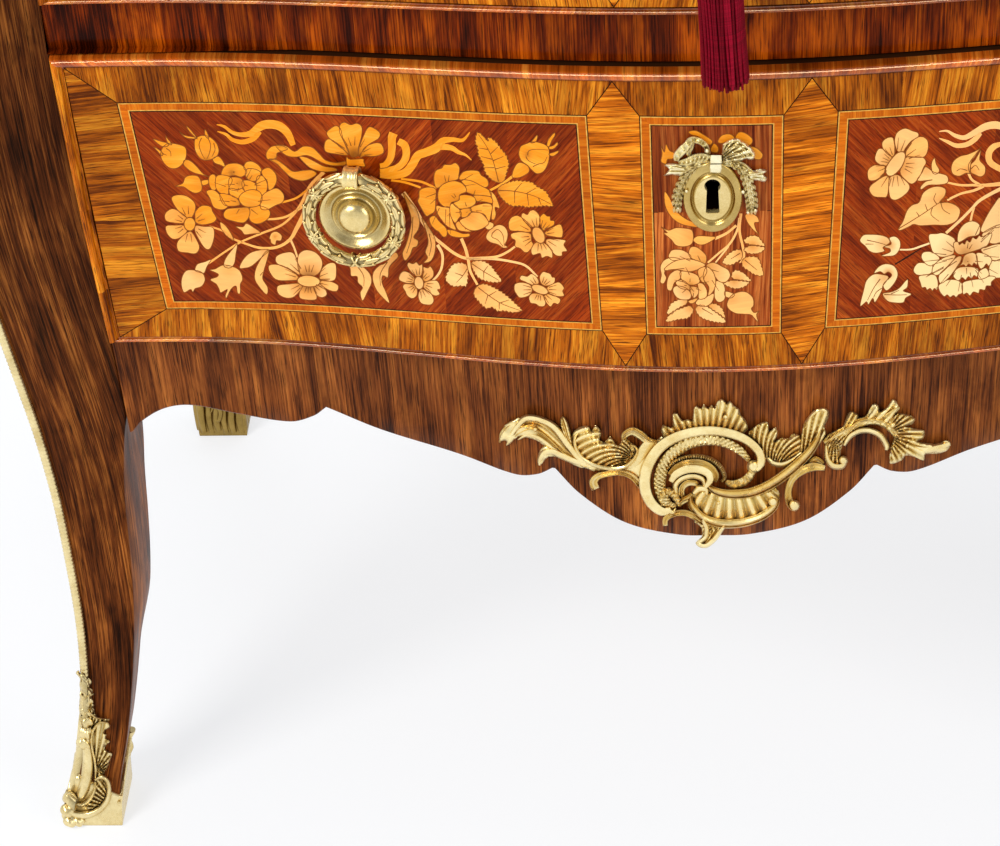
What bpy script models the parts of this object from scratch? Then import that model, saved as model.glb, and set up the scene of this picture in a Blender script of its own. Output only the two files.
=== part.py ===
"""A small two-drawer serpentine commode on cabriole legs.

The case is four posts that run down into legs, with rails, apron, side and
back panels and inner boards between them. Two drawers slide on runners. Each
has a bead round its front, two ring pulls, an escutcheon and a lock whose bolt
rises into the rail above. The upper lock holds a key with a tassel on a cord.

Metres, +Z up, the front faces -Y, the origin is on the floor under the middle
of the whole object, from the key's bow to the back edge of the top.
"""

import math

import bmesh
import bpy
from mathutils import Matrix, Vector

# ---------------------------------------------------------------- dimensions
TOP_HALF_W = 0.420  # half width of the slab top
TOP_HALF_D = 0.245  # half depth of the slab top
TOP_MID_Y = 0.01375  # the slab's middle: the key stands further out than its front edge
TOP_Z0, TOP_Z1 = 0.8000, 0.8260
FRONT_Y = -0.21525  # y of the drawer faces at the centre, where they swell most
BACK_Y = FRONT_Y + 0.470  # back plane of the rear legs
SWELL_Z = 0.606  # height where the front swells most
SWELL_K = 0.157  # how fast the front falls back above and below it
WAVE_HALF = 0.310  # half length of the serpentine wave
RECESS = 0.007  # rails, posts and apron stand this far behind the drawer faces
GAP = 0.0004

LOW_Z0, LOW_Z1 = 0.3805, 0.5745  # lower drawer front
UPP_Z0, UPP_Z1 = 0.6070, 0.7695  # upper drawer front
MID_Z0, MID_Z1 = 0.5757, 0.6058  # rail between them
RAIL_Z0, RAIL_Z1 = 0.7707, 0.7995  # top rail
APRON_Z1 = 0.3793
HALF_LOW, HALF_HIGH = 0.3366, 0.3392  # half width of the lower front, bottom and top
BEAD_W = 0.0066
FRONT_T = 0.022
SIDE_T = 0.011
DRAWER_SIDE_X = 0.3260  # outer face of the drawer sides
DRAWER_BACK_Y = FRONT_Y + 0.425
RAIL_BACK_Y = FRONT_Y + 0.097
PULL_X = 0.186  # pulls to left and right of the centre
PULL_LOW_Z, PULL_UPP_Z = 0.4830, 0.6920
RING_R, RING_T = 0.0242, 0.0034
RING_LEAN = math.radians(7)  # the ring leans out over the rosette's rim
ROSETTE_R = 0.0195
PIVOT_OUT = 0.0074  # ring axis in front of the drawer face
KEY_LOW_Z, KEY_UPP_Z = 0.5070, 0.7066
LOCK_HALF_W, LOCK_D = 0.030, 0.013
LOCK_DOWN = 0.015
BOLT_RISE, BOLT_LONG = 0.009, 0.015
KEY_OUT = 0.031  # middle of the key's bow in front of the drawer face
TASSEL_END_Z = 0.5830
LEG_END_Z = 0.0120

# ------------------------------------------------------------------ scene
for old in list(bpy.data.objects):
    bpy.data.objects.remove(old, do_unlink=True)
for old in list(bpy.data.collections):
    bpy.data.collections.remove(old)
PARTS = bpy.data.collections.new("commode")
CUTTERS = bpy.data.collections.new("cutters")
bpy.context.scene.collection.children.link(PARTS)
bpy.context.scene.collection.children.link(CUTTERS)


def material(name, colour, rough, metal=0.0):
    mat = bpy.data.materials.new(name)
    mat.use_nodes = True
    bsdf = mat.node_tree.nodes["Principled BSDF"]
    bsdf.inputs["Base Color"].default_value = (*colour, 1)
    bsdf.inputs["Roughness"].default_value = rough
    bsdf.inputs["Metallic"].default_value = metal
    return mat


ROSEWOOD = material("rosewood", (0.11, 0.035, 0.014), 0.30)
KINGWOOD = material("kingwood", (0.30, 0.11, 0.03), 0.28)
OAK = material("oak", (0.36, 0.23, 0.11), 0.60)
PINE = material("pine", (0.42, 0.28, 0.14), 0.65)
BRASS = material("gilt brass", (0.62, 0.44, 0.17), 0.32, 1.0)
IRON = material("lock iron", (0.16, 0.15, 0.14), 0.45, 1.0)
STONE = material("marble", (0.36, 0.17, 0.13), 0.18)
SILK = material("silk", (0.28, 0.012, 0.03), 0.55)


# ------------------------------------------------------------ surface rules
def clamp(v, low, high):
    return max(low, min(high, v))


def lerp(a, b, t):
    return a + (b - a) * t


def smooth(t):
    t = clamp(t, 0.0, 1.0)
    return t * t * (3 - 2 * t)


def spline(stations, z):
    """Cubic through (z, value) stations, level with its neighbours' slope."""
    if z <= stations[0][0]:
        return stations[0][1]
    if z >= stations[-1][0]:
        return stations[-1][1]
    k = next(i for i in range(len(stations) - 1) if stations[i + 1][0] >= z)
    (z0, v0), (z1, v1) = stations[k], stations[k + 1]
    before = stations[max(k - 1, 0)]
    after = stations[min(k + 2, len(stations) - 1)]
    m0 = (v1 - before[1]) / (z1 - before[0])
    m1 = (after[1] - v0) / (after[0] - z0)
    h, t = z1 - z0, (z - z0) / (z1 - z0)
    return (
        (2 * t**3 - 3 * t**2 + 1) * v0
        + (t**3 - 2 * t**2 + t) * h * m0
        + (-2 * t**3 + 3 * t**2) * v1
        + (t**3 - t**2) * h * m1
    )


def wave(x, z):
    depth = 0.034 - (clamp(z, 0.34, 0.62) - 0.38) * 0.05
    return depth * 0.5 * (1 - math.cos(math.pi * min(abs(x) / WAVE_HALF, 1.0)))


def face_y(x, z):
    """The drawers' outer face."""
    return FRONT_Y + SWELL_K * (z - SWELL_Z) ** 2 + wave(x, z)


def case_y(x, z):
    """The outer face of rails, posts and apron."""
    return face_y(x, z) + RECESS


def half_w(z):
    """Half width of the drawer fronts."""
    t = clamp((z - LOW_Z0) / (LOW_Z1 - LOW_Z0), 0, 1)
    return lerp(HALF_LOW, HALF_HIGH, 1 - (1 - t) ** 2)


# front leg: outer corner and inner edge at each height
LEG_OUT = [
    (0.000, 0.4115), (0.030, 0.4045), (0.060, 0.3970), (0.090, 0.3920), (0.126, 0.3888),
    (0.160, 0.3872), (0.200, 0.3869), (0.250, 0.3875), (0.300, 0.3903), (0.340, 0.3940),
    (0.380, 0.3980), (0.450, 0.4040), (0.550, 0.4070), (0.650, 0.4050), (0.800, 0.3990),
]
LEG_IN = [
    (0.000, 0.3800), (0.030, 0.3772), (0.060, 0.3703), (0.090, 0.3645), (0.126, 0.3586),
    (0.170, 0.3533), (0.205, 0.3507), (0.250, 0.3480), (0.290, 0.3428), (0.315, 0.3380),
]
REAR_OUT = [
    (0.000, 0.3800), (0.060, 0.3790), (0.160, 0.3800), (0.260, 0.3850), (0.340, 0.3905),
    (0.450, 0.3960), (0.550, 0.3985), (0.650, 0.3970), (0.800, 0.3920),
]
REAR_IN = [(0.000, 0.3460), (0.100, 0.3465), (0.240, 0.3460), (0.320, 0.3440), (0.800, 0.3440)]
REAR_DEEP = [(0.000, 0.0310), (0.100, 0.0310), (0.240, 0.0360), (0.330, 0.0480), (0.800, 0.0500)]
POST_D = 0.056


def leg_out(z):
    return spline(LEG_OUT, z)


def leg_in(z):
    return spline(LEG_IN, z) if z < 0.335 else half_w(z) + 0.0014


def leg_front(z):
    """y of the front leg's front face: the leg bends on the diagonal below the apron."""
    top = case_y(0.34, max(z, 0.38)) + 0.003
    return top + (leg_out(0.38) - leg_out(z)) if z < 0.38 else top


def leg_deep(z):
    return lerp(leg_out(z) - leg_in(z) + 0.007, POST_D, smooth((z - 0.22) / 0.14))


def leg_toe_in(z):
    """How far the inner side of the leg closes in towards its back."""
    return 0.005 * smooth((z - 0.108) / 0.05) * (1 - smooth((z - 0.25) / 0.06))


# apron's lower edge: a middle lobe, a swag to a cusp, and a shallow wave to the leg
LOBE = [(0.0000, 0.2473), (0.0209, 0.2479), (0.0521, 0.2570), (0.0769, 0.2782), (0.0905, 0.2975)]
SWAG = [(0.0905, 0.2975), (0.1000, 0.2908), (0.1132, 0.2890), (0.1443, 0.3006), (0.1897, 0.3139), (0.2198, 0.3274)]
ARCH = [
    (0.2198, 0.3274), (0.2275, 0.3200), (0.2420, 0.3140), (0.2710, 0.3180), (0.2987, 0.3243), (0.3141, 0.3221),
    (0.3281, 0.3129), (0.3360, 0.3030),
]


def apron_low(x):
    x = abs(x)
    return spline(LOBE if x < LOBE[-1][0] else SWAG if x < SWAG[-1][0] else ARCH, x)


# -------------------------------------------------------------- mesh helpers
def add(name, mesh, mat, smooth_angle=40, parent=None):
    obj = bpy.data.objects.new(name, mesh)
    mesh.materials.clear()
    mesh.materials.append(mat)
    mesh.shade_smooth()
    mesh.set_sharp_from_angle(angle=math.radians(smooth_angle))
    PARTS.objects.link(obj)
    if parent:
        obj.parent = parent
    return obj


def face_out(bm):
    bmesh.ops.recalc_face_normals(bm, faces=bm.faces)
    if bm.calc_volume(signed=True) < 0:
        bmesh.ops.reverse_faces(bm, faces=bm.faces)


def mesh_from(bm, name):
    face_out(bm)
    mesh = bpy.data.meshes.new(name)
    bm.to_mesh(mesh)
    bm.free()
    return mesh


def mapped_box(name, counts, place):
    """A cube cut into counts along each axis, each point moved by place(u, v, w) in 0..1."""
    bm = bmesh.new()
    bmesh.ops.create_cube(bm, size=1.0)
    for axis, count in enumerate(counts):
        if count < 2:
            continue
        along = [
            e
            for e in bm.edges
            if abs((e.verts[1].co - e.verts[0].co).normalized()[axis]) > 0.99
        ]
        bmesh.ops.subdivide_edges(bm, edges=along, cuts=count - 1, use_grid_fill=True)
    for v in bm.verts:
        v.co = place(*(c + 0.5 for c in v.co))
    return mesh_from(bm, name)


def block(name, low, high):
    return mapped_box(
        name, (1, 1, 1), lambda u, v, w: [lerp(a, b, t) for a, b, t in zip(low, high, (u, v, w))]
    )


def loft(name, rings):
    """A solid through closed sections that have the same number of points."""
    bm = bmesh.new()
    rows = [[bm.verts.new(p) for p in ring] for ring in rings]
    n = len(rings[0])
    for low, high in zip(rows, rows[1:]):
        for i in range(n):
            bm.faces.new((low[i], low[(i + 1) % n], high[(i + 1) % n], high[i]))
    bm.faces.new(rows[0])
    bm.faces.new(rows[-1])
    return mesh_from(bm, name)


def ring_loft(name, rings):
    """A closed loop of sections, joined end to end."""
    bm = bmesh.new()
    rows = [[bm.verts.new(p) for p in ring] for ring in rings]
    n = len(rings[0])
    for k, low in enumerate(rows):
        high = rows[(k + 1) % len(rows)]
        for i in range(n):
            bm.faces.new((low[i], low[(i + 1) % n], high[(i + 1) % n], high[i]))
    return mesh_from(bm, name)


def settled(obj, name):
    """The evaluated shape of an object as a mesh of its own; the object goes."""
    bpy.context.view_layer.update()
    graph = bpy.context.evaluated_depsgraph_get()
    mesh = bpy.data.meshes.new_from_object(obj.evaluated_get(graph))
    mesh.name = name
    bm = bmesh.new()
    bm.from_mesh(mesh)
    bmesh.ops.remove_doubles(bm, verts=bm.verts, dist=1e-6)
    face_out(bm)
    bm.to_mesh(mesh)
    bm.free()
    bpy.data.objects.remove(obj, do_unlink=True)
    return mesh


def outline(name, points, thick):
    """A flat outline, filled and given a thickness about z = 0."""
    curve = bpy.data.curves.new(name, "CURVE")
    curve.dimensions = "2D"
    curve.fill_mode = "BOTH"
    curve.extrude = thick / 2
    line = curve.splines.new("POLY")
    line.points.add(len(points) - 1)
    for p, (x, y) in zip(line.points, points):
        p.co = (x, y, 0, 1)
    line.use_cyclic_u = True
    obj = bpy.data.objects.new(name, curve)
    PARTS.objects.link(obj)
    return settled(obj, name)


def tube(name, points, radius, cyclic=False, sides=2):
    curve = bpy.data.curves.new(name, "CURVE")
    curve.dimensions = "3D"
    curve.bevel_depth = radius
    curve.bevel_resolution = sides
    curve.use_fill_caps = not cyclic
    line = curve.splines.new("POLY")
    line.points.add(len(points) - 1)
    for p, at in zip(line.points, points):
        p.co = (*at, 1)
    line.use_cyclic_u = cyclic
    obj = bpy.data.objects.new(name, curve)
    PARTS.objects.link(obj)
    return settled(obj, name)


def turned(name, profile, steps):
    """A profile of (radius, height), from top to bottom, turned about Z."""
    mesh = bpy.data.meshes.new(name)
    mesh.from_pydata(
        [(r, 0, h) for r, h in profile], [(i, i + 1) for i in range(len(profile) - 1)], []
    )
    obj = bpy.data.objects.new(name, mesh)
    PARTS.objects.link(obj)
    screw = obj.modifiers.new("turn", "SCREW")
    screw.steps = screw.render_steps = steps
    screw.use_merge_vertices = True
    screw.merge_threshold = 0.0001
    return settled(obj, name)


def rod(name, radius, length, steps=16):
    bm = bmesh.new()
    bmesh.ops.create_cone(
        bm, cap_ends=True, segments=steps, radius1=radius, radius2=radius, depth=length
    )
    return mesh_from(bm, name)


def cutter(name, mesh, matrix=None):
    obj = bpy.data.objects.new(name, mesh)
    if matrix is not None:
        obj.matrix_world = matrix
    obj.hide_render = True
    obj.display_type = "WIRE"
    CUTTERS.objects.link(obj)
    return obj


def combine(obj, other, operation):
    mod = obj.modifiers.new(operation.lower(), "BOOLEAN")
    mod.operation = operation
    mod.solver = "EXACT"
    mod.object = other


def moved(mesh, matrix):
    mesh.transform(matrix)
    return mesh


def empty(name, at, parent=None):
    obj = bpy.data.objects.new(name, None)
    obj.location = at
    PARTS.objects.link(obj)
    bpy.context.view_layer.update()
    if parent:
        obj.parent = parent
        obj.matrix_parent_inverse = parent.matrix_world.inverted()
    return obj


# ------------------------------------------------------------------- the top
def top_outline():
    """Serpentine front, hollowed corners, swept sides and a straight back."""
    points = []
    n = 28
    for i in range(n + 1):
        x = lerp(-0.372, 0.372, i / n)
        points.append((x, -TOP_HALF_D + 0.024 * 0.5 * (1 - math.cos(math.pi * min(abs(x) / 0.310, 1)))))
    corner = points[-1]
    for i in range(1, 9):
        a = math.pi / 2 * i / 8
        points.append((corner[0] + 0.044 * math.sin(a), corner[1] + 0.044 * (1 - math.cos(a))))
    side_start = points[-1]
    for i in range(1, 11):
        t = i / 10
        points.append(
            (lerp(side_start[0], 0.412, t) + 0.004 * math.sin(math.pi * t), lerp(side_start[1], TOP_HALF_D, t))
        )
    half = [p for p in points if p[0] > 1e-9]
    middle = [p for p in points if abs(p[0]) <= 1e-9]
    return [(-x, y) for x, y in reversed(half)] + middle + half


widest = max(x for x, _ in top_outline())
slab = [(x * TOP_HALF_W / widest, y) for x, y in top_outline()]
top = outline("marble_top", slab, TOP_Z1 - TOP_Z0)
add("marble_top", moved(top, Matrix.Translation((0, TOP_MID_Y, (TOP_Z0 + TOP_Z1) / 2))), STONE)


# ------------------------------------------------------------ posts and legs
def levels(low, high, count):
    return [lerp(low, high, i / count) for i in range(count + 1)]


POST_LEVELS = (
    levels(LEG_END_Z, 0.10, 5) + levels(0.12, 0.315, 8) + [0.336] + levels(0.36, 0.58, 6) + levels(0.62, 0.7995, 4)
)


def front_section(side, z, grow=0.0):
    out, inn, y, deep = leg_out(z) + grow, leg_in(z) - grow, leg_front(z) - grow, leg_deep(z) + 2 * grow
    toe = leg_toe_in(z)
    return [(side * out, y, z), (side * inn, y, z), (side * (inn - toe), y + deep, z), (side * out, y + deep, z)]


def rear_section(side, z, grow=0.0):
    out, inn, deep = spline(REAR_OUT, z) + grow, spline(REAR_IN, z) - grow, spline(REAR_DEEP, z) + grow
    back = BACK_Y + min(grow, 0.0035)
    return [(side * out, back, z), (side * inn, back, z), (side * inn, BACK_Y - deep, z), (side * out, BACK_Y - deep, z)]


for side, word in ((-1, "left"), (1, "right")):
    add(f"front_{word}_post", loft("post", [front_section(side, z) for z in POST_LEVELS]), ROSEWOOD)
    add(f"rear_{word}_post", loft("post", [rear_section(side, z) for z in POST_LEVELS]), ROSEWOOD)


# -------------------------------------------------------------------- sabots
def sabot(name, section, side, top_z, skin):
    heights = [0.0, 0.006, 0.020, 0.040, 0.062, 0.085, top_z - 0.006, top_z]
    swell = [0.0055, 0.0070, 0.0050, 0.0036, 0.0036, 0.0030, 0.0046, 0.0036]
    outer = add(name, loft(name, [section(side, max(z, 0.0), g + skin) if z > 0 else
                                  [(x, y, 0.0) for x, y, _ in section(side, LEG_END_Z, g + skin)]
                                  for z, g in zip(heights, swell)]), BRASS)
    inside = [section(side, z, GAP) for z in levels(LEG_END_Z, 0.10, 5) + [0.12, 0.15]]
    floor = [(x, y, LEG_END_Z - GAP) for x, y, _ in inside[0]]
    combine(outer, cutter(name + "_pocket", loft(name, [floor] + inside[1:])), "DIFFERENCE")
    return outer


for side, word in ((-1, "left"), (1, "right")):
    sabot(f"front_{word}_sabot", front_section, side, 0.108, 0.0)
    sabot(f"rear_{word}_sabot", rear_section, side, 0.070 + 0.030, -0.0018)


# ------------------------------------------------- gilt strips and corner mounts
TRIM_R = 0.0022
for side, word in ((-1, "left"), (1, "right")):
    line = []
    for z in [0.1115] + [z for z in POST_LEVELS if 0.115 < z < 0.60] + [0.618]:
        off = (TRIM_R + 0.0007) / math.sqrt(2)
        line.append((side * (leg_out(z) + off), leg_front(z) - off, z))
    add(f"front_{word}_arris_strip", tube("strip", line, TRIM_R, sides=1), BRASS)

    rings = []
    for z, half in ((0.6225, 0.004), (0.645, 0.014), (0.675, 0.020), (0.705, 0.023), (0.735, 0.018),
                    (0.760, 0.024), (0.785, 0.027), (0.795, 0.022)):
        x, y, g, t = leg_out(z), leg_front(z), 0.0009, 0.0045
        rings.append([
            (side * (x - half), y - g, z), (side * (x + g), y - g, z), (side * (x + g), y + half, z),
            (side * (x + g + t), y + half, z), (side * (x + g + t), y - g - t, z), (side * (x - half), y - g - t, z),
        ])
    add(f"front_{word}_corner_mount", loft("mount", rings), BRASS)


# ------------------------------------------------------------ rails and apron
def rail(name, z0, z1):
    def place(u, v, w):
        z = lerp(z0, z1, w)
        x = lerp(-1, 1, u) * (half_w(z) + 0.0009)
        return (x, lerp(case_y(x, z), RAIL_BACK_Y, v), z)

    return add(name, mapped_box(name, (24, 1, 1), place), ROSEWOOD)


top_rail = rail("top_rail", RAIL_Z0, RAIL_Z1)
mid_rail = rail("middle_rail", MID_Z0, MID_Z1)


def apron_place(u, v, w):
    x = lerp(-1, 1, u) * 0.3370
    z = lerp(apron_low(x), APRON_Z1, w)
    return (x, case_y(x, z) + 0.022 * v, z)


add("front_apron", mapped_box("front_apron", (60, 1, 2), apron_place), ROSEWOOD)


# -------------------------------------------------------- sides and the back
def side_x(y, z):
    """Outer face of the side panels: swept between the posts, fullest half way."""
    front, back = leg_front(z) + leg_deep(z), BACK_Y - spline(REAR_DEEP, z)
    t = clamp((y - front) / (back - front), 0, 1)
    return lerp(leg_out(z) - 0.002, spline(REAR_OUT, z) - 0.002, t) + 0.009 * math.sin(math.pi * t)


def side_low(t):
    """Lower edge of a side panel from its front, t = 0, to its back."""
    return 0.3380 - 0.022 * math.sin(math.pi * t) ** 4


for side, word in ((-1, "left"), (1, "right")):

    def place(u, v, w, side=side):
        t = v
        z = lerp(side_low(t), 0.7995, w)
        y = lerp(leg_front(z) + leg_deep(z) + 0.0006, BACK_Y - spline(REAR_DEEP, z) - 0.0006, t)
        return (side * (side_x(y, z) - 0.016 * (1 - u)), y, z)

    add(f"{word}_side_panel", mapped_box("side", (1, 10, 6), place), ROSEWOOD)

add("back_panel", block("back", (-0.3432, BACK_Y - 0.014, 0.3450), (0.3432, BACK_Y - 0.004, 0.7850)), PINE)


# ------------------------------------------------------------- inner boards
def inner_board(name, z, thick, front_y, wide):
    """A board notched round the four posts."""
    post_back = max(leg_front(z) + leg_deep(z), leg_front(z + thick) + leg_deep(z + thick)) + 0.002
    post_back = max(post_back, front_y)
    rear = BACK_Y - max(spline(REAR_DEEP, z), spline(REAR_DEEP, z + thick)) - 0.002
    back = BACK_Y - 0.0145
    half = [(0.3335, front_y), (0.3335, post_back), (wide, post_back), (wide, rear), (0.3335, rear), (0.3335, back)]
    points = [(-x, y) for x, y in reversed(half)] + half
    mesh = outline(name, points, thick)
    return add(name, moved(mesh, Matrix.Translation((0, 0, z + thick / 2))), PINE)


inner_board("bottom_board", 0.3520, 0.0130, FRONT_Y + 0.079, 0.3700)
inner_board("dust_board", 0.5830, 0.0090, RAIL_BACK_Y + 0.0006, 0.3780)
inner_board("sub_top_board", 0.7858, 0.0136, RAIL_BACK_Y + 0.0006, 0.3740)

for side, word in ((-1, "left"), (1, "right")):
    for level, z0, z1 in (("lower", 0.3654, 0.3801), ("upper", 0.5924, 0.6064)):
        x0, x1 = sorted((side * 0.3090, side * 0.3330))
        add(f"{level}_{word}_runner", block("runner", (x0, RAIL_BACK_Y + 0.004, z0), (x1, BACK_Y - 0.016, z1)), OAK)


# ------------------------------------------------------------------- drawers
def drawer_front(name, z0, z1):
    def place(u, v, w):
        z = lerp(z0 + BEAD_W + GAP, z1 - BEAD_W - GAP, w)
        x = lerp(-1, 1, u) * (half_w(z) - BEAD_W - GAP)
        return (x, face_y(x, z) + FRONT_T * v, z)

    return add(name, mapped_box(name, (20, 1, 5), place), KINGWOOD)


def drawer_bead(name, z0, z1):
    """A rounded strip round the front's four edges, mitred at its corners."""
    across, up = 20, 4
    path = []
    for i in range(across):
        path.append((lerp(-1, 1, i / across), 0.0))
    for i in range(up):
        path.append((1.0, i / up))
    for i in range(across):
        path.append((lerp(1, -1, i / across), 1.0))
    for i in range(up):
        path.append((-1.0, 1 - i / up))

    def at(u, w, inset, out):
        z = lerp(z0 + inset, z1 - inset, w)
        x = u * (half_w(z) - inset)
        return (x, face_y(x, z) - out, z)

    rings = [
        [at(u, w, 0, -0.010), at(u, w, 0, 0.0008), at(u, w, 0.0016, 0.0026), at(u, w, 0.0046, 0.0026),
         at(u, w, BEAD_W, 0.0008), at(u, w, BEAD_W, -0.010)]
        for u, w in path
    ]
    return add(name, ring_loft(name, rings), KINGWOOD)


def drawer_box(level, z0, z1):
    low, high = z0 + 0.0002, z1 - 0.012

    def back_of_front(x, z):
        return face_y(x, z) + FRONT_T + 0.0006

    for side, word in ((-1, "left"), (1, "right")):

        def place(u, v, w, side=side):
            z = lerp(low, high, w)
            x = side * (DRAWER_SIDE_X - SIDE_T * (1 - u))
            safe = clamp(z, z0 + BEAD_W, z1)
            return (x, lerp(max(back_of_front(abs(x), safe), back_of_front(abs(x), z)), DRAWER_BACK_Y, v), z)

        add(f"{level}_drawer_{word}_side", mapped_box("side", (1, 1, 5), place), OAK)
    inner = DRAWER_SIDE_X - SIDE_T - GAP
    add(f"{level}_drawer_back",
        block("back", (-inner, DRAWER_BACK_Y - 0.011, z0 + 0.0160), (inner, DRAWER_BACK_Y, high - 0.010)), OAK)

    def floor(u, v, w):
        z = lerp(z0 + 0.0080, z0 + 0.0155, w)
        x = lerp(-inner, inner, u)
        return (x, lerp(back_of_front(x, z0 + 0.0080), DRAWER_BACK_Y, v), z)

    add(f"{level}_drawer_bottom", mapped_box("floor", (16, 1, 1), floor), OAK)


def keyhole_cutter(name, z, y0, y1, wide):
    """Round hole with a slot below it, for a key to pass."""
    turn = Matrix.Rotation(math.radians(90), 4, "X")
    mid, long = (y0 + y1) / 2, y1 - y0
    hole = cutter(name + "_hole", rod("hole", wide, long, 20), Matrix.Translation((0, mid, z)) @ turn)
    slot = cutter(name + "_slot", block("slot", (-0.66 * wide, y0 - 0.001, z - 4.2 * wide), (0.66 * wide, y1 + 0.001, z)))
    combine(hole, slot, "UNION")
    return hole


def rail_mortise(obj, name, z_key, z_under):
    y = lock_y(z_key)
    combine(
        obj,
        cutter(name, block("mortise", (-0.0135, y + 0.0015, z_under - 0.002), (0.0135, y + LOCK_D - 0.0015, z_under + 0.011))),
        "DIFFERENCE",
    )


def lock_y(z_key):
    """Front of the lock case, flat against the inside of the curved front."""
    top_z = lock_top(z_key)
    reach = [(x, lerp(z_key - LOCK_DOWN, top_z, t)) for x in (0, LOCK_HALF_W) for t in (0, 0.25, 0.5, 0.75, 1)]
    return max(face_y(x, z) for x, z in reach) + FRONT_T + 0.0005


def lock_top(z_key):
    return (LOW_Z1 if z_key < LOW_Z1 else UPP_Z1) - 0.0015


def lock(level, z_key):
    """Case with a round chamber for the key's bit and a slot at the top for the bolt."""
    y, top_z = lock_y(z_key), lock_top(z_key)
    case = add(f"{level}_lock_case",
               block("case", (-LOCK_HALF_W, y, z_key - LOCK_DOWN), (LOCK_HALF_W, y + LOCK_D, top_z)), IRON)
    turn = Matrix.Rotation(math.radians(90), 4, "X")
    combine(case, cutter(f"{level}_chamber", rod("chamber", 0.0118, 0.020, 24),
                         Matrix.Translation((0, y, z_key)) @ turn), "DIFFERENCE")
    slot_low = top_z - BOLT_LONG - 0.0008
    combine(case, cutter(f"{level}_bolt_slot",
                         block("slot", (-0.0125, y + 0.0025, slot_low), (0.0125, y + LOCK_D - 0.0025, top_z + 0.005))),
            "DIFFERENCE")
    add(f"{level}_lock_bolt",
        block("bolt", (-0.0120, y + 0.0030, slot_low + 0.0006), (0.0120, y + LOCK_D - 0.0030, top_z - 0.0002)), BRASS)


ROSE_MID = -0.0080  # middle of the oval below the key's axis
OVAL_W, OVAL_H, BOW_W, BOW_Z, CREST_Z = 0.0149, 0.0221, 0.0263, 0.0280, 0.0345


def plate_half(z):
    """Half width of the escutcheon at a height above the oval's middle: an oval with a bow over it."""
    oval = OVAL_W * math.sqrt(max(0.0, 1 - (z / OVAL_H) ** 2))
    bow = BOW_W * max(0.0, 1 - ((z - BOW_Z) / 0.0085) ** 2) ** 0.6
    neck = 0.0130 if 0.006 < z < 0.026 else 0.0
    return max(oval, bow, neck)


def escutcheon(level, z_key):
    """Oval rim round the keyhole, with a ribbon bow above it."""
    rows = 26
    half = [(plate_half(z), z) for z in (lerp(-OVAL_H + 0.0004, CREST_Z, i / rows) for i in range(rows + 1))]
    plate = outline("escutcheon", half + [(-x, z) for x, z in reversed(half)], 0.0034)
    middle = z_key + ROSE_MID
    near = min(face_y(0, middle + z) for z in (-OVAL_H, 0, CREST_Z))
    y = near - 0.0005 - 0.0017
    turn = Matrix.Translation((0, y, middle)) @ Matrix.Rotation(math.radians(90), 4, "X")
    obj = add(f"{level}_escutcheon", moved(plate, turn), BRASS)
    combine(obj, keyhole_cutter(f"{level}_plate_keyhole", z_key, y - 0.01, y + 0.01, 0.0048), "DIFFERENCE")
    return obj


for level, z0, z1, z_key in (("lower", LOW_Z0, LOW_Z1, KEY_LOW_Z), ("upper", UPP_Z0, UPP_Z1, KEY_UPP_Z)):
    front = drawer_front(f"{level}_drawer_front", z0, z1)
    y = face_y(0, z_key)
    combine(front, keyhole_cutter(f"{level}_front_keyhole", z_key, y - 0.01, y + FRONT_T + 0.01, 0.0046), "DIFFERENCE")
    drawer_bead(f"{level}_drawer_bead", z0, z1)
    drawer_box(level, z0, z1)
    lock(level, z_key)
    escutcheon(level, z_key)

rail_mortise(mid_rail, "middle_rail_mortise", KEY_LOW_Z, MID_Z0)
rail_mortise(top_rail, "top_rail_mortise", KEY_UPP_Z, RAIL_Z0)


# --------------------------------------------------------------------- pulls
def pull_frame(x, z):
    """Point on the drawer face, and axes: along it, out of it, and up it."""
    e = 1e-4
    along = Vector((2 * e, face_y(x + e, z) - face_y(x - e, z), 0)).normalized()
    rise = Vector((0, face_y(x, z + e) - face_y(x, z - e), 2 * e)).normalized()
    out = rise.cross(along).normalized()
    up = along.cross(out).normalized()
    out, up = (out, up) if out.y < 0 else (-out, -up)
    up = up if up.z > 0 else -up
    at = Vector((x, face_y(x, z), z))
    return at, along, out, up


def rosette_mesh():
    """Dished boss with a raised rim, and a drilled knuckle at its head. Z is out of the drawer."""
    profile = [
        (0.0, 0.0072), (0.0030, 0.0068), (0.0050, 0.0050), (0.0068, 0.0030), (0.0110, 0.0028), (0.0142, 0.0040),
        (0.0162, 0.0056), (0.0180, 0.0054), (ROSETTE_R, 0.0034), (ROSETTE_R, 0.0006), (0.0, 0.0006),
    ]
    body = bpy.data.objects.new("rosette", turned("rosette", profile, 18))
    PARTS.objects.link(body)
    reach = RING_R
    stem = cutter("stem", block("stem", (-0.0042, 0.0150, 0.0007), (0.0042, reach + 0.0030, 0.0034)))
    eye = cutter("eye", rod("eye", 0.0060, 0.0080, 16),
                 Matrix.Translation((0, reach, PIVOT_OUT)) @ Matrix.Rotation(math.radians(90), 4, "Y"))
    bore = cutter("bore", rod("bore", 0.0044, 0.0200, 16),
                  Matrix.Translation((0, reach, PIVOT_OUT)) @ Matrix.Rotation(math.radians(90), 4, "Y"))
    combine(body, stem, "UNION")
    combine(body, eye, "UNION")
    combine(body, bore, "DIFFERENCE")
    return settled(body, "rosette")


ROSETTE = rosette_mesh()
rows = []
for i in range(24):
    a = 2 * math.pi * i / 24
    row = []
    for j in range(8):
        b = 2 * math.pi * j / 8
        r = RING_R + RING_T * math.cos(b)
        row.append((r * math.sin(a), r * math.cos(a) - RING_R, RING_T * math.sin(b)))
    rows.append(row)
RING = ring_loft("ring", rows)

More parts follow.
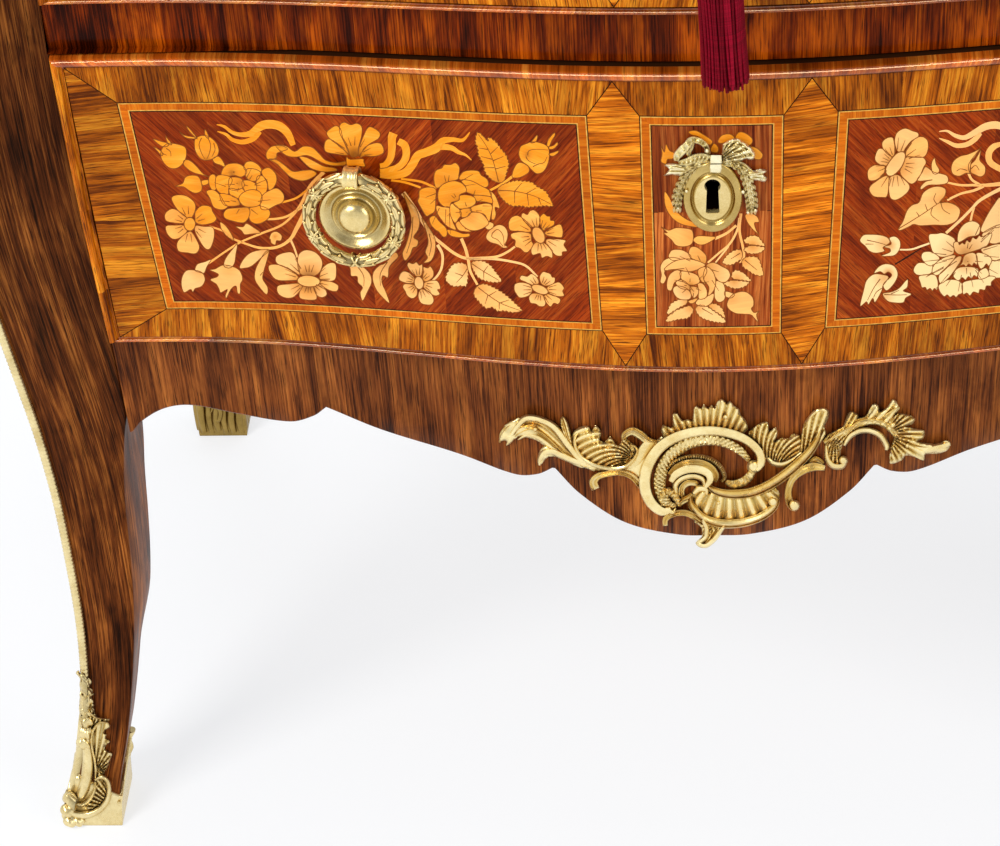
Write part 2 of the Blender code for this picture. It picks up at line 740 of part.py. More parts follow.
for level, z in (("lower", PULL_LOW_Z), ("upper", PULL_UPP_Z)):
    for side, word in ((-1, "left"), (1, "right")):
        at, along, out, up = pull_frame(side * PULL_X, z)
        basis = Matrix((along, up, out)).transposed().to_4x4()
        rosette = add(f"{level}_{word}_rosette", ROSETTE if (level, word) == ("lower", "left") else ROSETTE.copy(), BRASS)
        rosette.matrix_world = Matrix.Translation(at) @ basis
        hinge = at + up * RING_R + out * PIVOT_OUT
        flat_out = Vector((out.x, out.y, 0)).normalized()
        hang = Vector((0, 0, math.cos(RING_LEAN))) - flat_out * math.sin(RING_LEAN)
        lean = Matrix((along, hang, along.cross(hang))).transposed().to_4x4()
        ring = add(f"{level}_{word}_ring", RING if (level, word) == ("lower", "left") else RING.copy(), BRASS, 60)
        ring.matrix_world = Matrix.Translation(hinge) @ lean


# -------------------------------------------------------- apron mount (gilt)
MOUNT_HALF = 0.1260


def mount_top(x):
    t = abs(x) / MOUNT_HALF
    return 0.3570 - 0.026 * smooth(t / 0.45) - 0.006 * smooth((t - 0.6) / 0.3)


def mount_low(x):
    t = abs(x) / MOUNT_HALF
    return 0.2440 + 0.058 * smooth(t / 0.62) + 0.013 * smooth((t - 0.6) / 0.4)


def mount_place(u, v, w):
    x = lerp(-MOUNT_HALF, MOUNT_HALF, u)
    z = lerp(mount_low(x), mount_top(x), w)
    swell = 0.0035 + 0.0055 * math.sin(math.pi * w) * (1 - 0.5 * (abs(x) / MOUNT_HALF))
    return (x, case_y(x, z) - 0.0008 - swell * (1 - v), z)


add("apron_mount", mapped_box("apron_mount", (20, 1, 4), mount_place), BRASS)

# ------------------------------------------------------------ key and tassel
key_y = face_y(0, KEY_UPP_Z)
key_empty = empty("key_axis", (0, key_y, KEY_UPP_Z))
BOW_Y = key_y - KEY_OUT
BOW_LONG, BOW_HIGH, BOW_R = 0.0120, 0.0098, 0.0021
bow = [
    (0, BOW_Y + BOW_LONG * math.cos(2 * math.pi * i / 24), KEY_UPP_Z + BOW_HIGH * math.sin(2 * math.pi * i / 24))
    for i in range(24)
]
key = bpy.data.objects.new("key", tube("key", bow, BOW_R, cyclic=True, sides=2))
PARTS.objects.link(key)
key.data.materials.append(IRON)
stem_start, stem_end = BOW_Y + BOW_LONG - 0.0006, lock_y(KEY_UPP_Z) + 0.0085
along_y = Matrix.Rotation(math.radians(90), 4, "X")
combine(key, cutter("key_stem", rod("stem", 0.0026, stem_end - stem_start, 14),
                    Matrix.Translation((0, (stem_start + stem_end) / 2, KEY_UPP_Z)) @ along_y), "UNION")
combine(key, cutter("key_collar", rod("collar", 0.0040, 0.0030, 14),
                    Matrix.Translation((0, stem_start + 0.0045, KEY_UPP_Z)) @ along_y), "UNION")
combine(key, cutter("key_bit", block("bit", (-0.0013, lock_y(KEY_UPP_Z) + 0.0010, KEY_UPP_Z - 0.0095),
                                     (0.0013, lock_y(KEY_UPP_Z) + 0.0075, KEY_UPP_Z - 0.0010))), "UNION")
key_mesh = settled(key, "key")
key = add("key", moved(key_mesh, Matrix.Translation((0, -key_y, -KEY_UPP_Z))), IRON)
key.parent = key_empty

LOOP_Z = KEY_UPP_Z - BOW_HIGH  # the bow's lowest bar, which the cord goes round
CORD_R = 0.0012
HEAD_Z = 0.6700
tassel_empty = empty("tassel_hang", (0, BOW_Y, LOOP_Z), key_empty)
loop = []
for i in range(9):
    a = math.radians(-10 + 200 * i / 8)
    loop.append((0.0043 * math.cos(a), BOW_Y, LOOP_Z - 0.0008 + 0.0043 * math.sin(a)))
fall = 7
left = [(lerp(-0.0042, -0.0015, smooth(i / fall)), BOW_Y, lerp(LOOP_Z - 0.0035, HEAD_Z + 0.0025, i / fall))
        for i in range(1, fall + 1)]
right = [(-x, y, z) for x, y, z in reversed(left)]
tie = [(0.0, BOW_Y, HEAD_Z + 0.0016)]
cord = add("tassel_cord", tube("tassel_cord", loop + left + tie + right, CORD_R, cyclic=True, sides=1), SILK)
for piece in (cord,):
    piece.parent = tassel_empty
    piece.matrix_parent_inverse = tassel_empty.matrix_world.inverted()

long = HEAD_Z - TASSEL_END_Z
tassel = turned("tassel", [
    (0.0, long), (0.0045, long - 0.0010), (0.0080, long - 0.0050), (0.0085, long - 0.0100), (0.0060, long - 0.0150),
    (0.0062, long - 0.0185), (0.0090, long - 0.0250), (0.0112, long - 0.0400), (0.0124, 0.0250), (0.0130, 0.0),
    (0.0, 0.0),
], 18)
tassel = add("tassel", moved(tassel, Matrix.Translation((0, BOW_Y, TASSEL_END_Z))), SILK)
tassel.parent = tassel_empty
tassel.matrix_parent_inverse = tassel_empty.matrix_world.inverted()
bpy.context.view_layer.update()
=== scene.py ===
"""Looks of the commode: veneers, floral marquetry, gilt mounts, stone top and tassel.

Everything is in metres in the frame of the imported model. Veneer pieces are thin
tiles laid on the drawers' curved faces; mounts are lofted scrolls and leaves.
"""

import math
import random

import bmesh
import bpy
import numpy as np
from mathutils import Matrix, Vector
from mathutils.geometry import delaunay_2d_cdt


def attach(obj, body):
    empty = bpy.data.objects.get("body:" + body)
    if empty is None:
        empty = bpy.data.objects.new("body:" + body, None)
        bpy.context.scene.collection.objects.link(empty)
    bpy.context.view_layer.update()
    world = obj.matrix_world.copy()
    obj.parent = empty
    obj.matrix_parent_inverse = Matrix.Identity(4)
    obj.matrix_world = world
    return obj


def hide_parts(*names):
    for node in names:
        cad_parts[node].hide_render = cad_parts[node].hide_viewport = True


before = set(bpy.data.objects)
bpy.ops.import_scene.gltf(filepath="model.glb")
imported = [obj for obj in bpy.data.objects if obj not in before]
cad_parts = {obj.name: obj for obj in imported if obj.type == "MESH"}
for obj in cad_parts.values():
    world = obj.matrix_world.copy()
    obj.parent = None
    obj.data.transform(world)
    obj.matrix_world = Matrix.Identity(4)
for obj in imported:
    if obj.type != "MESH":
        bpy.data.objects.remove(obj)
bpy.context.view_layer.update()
scene = bpy.context.scene

# ------------------------------------------------------------ the part's own numbers
TOP_HALF_W, TOP_HALF_D, TOP_MID_Y = 0.420, 0.245, 0.01375
TOP_Z0, TOP_Z1 = 0.8000, 0.8260
FRONT_Y = -0.21525
BACK_Y = FRONT_Y + 0.470
SWELL_Z, SWELL_K, WAVE_HALF, RECESS, GAP = 0.606, 0.157, 0.310, 0.007, 0.0004
LOW_Z0, LOW_Z1 = 0.3805, 0.5745
UPP_Z0, UPP_Z1 = 0.6070, 0.7695
MID_Z0, MID_Z1 = 0.5757, 0.6058
RAIL_Z0, RAIL_Z1 = 0.7707, 0.7995
APRON_Z1 = 0.3793
HALF_LOW, HALF_HIGH = 0.3366, 0.3392
BEAD_W, FRONT_T = 0.0066, 0.022
RAIL_BACK_Y = FRONT_Y + 0.097
PULL_X, PULL_LOW_Z, PULL_UPP_Z = 0.186, 0.4830, 0.6920
RING_R, RING_T, RING_LEAN = 0.0242, 0.0034, math.radians(7)
ROSETTE_R, PIVOT_OUT = 0.0195, 0.0074
KEY_LOW_Z, KEY_UPP_Z, KEY_OUT = 0.5070, 0.7066, 0.031
TASSEL_END_Z, HEAD_Z = 0.5830, 0.6700
LEG_END_Z = 0.0120
ROSE_MID = -0.0080


def lerp(a, b, t):
    return a + (b - a) * t


def smooth(t):
    t = np.clip(t, 0.0, 1.0)
    return t * t * (3 - 2 * t)


def spline1(stations, z):
    if z <= stations[0][0]:
        return stations[0][1]
    if z >= stations[-1][0]:
        return stations[-1][1]
    k = next(i for i in range(len(stations) - 1) if stations[i + 1][0] >= z)
    (z0, v0), (z1, v1) = stations[k], stations[k + 1]
    before = stations[max(k - 1, 0)]
    after = stations[min(k + 2, len(stations) - 1)]
    m0 = (v1 - before[1]) / (z1 - before[0])
    m1 = (after[1] - v0) / (after[0] - z0)
    h, t = z1 - z0, (z - z0) / (z1 - z0)
    return (
        (2 * t**3 - 3 * t**2 + 1) * v0
        + (t**3 - 2 * t**2 + t) * h * m0
        + (-2 * t**3 + 3 * t**2) * v1
        + (t**3 - t**2) * h * m1
    )


def wave(x, z):
    depth = 0.034 - (np.clip(z, 0.34, 0.62) - 0.38) * 0.05
    return depth * 0.5 * (1 - np.cos(np.pi * np.minimum(np.abs(x) / WAVE_HALF, 1.0)))


def face_y(x, z):
    return FRONT_Y + SWELL_K * (z - SWELL_Z) ** 2 + wave(x, z)


def case_y(x, z):
    return face_y(x, z) + RECESS


def half_w(z):
    t = np.clip((z - LOW_Z0) / (LOW_Z1 - LOW_Z0), 0, 1)
    return lerp(HALF_LOW, HALF_HIGH, 1 - (1 - t) ** 2)


LEG_OUT = [
    (0.000, 0.4115), (0.030, 0.4045), (0.060, 0.3970), (0.090, 0.3920), (0.126, 0.3888),
    (0.160, 0.3872), (0.200, 0.3869), (0.250, 0.3875), (0.300, 0.3903), (0.340, 0.3940),
    (0.380, 0.3980), (0.450, 0.4040), (0.550, 0.4070), (0.650, 0.4050), (0.800, 0.3990),
]
LEG_IN = [
    (0.000, 0.3800), (0.030, 0.3772), (0.060, 0.3703), (0.090, 0.3645), (0.126, 0.3586),
    (0.170, 0.3533), (0.205, 0.3507), (0.250, 0.3480), (0.290, 0.3428), (0.315, 0.3380),
]
REAR_OUT = [
    (0.000, 0.3800), (0.060, 0.3790), (0.160, 0.3800), (0.260, 0.3850), (0.340, 0.3905),
    (0.450, 0.3960), (0.550, 0.3985), (0.650, 0.3970), (0.800, 0.3920),
]
REAR_IN = [(0.000, 0.3460), (0.100, 0.3465), (0.240, 0.3460), (0.320, 0.3440), (0.800, 0.3440)]
REAR_DEEP = [(0.000, 0.0310), (0.100, 0.0310), (0.240, 0.0360), (0.330, 0.0480), (0.800, 0.0500)]
POST_D = 0.056


def leg_out(z):
    return spline1(LEG_OUT, z)


def leg_in(z):
    if z < 0.305:
        return spline1(LEG_IN, z)
    return lerp(spline1(LEG_IN, z), float(half_w(z)) + 0.0014, float(smooth((z - 0.305) / 0.03)))


def leg_front(z):
    top = float(case_y(0.34, max(z, 0.38))) + 0.003
    return top + (leg_out(0.38) - leg_out(z)) if z < 0.38 else top


def leg_deep(z):
    return lerp(leg_out(z) - leg_in(z) + 0.007, POST_D, float(smooth((z - 0.22) / 0.14)))


def leg_toe_in(z):
    return 0.005 * float(smooth((z - 0.108) / 0.05)) * (1 - float(smooth((z - 0.25) / 0.06)))


LOBE = [(0.0000, 0.2473), (0.0209, 0.2479), (0.0521, 0.2570), (0.0769, 0.2782), (0.0905, 0.2975)]
SWAG = [(0.0905, 0.2975), (0.1000, 0.2908), (0.1132, 0.2890), (0.1443, 0.3006), (0.1897, 0.3139), (0.2198, 0.3274)]
ARCH = [
    (0.2198, 0.3274), (0.2275, 0.3200), (0.2420, 0.3140), (0.2710, 0.3180), (0.2987, 0.3243), (0.3141, 0.3221),
    (0.3281, 0.3129), (0.3360, 0.3030),
]


def apron_low(x):
    x = abs(x)
    return spline1(LOBE if x < LOBE[-1][0] else SWAG if x < SWAG[-1][0] else ARCH, x)


def side_x(y, z):
    front, back = leg_front(z) + leg_deep(z), BACK_Y - spline1(REAR_DEEP, z)
    t = min(max((y - front) / (back - front), 0), 1)
    return lerp(leg_out(z) - 0.002, spline1(REAR_OUT, z) - 0.002, t) + 0.009 * math.sin(math.pi * t)


def side_low(t):
    return 0.3380 - 0.022 * math.sin(math.pi * t) ** 4


# --------------------------------------------------------------------------- camera
PIXELS = 2900.0  # focal length in pixels of the 1000 x 846 frame
PITCH, YAW, ROLL = math.radians(38), math.radians(-5.008786), math.radians(-3.672878)
EYE = np.array((-0.0076336, -1.2475077 + FRONT_Y, 1.3314599))
AIM = np.array((math.sin(YAW) * math.cos(PITCH), math.cos(YAW) * math.cos(PITCH), -math.sin(PITCH)))
_r = np.array((math.cos(YAW), -math.sin(YAW), 0.0))
_u = np.cross(_r, AIM)
RIGHT = math.cos(ROLL) * _r + math.sin(ROLL) * _u
UP = -math.sin(ROLL) * _r + math.cos(ROLL) * _u

cam = bpy.data.objects.new("camera", bpy.data.cameras.new("camera"))
scene.collection.objects.link(cam)
cam.data.sensor_fit, cam.data.sensor_width, cam.data.lens = "HORIZONTAL", 36.0, PIXELS / 1000 * 36
cam.data.clip_start, cam.data.clip_end = 0.05, 60
place = Matrix((RIGHT, UP, -AIM)).transposed().to_4x4()
place.translation = Vector(EYE)
cam.matrix_world = place
scene.camera = cam


def sight(px):
    """Rays of the frame's pixels, one row each."""
    px = np.atleast_2d(np.asarray(px, float))
    return AIM + np.outer(px[:, 0] - 500, RIGHT) / PIXELS - np.outer(px[:, 1] - 423, UP) / PIXELS


def meet(px, surface, start=-0.2):
    """Where the rays of pixels meet y = surface(x, z)."""
    d = sight(px)
    t = (start - EYE[1]) / d[:, 1]
    for _ in range(30):
        p = EYE + t[:, None] * d
        t = t - 0.7 * (p[:, 1] - surface(p[:, 0], p[:, 2])) / d[:, 1]
    return EYE + t[:, None] * d


def px_face(px):
    """Pixels to (x, z) on the lower drawer's face."""
    p = meet(px, face_y)
    return p[:, [0, 2]]


# -------------------------------------------------------------------------- meshes
class Build:
    """Collects tiles, lofts and grids with grain coordinates and tones, then makes one object."""

    def __init__(self, name):
        self.name, self.v, self.f, self.m, self.uv, self.tone = name, [], [], [], [], []
        self.count, self.mats = 0, []

    def slot(self, mat):
        if mat not in self.mats:
            self.mats.append(mat)
        return self.mats.index(mat)

    def add(self, verts, faces, mat, uv=None, tone=(0.5, 0.0, 0.5)):
        verts = np.asarray(verts, float)
        n = len(verts)
        uv = np.zeros((n, 2)) if uv is None else np.asarray(uv, float)
        tone = np.asarray(tone, float)
        if tone.ndim == 1:
            tone = np.tile(tone, (n, 1))
        self.v.append(verts)
        self.uv.append(uv)
        self.tone.append(tone)
        k, c = self.slot(mat), self.count
        self.f.extend([tuple(i + c for i in face) for face in faces])
        self.m.extend([k] * len(faces))
        self.count += n

    def grid(self, points, mat, uv=None, tone=(0.5, 0.0, 0.5), closed=False, caps=False, flip=False):
        """points[i][j]: rings i of points j. closed joins the last j to the first, caps closes the two ends."""
        points = np.asarray(points, float)
        ni, nj = points.shape[:2]
        faces = []
        for i in range(ni - 1):
            for j in range(nj if closed else nj - 1):
                a, b = i * nj + j, i * nj + (j + 1) % nj
                c, d = (i + 1) * nj + (j + 1) % nj, (i + 1) * nj + j
                faces.append((a, b, c, d) if not flip else (d, c, b, a))
        if caps:
            faces.append(tuple(range(nj))[:: -1 if not flip else 1])
            faces.append(tuple(range((ni - 1) * nj, ni * nj))[:: 1 if not flip else -1])
        tone = np.asarray(tone, float)
        self.add(points.reshape(-1, 3), faces, mat, None if uv is None else np.asarray(uv, float).reshape(-1, 2),
                 tone.reshape(-1, 3) if tone.ndim > 1 else tone)

    def finish(self, body, replaces=(), slot=None, angle=40, flat=False, tidy=False):
        mesh = bpy.data.meshes.new(self.name)
        mesh.from_pydata(np.concatenate(self.v).tolist(), [], self.f)
        for m in self.mats:
            mesh.materials.append(m)
        mesh.polygons.foreach_set("material_index", np.array(self.m, np.int32))
        mesh.validate()
        uv = np.concatenate(self.uv)
        tone = np.concatenate(self.tone)
        at = np.zeros(len(mesh.loops), np.int32)
        mesh.loops.foreach_get("vertex_index", at)
        layer = mesh.uv_layers.new(name="grain")
        layer.data.foreach_set("uv", uv[at].astype(np.float32).ravel())
        colour = mesh.color_attributes.new("tone", "FLOAT_COLOR", "POINT")
        colour.data.foreach_set("color", np.c_[tone, np.ones(len(tone))].astype(np.float32).ravel())
        if tidy:
            bm = bmesh.new()
            bm.from_mesh(mesh)
            bmesh.ops.recalc_face_normals(bm, faces=bm.faces)
            bm.to_mesh(mesh)
            bm.free()
        if not flat:
            mesh.shade_smooth()
            mesh.set_sharp_from_angle(angle=math.radians(angle))
        mesh.update()
        obj = bpy.data.objects.new(self.name, mesh)
        scene.collection.objects.link(obj)
        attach(obj, body)
        if replaces:
            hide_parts(*replaces)
        return obj


def curve(points, per=8, closed=False):
    """Smooth line through points."""
    p = np.asarray(points, float)
    n = len(p)
    if n < 3 and not closed:
        return np.array([lerp(p[0], p[-1], t) for t in np.linspace(0, 1, per + 1)])
    out = []
    for i in range(n if closed else n - 1):
        a, b, c, d = (p[(i + k) % n] for k in (-1, 0, 1, 2)) if closed else (
            p[max(i - 1, 0)], p[i], p[i + 1], p[min(i + 2, n - 1)])
        for t in np.linspace(0, 1, per, endpoint=False):
            out.append(0.5 * (2 * b + (c - a) * t + (2 * a - 5 * b + 4 * c - d) * t * t + (3 * b - a - 3 * c + d) * t**3))
    if not closed:
        out.append(p[-1])
    return np.array(out)


def along(values, n):
    """n values spread evenly through a list."""
    values = np.atleast_1d(np.asarray(values, float))
    return np.interp(np.linspace(0, 1, n), np.linspace(0, 1, len(values)), values)


def inside(points, polygon):
    points, polygon = np.asarray(points), np.asarray(polygon)
    x, y = points[:, 0], points[:, 1]
    hit = np.zeros(len(points), bool)
    for (x0, y0), (x1, y1) in zip(polygon, np.roll(polygon, -1, axis=0)):
        cross = (y0 > y) != (y1 > y)
        if cross.any():
            with np.errstate(divide="ignore", invalid="ignore"):
                hit ^= cross & (x < (x1 - x0) * (y - y0) / (y1 - y0 + 1e-30) + x0)
    return hit


def resample(polygon, step):
    p = np.asarray(polygon, float)
    out = []
    for a, b in zip(p, np.roll(p, -1, axis=0)):
        n = max(1, int(math.ceil(np.linalg.norm(b - a) / step)))
        out.extend(lerp(a, b, k / n) for k in range(n))
    return np.array(out)


def fill(polygon, cell, holes=()):
    """Triangles inside a polygon, with a grid of points in it. Also the outlines as they came out."""
    loops = [resample(polygon, cell)] + [resample(h, cell) for h in holes]
    low, high = loops[0].min(0), loops[0].max(0)
    nx, ny = (max(1, int((high[k] - low[k]) / cell)) for k in (0, 1))
    gx = low[0] + (np.arange(nx) + 0.5) * (high[0] - low[0]) / nx
    gy = low[1] + (np.arange(ny) + 0.5) * (high[1] - low[1]) / ny
    grid = np.array([(x + (0.25 if j % 2 else -0.25) * cell, y) for j, y in enumerate(gy) for x in gx])
    keep = inside(grid, loops[0])
    edge = np.concatenate(loops)
    far = np.array([np.min(np.sum((edge - g) ** 2, axis=1)) for g in grid]) > (0.45 * cell) ** 2
    for h in loops[1:]:
        keep &= ~inside(grid, h)
    grid = grid[keep & far]
    points, edges, start = [], [], 0
    for loop in loops:
        n = len(loop)
        points.extend(loop)
        edges.extend((start + i, start + (i + 1) % n) for i in range(n))
        start += n
    points.extend(grid)
    verts, _, faces, *_ = delaunay_2d_cdt([Vector(p) for p in points], edges, [], 0, 1e-9)
    verts = np.array([tuple(v) for v in verts])
    faces = np.array([tuple(f) for f in faces if len(f) == 3], int).reshape(-1, 3)
    mid = verts[faces].mean(axis=1)
    ok = inside(mid, loops[0])
    for h in loops[1:]:
        ok &= ~inside(mid, h)
    faces = faces[ok]
    a, b, c = verts[faces[:, 0]], verts[faces[:, 1]], verts[faces[:, 2]]
    area = (b[:, 0] - a[:, 0]) * (c[:, 1] - a[:, 1]) - (b[:, 1] - a[:, 1]) * (c[:, 0] - a[:, 0])
    faces = np.where((area < 0)[:, None], faces[:, ::-1], faces)[np.abs(area) > 1e-14]
    return verts, faces


def rim(faces):
    """Directed edges that belong to one triangle only."""
    seen = {}
    for f in faces:
        for i in range(3):
            e = (int(f[i]), int(f[(i + 1) % 3]))
            seen[e] = True
    return [e for e in seen if (e[1], e[0]) not in seen]


# ----------------------------------------------------------------------- materials
def colour(text):
    """Linear colour of a hex code."""
    return tuple((c / 12.92 if c <= 0.04045 else ((c + 0.055) / 1.055) ** 2.4)
                 for c in (int(text[i:i + 2], 16) / 255 for i in (1, 3, 5)))


class Nodes:
    def __init__(self, name):
        self.mat = bpy.data.materials.new(name)
        self.mat.use_nodes = True
        self.tree = self.mat.node_tree
        self.tree.nodes.clear()
        self.out = self.new("ShaderNodeOutputMaterial")
        self.bsdf = self.new("ShaderNodeBsdfPrincipled")
        self.link(self.bsdf.outputs[0], self.out.inputs[0])

    def new(self, kind, **set_to):
        node = self.tree.nodes.new(kind)
        for k, v in set_to.items():
            setattr(node, k, v)
        return node

    def link(self, a, b):
        self.tree.links.new(a, b)

    def put(self, socket, value):
        if hasattr(value, "is_output"):
            self.link(value, socket)
        else:
            socket.default_value = value

    def mapped(self, source, scale, offset=(0, 0, 0), turn=(0, 0, 0)):
        m = self.new("ShaderNodeMapping")
        self.link(source, m.inputs["Vector"])
        m.inputs["Scale"].default_value = scale
        m.inputs["Location"].default_value = offset
        m.inputs["Rotation"].default_value = turn
        return m.outputs[0]

    def noise(self, vector, scale=1.0, detail=3.0, rough=0.55, twist=0.0):
        n = self.new("ShaderNodeTexNoise")
        self.link(vector, n.inputs["Vector"])
        n.inputs["Scale"].default_value = scale
        n.inputs["Detail"].default_value = detail
        n.inputs["Roughness"].default_value = rough
        n.inputs["Distortion"].default_value = twist
        return n.outputs[0]

    def ramp(self, fac, stops, mode="LINEAR"):
        r = self.new("ShaderNodeValToRGB")
        r.color_ramp.interpolation = mode
        while len(r.color_ramp.elements) < len(stops):
            r.color_ramp.elements.new(0.5)
        for e, (at, c) in zip(r.color_ramp.elements, stops):
            e.position = at
            e.color = (*c, 1) if len(c) == 3 else c
        self.link(fac, r.inputs[0])
        return r.outputs[0]

    def math(self, op, a, b=0.0, c=0.0, clamp=False):
        n = self.new("ShaderNodeMath", operation=op, use_clamp=clamp)
        for s, v in zip(n.inputs, (a, b, c)):
            self.put(s, v)
        return n.outputs[0]

    def span(self, value, a, b, c, d):
        n = self.new("ShaderNodeMapRange")
        for k, v in zip(("Value", "From Min", "From Max", "To Min", "To Max"), (value, a, b, c, d)):
            self.put(n.inputs[k], v)
        return n.outputs[0]

    def mix(self, fac, a, b, blend="MIX"):
        n = self.new("ShaderNodeMix", data_type="RGBA", blend_type=blend)
        self.put(n.inputs[0], fac)
        self.put(n.inputs[6], a if hasattr(a, "is_output") or len(a) == 4 else (*a, 1))
        self.put(n.inputs[7], b if hasattr(b, "is_output") or len(b) == 4 else (*b, 1))
        return n.outputs[2]

    def bump(self, height, strength, distance):
        b = self.new("ShaderNodeBump")
        b.inputs["Strength"].default_value = strength
        b.inputs["Distance"].default_value = distance
        self.link(height, b.inputs["Height"])
        self.link(b.outputs[0], self.bsdf.inputs["Normal"])

    def set(self, **values):
        for k, v in values.items():
            self.put(self.bsdf.inputs[k.replace("_", " ")], v)
        return self.mat

    def tone(self):
        a = self.new("ShaderNodeAttribute", attribute_name="tone")
        s = self.new("ShaderNodeSeparateColor")
        self.link(a.outputs["Color"], s.inputs[0])
        return s.outputs

    def grain(self):
        return self.new("ShaderNodeUVMap", uv_map="grain").outputs[0]

    def place(self):
        return self.new("ShaderNodeTexCoord").outputs["Object"]


def wood(name, dark, mid, light, band=(5, 70), streak=(14, 420), pore=(90, 1500), pores=0.5, figure=0.5,
         rough=(0.24, 0.40), coat=0.03, axes=None, spread=0.5, spec=0.05, mottle=0.22):
    """Polished wood. Grain runs along the first grain coordinate, or along the axis that axes puts first."""
    n = Nodes(name)
    if axes is None:
        source = n.grain()
        tone = n.tone()
        shift = n.new("ShaderNodeCombineXYZ")
        n.link(n.math("MULTIPLY", tone[2], 7.3), shift.inputs[2])
        add = n.new("ShaderNodeVectorMath", operation="ADD")
        n.link(source, add.inputs[0])
        n.link(shift.outputs[0], add.inputs[1])
        source = add.outputs[0]
    else:
        split = n.new("ShaderNodeSeparateXYZ")
        n.link(n.place(), split.inputs[0])
        join = n.new("ShaderNodeCombineXYZ")
        for k, axis in enumerate(axes):
            n.link(split.outputs[axis], join.inputs[k])
        source, tone = join.outputs[0], None

    def scaled(pair):
        return (pair[0], pair[1], pair[1] if axes is not None else 1.0)

    broad = n.noise(n.mapped(source, scaled(band)), 1.0, 3.0, 0.6, 0.6)
    fine = n.noise(n.mapped(source, scaled(streak), (3.1, 1.7, 0.3)), 1.0, 4.0, 0.66, 0.25)
    dots = n.noise(n.mapped(source, scaled(pore), (0.7, 5.2, 1.1)), 1.0, 2.0, 0.5)
    level = n.math("ADD", n.math("MULTIPLY", broad, figure), n.math("MULTIPLY", fine, 1 - figure))
    level = n.span(level, 0.5 - 0.30 * spread, 0.5 + 0.30 * spread, 0.0, 1.0)
    base = n.ramp(level, [(0.0, dark), (0.48, mid), (1.0, light)])
    cloud = n.noise(n.mapped(source, (16, 44, 44 if axes is not None else 1.0), (8.3, 2.9, 0.6)), 1.0, 4.0, 0.6, 0.8)
    blot = n.new("ShaderNodeCombineColor")
    for k, s in enumerate(blot.inputs):
        n.link(n.span(cloud, 0.34, 0.66, 1 - mottle * (1, 1.1, 1.2)[k], 1 + mottle * (0.8, 0.9, 0.9)[k]), s)
    base = n.mix(1.0, base, blot.outputs[0], "MULTIPLY")
    hole = n.span(dots, 0.555, 0.655, 0.0, pores)
    base = n.mix(hole, base, tuple(c * 0.40 for c in dark))
    if tone is not None:
        gain = n.span(tone[0], 0.0, 1.0, 0.45, 1.55)
        grey = n.new("ShaderNodeCombineColor")
        for s in grey.inputs:
            n.link(gain, s)
        base = n.mix(1.0, base, grey.outputs[0], "MULTIPLY")
        base = n.mix(n.math("MULTIPLY", tone[1], 0.92), base, tuple(c * 0.16 for c in mid))
    gloss = n.span(n.noise(n.mapped(source, (9, 60, 60)), 1.0, 4.0), 0.3, 0.7, rough[0], rough[1])
    n.bump(n.math("SUBTRACT", fine, n.math("MULTIPLY", hole, 0.8)), 0.10, 0.0003)
    return n.set(Base_Color=base, Roughness=gloss, Coat_Weight=coat, Coat_Roughness=0.10, Specular_IOR_Level=spec)


FIELD = wood("kingwood_field", colour("#480E00"), colour("#8A2E03"), colour("#B45416"), band=(7, 90), streak=(36, 900),
             pore=(120, 2200), pores=0.6, figure=0.40, spread=0.62, rough=(0.20, 0.34), mottle=0.38)
CENTRE = wood("centre_field", colour("#521604"), colour("#984214"), colour("#C87434"), band=(8, 140), streak=(16, 950),
              pore=(70, 2200), pores=0.45, figure=0.45, spread=0.45, rough=(0.20, 0.34))
CROSS = wood("crossbanding", colour("#5A2400"), colour("#AE5806"), colour("#DA8A20"), band=(13, 84), streak=(22, 860),
             pore=(80, 2000), pores=0.80, figure=0.50, spread=0.38, rough=(0.22, 0.36), mottle=0.32)
BANDING = wood("tulipwood_band", colour("#963F02"), colour("#C8620A"), colour("#E0821C"), band=(20, 240), streak=(40, 900),
               pores=0.15, figure=0.5, spread=0.6, rough=(0.22, 0.34), mottle=0.14)
BEADING = wood("bead_wood", colour("#5A1800"), colour("#B45410"), colour("#EE9C38"), band=(8, 46), streak=(18, 420),
               pores=0.45, figure=0.60, spread=0.62, rough=(0.10, 0.18), coat=1.0, spec=0.06, mottle=0.35)
ROSEWOOD = wood("rosewood", colour("#1E0C02"), colour("#5C2C0E"), colour("#9A5A24"), band=(8, 64), streak=(15, 900),
                pore=(55, 2100), pores=0.85, figure=0.46, spread=0.40, rough=(0.24, 0.42), coat=0.01, mottle=0.42, spec=0.03)
REDWOOD = wood("apron_rosewood", colour("#301204"), colour("#7A3E18"), colour("#AA6229"), band=(8, 66), streak=(13, 860),
               pore=(50, 2100), pores=0.80, figure=0.46, spread=0.40, rough=(0.26, 0.42), mottle=0.38, spec=0.04)
RAILWOOD = wood("rail_rosewood", colour("#280800"), colour("#6A2200"), colour("#A64A04"), band=(13, 62), streak=(15, 860),
                pore=(55, 2100), pores=0.80, figure=0.52, spread=0.38, rough=(0.22, 0.38), mottle=0.42, spec=0.04)
OAK = wood("oak", colour("#6E4522"), colour("#A97842"), colour("#CCA066"), band=(4, 60), streak=(8, 560), pore=(40, 1700),
           pores=0.5, rough=(0.5, 0.7), coat=0.0, axes=(1, 0, 2))
OAK_X = wood("oak_across", colour("#6E4522"), colour("#A97842"), colour("#CCA066"), band=(4, 60), streak=(8, 560),
             pore=(40, 1700), pores=0.5, rough=(0.5, 0.7), coat=0.0, axes=(0, 1, 2))
PINE = wood("pine", colour("#7A5530"), colour("#B08A58"), colour("#CFAF7E"), band=(2.5, 40), streak=(6, 420), pore=(40, 1200),
            pores=0.25, rough=(0.6, 0.8), coat=0.0, axes=(0, 1, 2))
